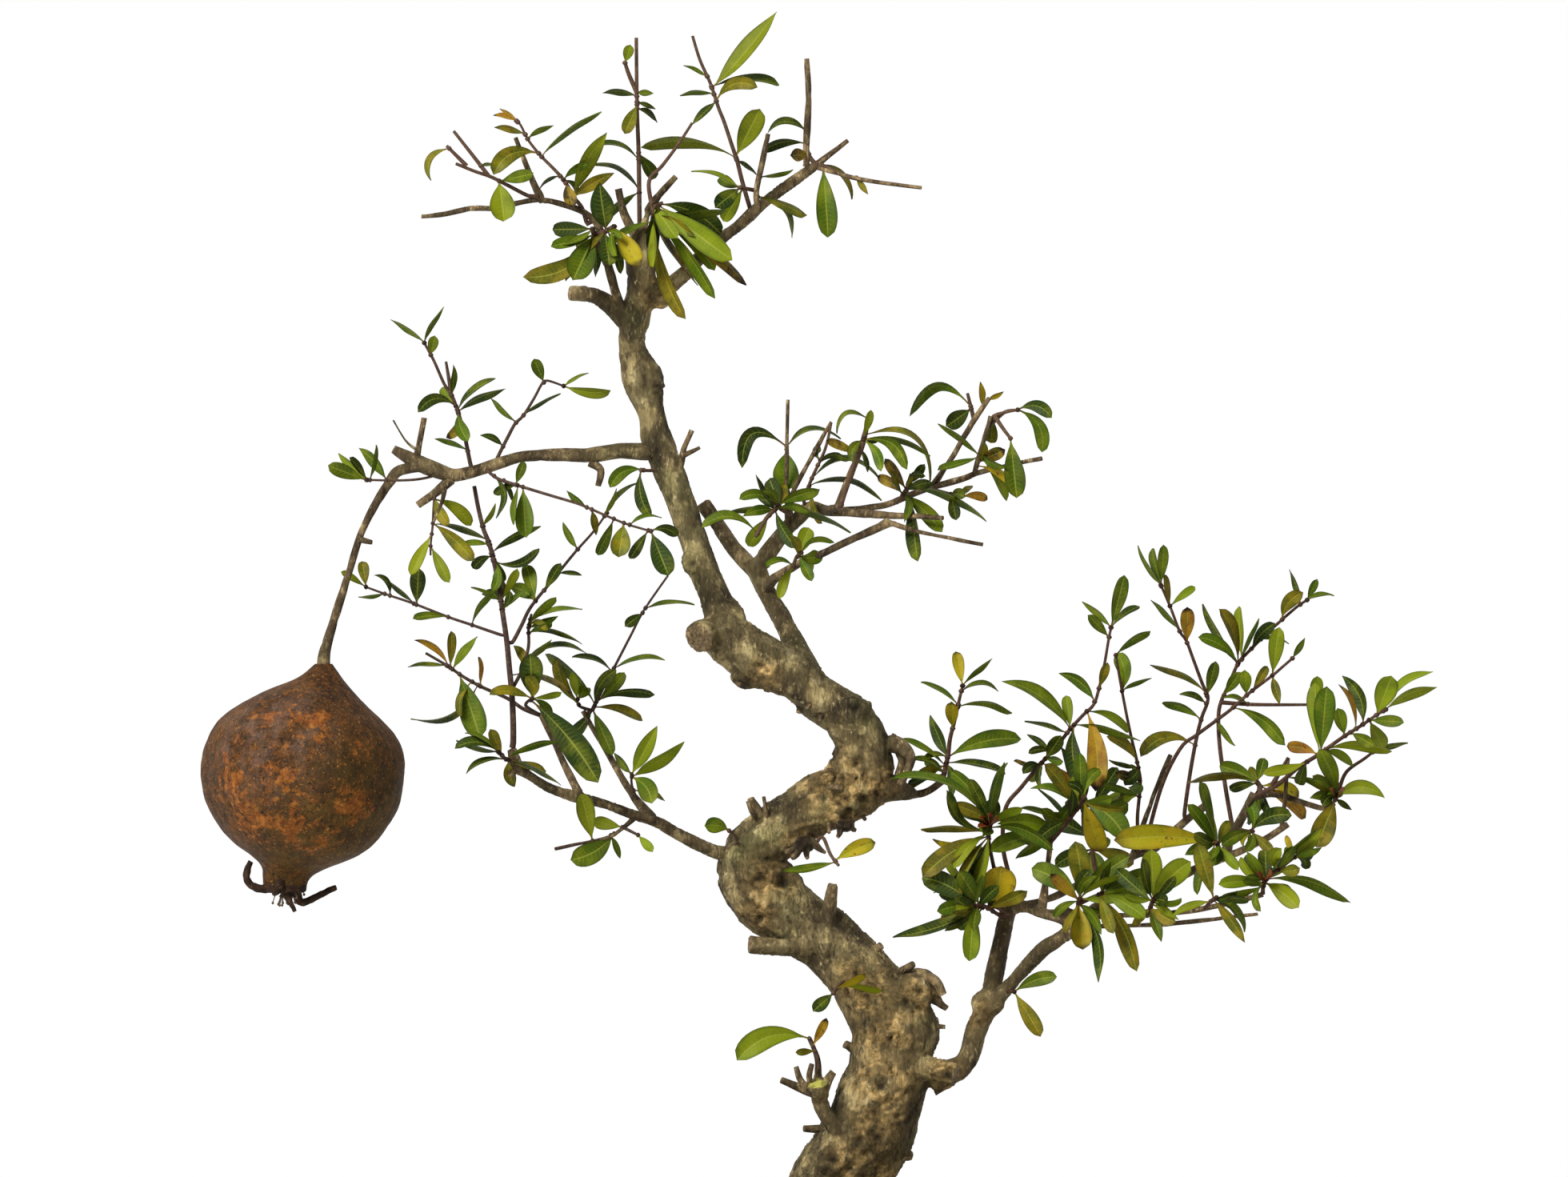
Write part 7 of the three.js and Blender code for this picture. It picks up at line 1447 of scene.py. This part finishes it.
RIGHT_BRANCH = [
  ["right_first_shoot", 1.2, 0.6, [
    [[47.5, 273.5, 14], [48, 276, 15], [49.3, 282, 16], [50, 288, 16], [52, 296, 16], [53, 300.5, 16],
     [54, 305, 16], [55, 309, 16]]], [
    [55, 308, 52.3, 321, 4.5, 0, "Y", 4], [55, 308, 66, 317.5, 2, 1, "g", -5],
    [54.5, 306, 69, 306.5, 2, 2.5, "g", 6], [53, 301, 39, 309.5, 2, 1, "g", -5],
    [53, 300, 73, 297.5, 2.8, 3, "G", -7], [51, 292, 50.5, 302, 5, 0, "Y", -7],
    [49, 281, 42.3, 297, 4.5, 0, "d", 7], [48.5, 278, 31.5, 288.5, 2, 1, "g", -6],
    [49.5, 281, 77, 288, 7, 2.5, "G", 9], [49, 279, 71, 275, 3.2, 1.5, "D", 5],
    [48, 275.5, 35, 281, 2, 1.5, "d", -8], [47.5, 275, 34, 271.5, 2.4, 0, "D", -5]]],
  ["right_red_node", 0.9, 0.7, [
    [[66.5, 239, 3], [65, 246, -3], [64, 253, -8], [65, 257, -10]]], [
    [64.5, 256, 61, 259.4, 1.7, 0, "s", -12], [64.5, 256, 67, 259.6, 1.7, 0, "s", -12],
    [64.5, 256, 64, 260.6, 1.8, 0, "s", -14], [64.5, 256, 60, 256, 1.5, 0, "s", -12],
    [65, 252, 39.3, 237, 7, 2, "O", -6], [65, 251, 44, 229.5, 5, -2, "d", 6],
    [64.5, 257, 28, 275, 3.4, 6, "G", -9], [64.5, 257, 49.5, 276, 5, 2, "G", 7],
    [64.5, 257, 57, 273.5, 4.5, 0, "D", -5], [64, 254, 49.5, 269, 3.5, -5, "D", -13],
    [64, 253, 39, 253.5, 3, 2, "O", 5], [65, 257, 75.5, 262, 3.5, 0, "O", -6],
    [64.5, 255, 87, 246.5, 5, 4, "G", -9], [64.5, 248, 43.3, 251, 4.5, -3, "y", -5]]],
  ["right_tall_shoot", 1.1, 0.6, [
    [[72, 238, 22], [70, 248, 21], [71, 262, 20], [77, 270, 19], [84, 278.5, 18], [90, 285, 17],
     [95, 291.5, 16], [100, 297, 15], [104, 301, 14], [106, 307, 14], [108, 316, 13], [109.5, 325, 12],
     [110.5, 330, 12]]], [
    [110.5, 330, 115.5, 349.5, 5.5, 0, "G", -5], [110, 330, 99.5, 339.5, 2.5, 1, "g", 5],
    [109, 326.5, 102, 334.5, 4, 0, "G", -6], [110.5, 330, 121.5, 338, 2.8, 1, "D", 7],
    [106.5, 307, 109, 316.5, 3.5, 0, "O", -7], [104.5, 302, 91, 312.7, 4, 2.5, "g", 6],
    [97, 293, 121, 286.8, 3, 2, "l", -6], [102, 298, 117.5, 290.5, 3.5, 2, "L", 7],
    [97, 293, 99.5, 271, 7, -2, "D", -9], [91, 286, 98, 271, 5, 1, "D", 8],
    [102, 298, 104.5, 269, 8, 2, "R", -10], [95, 292, 69.5, 310, 5, 3.5, "g", -6],
    [95, 292, 93.8, 304.5, 4.2, 0, "L", 6], [86, 280.5, 91.5, 289, 5.5, 0, "D", -8],
    [84.5, 279, 99, 268.5, 2.8, 1, "R", 5], [84, 278.5, 74, 280, 2, -1, "B", -5],
    [88, 283, 79, 289.5, 2.4, 1, "d", 6], [94, 290.5, 78, 295, 2, 0, "d", -8]]],
  ["right_slim_shoot", 0.9, 0.6, [
    [[121.5, 246, 37], [121, 258, 34], [122, 270, 32], [121.5, 276, 31], [118, 291, 29], [115, 306, 27],
     [112.5, 320, 25]]], [
    [112.5, 319.5, 125.5, 328.5, 3.4, 1, "G", -5], [115, 306, 113, 320.5, 6, 2, "L", 7],
    [115, 306, 126, 310.5, 2, 1, "g", -5], [120.5, 279, 109.5, 289, 4.2, 2, "O", -7],
    [121, 277, 110, 279.5, 2, 0, "d", 6], [121.7, 272, 113, 275, 4, 0, "B", -7],
    [122, 266, 108, 270, 3, 1, "G", 7]]],
  ["right_upper_left_shoot", 1.0, 0.6, [
    [[139, 259, 43], [141, 274, 42], [143.5, 288, 41], [145.5, 296, 40], [147.8, 303, 39],
     [145.5, 309, 38], [142.5, 317, 37], [139.5, 325, 37], [137, 328.5, 36], [133.3, 338, 35],
     [129.8, 346, 34]]], [
    [130, 345.5, 120.5, 360.5, 1.8, 0, "g", 5], [130, 346, 130.8, 361, 4.2, 0, "G", -5],
    [130, 346, 126.3, 360, 3.4, 0, "G", 9], [133.3, 338, 131, 350, 2.8, 0, "O", -6],
    [133.3, 338, 143, 345.5, 3, 0, "L", 5], [137, 328.5, 126, 340, 2, 1, "g", 5],
    [139.5, 324, 139.8, 337.5, 5.5, 0, "R", -6], [147, 305, 126, 314.5, 3, 3, "O", 6],
    [147.5, 304, 150.5, 317, 4.5, 0, "G", -6], [146, 301.5, 137, 305, 2.5, 1, "d", -6],
    [141, 296, 130.5, 300.5, 3.5, 2, "G", 7], [139.3, 286, 122, 281.5, 4.8, 5, "O", -8]]],
  ["right_long_shoot", 1.0, 0.6, [
    [[156, 255, 8], [153.5, 270, 12], [151.5, 285, 15], [151, 296, 16], [152, 302, 17], [155, 308.5, 17],
     [158.5, 316.5, 18], [163, 321.5, 18], [168, 326.5, 19], [174, 332, 19], [181, 338, 20],
     [184.5, 340.3, 20]], [[152, 301.8, 17], [165, 301, 14], [187, 301, 10]]], [
    [158.5, 316.5, 143.5, 326.5, 4.5, 2, "G", -5], [158, 316, 144.5, 338.5, 2.4, 0, "d", 6],
    [158.5, 316.5, 152, 337, 4, 1.5, "O", -9], [160, 318, 158.8, 338, 4, 0, "L", 7],
    [159.5, 318, 166.5, 333, 2, 1, "g", -8], [163.5, 322, 172, 331.5, 4.8, 1, "D", -6],
    [167, 325.5, 178, 324, 2, 1, "g", 5], [175, 333, 182.5, 343, 5.5, 2, "O", -6],
    [182, 338.5, 177.5, 351.5, 2.2, 1, "d", 5], [184.5, 340.3, 188, 348, 3, 0, "G", -5],
    [184.5, 340.3, 195, 342.3, 2, 1, "g", 4], [152, 305, 158.8, 313, 4.4, 0, "G", -7],
    [162, 301.2, 152.5, 304, 2, 1, "g", -5], [187, 301, 187.8, 311.5, 5, 0, "L", -4]]],
  ["right_mid_shoot", 1.0, 0.6, [
    [[124, 247, 39], [130, 270, 30], [137, 284.5, 24], [143, 289.5, 22], [151, 296, 4], [156, 300, 0],
     [162, 305.5, -2], [170.5, 312, -4], [174, 315, -5], [178, 318.5, -6]]], [
    [170.5, 312, 172.8, 330, 6, 0, "L", -4], [178, 318.5, 182.5, 326, 2.4, 0, "g", -4],
    [170.5, 312, 173, 301.5, 3.4, 0, "o", -6], [163, 306.5, 169, 315.5, 3.5, 0, "O", 5],
    [161, 304.5, 160, 314, 4.8, 0, "L", -6], [156, 300, 174.5, 285.8, 5, 3, "G", -7],
    [150, 295, 156.5, 285.5, 2.4, 0, "g", -5]]],
  ["right_far_shoot", 1.2, 0.6, [
    [[163, 266.5, -12], [168, 269, -14], [173, 272, -16], [180, 278, -18], [187, 282.5, -20],
     [196, 289, -22], [203, 293.5, -24], [208, 297, -25], [212, 299.5, -26]], [[170, 271, -15],
     [176, 281.5, -17]], [[165.5, 267.8, -13], [166, 270.5, -4], [165, 272, 2]]], [
    [165, 271.5, 140, 270.5, 3.6, 4, "O", 5], [165.5, 271.5, 151, 278, 6, 1, "G", 8],
    [165, 272, 168, 281, 4.5, 0, "G", 6], [166, 270.5, 181.5, 266.5, 4.5, 2, "Y", 8],
    [166, 270.5, 184, 258.5, 5, 1, "R", 11], [188, 283.3, 190, 308, 8.2, 0, "G", -5],
    [187.5, 283, 186, 309.5, 5, 0, "L", 7], [183, 280, 166.5, 276, 4.2, -1, "L", -6],
    [187, 282.5, 175.5, 285.5, 4.6, 1, "R", 7], [190, 284.5, 214, 283.5, 4.5, 2.5, "L", -9],
    [189, 283.5, 200.5, 278, 3.5, 1.5, "l", 8], [197, 289.5, 194, 300, 5, 0, "L", -7],
    [201, 292.5, 194.3, 309, 2.2, 1.5, "r", -10], [203.5, 294, 196, 312, 4.8, 3, "d", 7],
    [208.5, 297.5, 214, 312, 8.4, 0, "L", -5], [212, 299.5, 231, 307.5, 4, 2, "l", -4],
    [211, 299, 230, 313.8, 2.8, 3, "l", 6], [206, 295.5, 218, 295, 4.6, 0, "G", -9],
    [206, 295.5, 212, 284.5, 6, 0, "L", 9], [199, 291, 207.5, 286, 4.5, 0, "G", -12]]],
  ["right_far_node", 1.0, 0.6, [
    [[193.5, 265, -12], [195, 269, -13], [198, 276, -11], [205, 281, -7], [209, 284, -5]]], [
    [194, 266.5, 191.5, 270, 1.5, 0, "s", -15], [194, 266.5, 196, 270.5, 1.5, 0, "s", -15],
    [194, 266.5, 212, 266.5, 5.5, 4, "l", -5], [194, 267, 185.5, 274.5, 5, 0, "O", -8],
    [194, 266.5, 177, 273.5, 3, 2.5, "g", 8], [194, 267.5, 187.5, 284, 6.5, 1, "L", -13],
    [194, 266, 186.5, 248, 9, 0, "O", -7], [194, 266, 199.5, 262, 2.4, 0, "d", -5],
    [208, 283.5, 221.5, 286.8, 2.4, 0, "d", 4]]],
  ["right_curl_leaf", 0.9, 0.7, [
    [[158.5, 254.5, -14], [161, 254, -19], [163, 254, -22]]], [
    [162, 254, 177, 260, 6.5, 2.5, "D", -5], [162.5, 254, 151, 249, 5, 1, "G", -8],
    [162, 254, 170, 246, 4, 0, "O", -7]]],
  ["right_bottom_shoot", 1.0, 0.6, [
    [[165.5, 233, -46], [166, 236, -49], [168, 238, -51], [172, 241, -53], [177, 245, -55]]], [
    [166, 236, 163, 239.6, 1.6, 0, "s", -10], [166, 236, 168.2, 240.2, 1.6, 0, "s", -10],
    [167, 236.5, 197, 227.5, 5, 4, "G", -5], [166, 235.5, 178, 226.5, 6.8, 1, "L", -9],
    [166, 236, 159.3, 247, 4.2, 0, "l", -6], [166.5, 236.5, 166.5, 248, 6, 0, "D", 7],
    [171, 240.5, 176.5, 249, 4, 0, "G", -8], [177, 245, 173.8, 253, 2.4, 0, "Y", 4],
    [177, 245, 187, 255.5, 5, 0, "l", -5], [177, 245, 186.5, 248.5, 3, 0, "g", -9],
    [166, 235, 149, 235, 5, 1, "L", -7], [166, 234, 150, 229, 3.5, 0, "L", 6]]],
  ["right_bottom_leaves", 1.0, 0.7, [
    [[144, 225.8, -44], [146, 228.5, -50], [148, 230, -54]]], [
    [147, 229.5, 141, 250, 6.5, 0, "O", -5], [147, 229, 158, 213.5, 4, 1, "o", -6],
    [148, 230, 159.5, 217, 3.4, 2, "g", 7], [146, 228.5, 131, 222.5, 3, 1, "l", -4]]],
  ["right_yellow_leaf", 1.0, 0.8, [
    [[150, 245, -9.5], [150, 248, -14], [149, 250, -18]]], [
    [149, 249.5, 111, 250.5, 9.5, 2, "Y", -4], [149.5, 249, 139, 264, 4.5, 0, "G", -9],
    [150, 248, 146, 262, 4, 0, "G", 8], [149.5, 249, 157, 240, 4, 0, "L", -8]]],
  ["right_centre_sprig", 1.1, 0.7, [
    [[87.5, 249.5, 4], [92, 255, -2], [98, 263, -7], [100.5, 267.5, -10]], [[95, 258.5, -4.5],
     [94, 272, -8]]], [
    [99, 265, 115, 251.5, 9, 2.5, "G", -8], [99.5, 265.5, 106.5, 245.5, 8, 0, "Y", 6],
    [98, 263, 80, 271, 3, 2, "g", -7], [93, 256.5, 76, 262.5, 2, 1, "d", -5],
    [94, 258, 82.5, 269, 2, 1.5, "d", 5], [90, 252.5, 67.5, 256.5, 6.5, 2.5, "l", -9],
    [89, 251.5, 65, 246.5, 6, 2, "G", -15], [99, 265, 98, 283, 5.5, 0, "G", -8],
    [97, 262, 85, 279, 5.5, 1, "O", -9]]],
  ["right_front_leaves", 1.1, 0.8, [
    [[70, 221, 6.5], [67, 223, -2], [62, 226, -10], [58, 226, -13]]], [
    [66, 224, 69, 240.5, 13, 0, "Y", -6], [58.5, 226, 57, 205.5, 6.8, 0, "L", -4],
    [60, 226, 45, 224, 5.5, 1, "G", -6], [61, 226, 53, 239, 6.5, 0, "G", -8],
    [58.5, 226, 39, 236.5, 8.5, 2, "D", 4], [64, 225, 78, 231, 5, 0, "O", -12]]],
  ["right_middle_leaves", 1.1, 0.8, [
    [[97, 221, -12], [97, 225, -20], [98, 229, -26]], [[97.5, 227, -23], [106, 231, -28]]], [
    [98, 229, 96, 250, 8, 1, "O", -6], [98, 229, 116, 245, 7, 1, "G", -5],
    [98, 228, 87, 238, 4.5, 0, "R", -8], [97.5, 227, 99, 210, 8, 0, "Y", -7],
    [97.5, 227, 104, 198.5, 3.6, 4, "d", -14], [98, 228, 80, 240, 8.5, 2, "G", 7],
    [105, 230.5, 118.8, 202, 6.5, 2.5, "O", -5], [106, 231, 122, 222, 6.5, 1, "L", -8],
    [105, 230.5, 110, 216.5, 5, 0, "O", -10], [106, 231, 126.5, 238, 7, 1, "G", 5]]],
  ["right_lower_arm_leaves", 1.0, 0.8, [
    [[123, 222.5, -31], [124, 226, -36], [125, 229, -40]]], [
    [125, 229, 124, 247.5, 8, 0, "L", -5], [125, 228.5, 138.5, 243, 9, 1.5, "L", -8],
    [124, 226, 128, 213.5, 4, 0, "g", -6], [124.5, 227, 133.5, 221.5, 3, 1, "l", -9],
    [124.5, 228, 111, 240, 6, 0, "D", 7]]],
  ["right_back_leaves", 1.0, 0.8, [
    [[105, 238.5, 32], [104, 246, 38], [104, 254, 42], [104, 262, 44]]], [
    [104, 254, 118, 263, 7, 1, "G", 5], [104, 250, 86, 258, 7, 1, "D", 6],
    [104, 262, 92, 274, 6, 0, "G", -5], [104, 262, 114, 277, 6, 0, "D", 5],
    [104, 246, 120, 240, 6, 1, "O", 8], [104, 246, 90, 240, 6, 1, "D", -5]]],
]
for row in RIGHT_BRANCH:
    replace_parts(leafy_stem(row, "#3d281d"), row[0])


# ------------------------ sprigs low on the right fork
# Two short young sprigs that the solids do not have: a pair of leaves at the fork of the right
# branch, and a long dark leaf with two small ones to the left of it. Made as above.

FORK_SPRIGS = [
  ["fork_sprig", 0.9, 0.6, [
    [[69, 192.5, -1], [71.5, 193.8, -5], [74, 193.6, -7]]], [
    [73.8, 193.6, 89.6, 199.4, 5.5, 1.5, "G", -4], [73.8, 193.6, 83.6, 177.4, 6, 0, "O", -6]]],
  ["long_leaf_sprig", 0.9, 0.6, [
    [[72, 222, -2], [66, 225.5, -7], [59.5, 225, -9]]], [
    [59.5, 225, 28.3, 215.2, 4.6, -2.5, "d", -5], [60, 225.5, 52.5, 237, 5, 0, "G", -5],
    [62, 225, 46, 221.5, 3.2, 1, "O", -8]]],
]
for row in FORK_SPRIGS:
    leafy_stem(row, "#3d281d")


# ------------------------ floor, light and camera
# A plain pale floor, soft white studio light from the upper left, and a long level lens that
# sees the tree from the front.

FLOOR_RADIUS = 1.5
FLOOR_DROP = 0.0005  # just under the pot's feet
KEY_PLACE = Vector((-1.5, -1.9, 2.3))
KEY_AIM = Vector((0, 0, 0.3))
KEY_POWER, KEY_SIZE = 175, 1.3
CAMERA_PLACE = (-0.01245, -5, 0.34465)
LENS, SENSOR = 306.1, 36

# Matt paint, so even that only a faint cloudiness shows.
floor_paint, place = new_material("plain pale floor")
mist = add_node("TexNoise", place, 1 / (400 * MM), 3, 0.55)
mist = add_node("MapRange", mist, 0.3, 0.7)
surface(add_node("Mix", mist, "#eeeeec", "#f4f4f2", data_type="RGBA"), 0.9, mist, 0.01)
bpy.ops.mesh.primitive_circle_add(vertices=96, radius=FLOOR_RADIUS, fill_type="NGON",
                                  location=(0, 0, -FLOOR_DROP))
floor = bpy.context.active_object
floor.name = "floor"
bpy.ops.object.transform_apply()
floor.data.materials.append(floor_paint)

world = bpy.data.worlds.new("white studio")
world.use_nodes = True
tree = world.node_tree
direction = add_node("SeparateXYZ", add_node("TexCoord", output="Generated")).node.outputs
front = add_node("MapRange", direction["Y"], -0.6, 0.5, 0.38, 1)
below = add_node("MapRange", direction["Z"], -0.9, -0.05, 0.32, 1)
tree.links.new(add_node("Math", front, below, operation="MULTIPLY"),
               tree.nodes["Background"].inputs["Strength"])
tree.nodes["Background"].inputs["Color"].default_value = (1, 1, 1, 1)
bpy.context.scene.world = world
bpy.context.scene.view_settings.view_transform = "Standard"
bpy.ops.object.light_add(type="AREA", location=KEY_PLACE)
key = bpy.context.active_object
key.name = "key light"
key.data.energy = KEY_POWER
key.data.size = KEY_SIZE
key.rotation_euler = (KEY_AIM - key.location).to_track_quat("-Z", "Y").to_euler()

bpy.ops.object.camera_add(location=CAMERA_PLACE, rotation=(math.pi / 2, 0, 0))
camera = bpy.context.active_object
camera.data.sensor_width = SENSOR
camera.data.lens = LENS
camera.data.clip_end = 30
bpy.context.scene.camera = camera
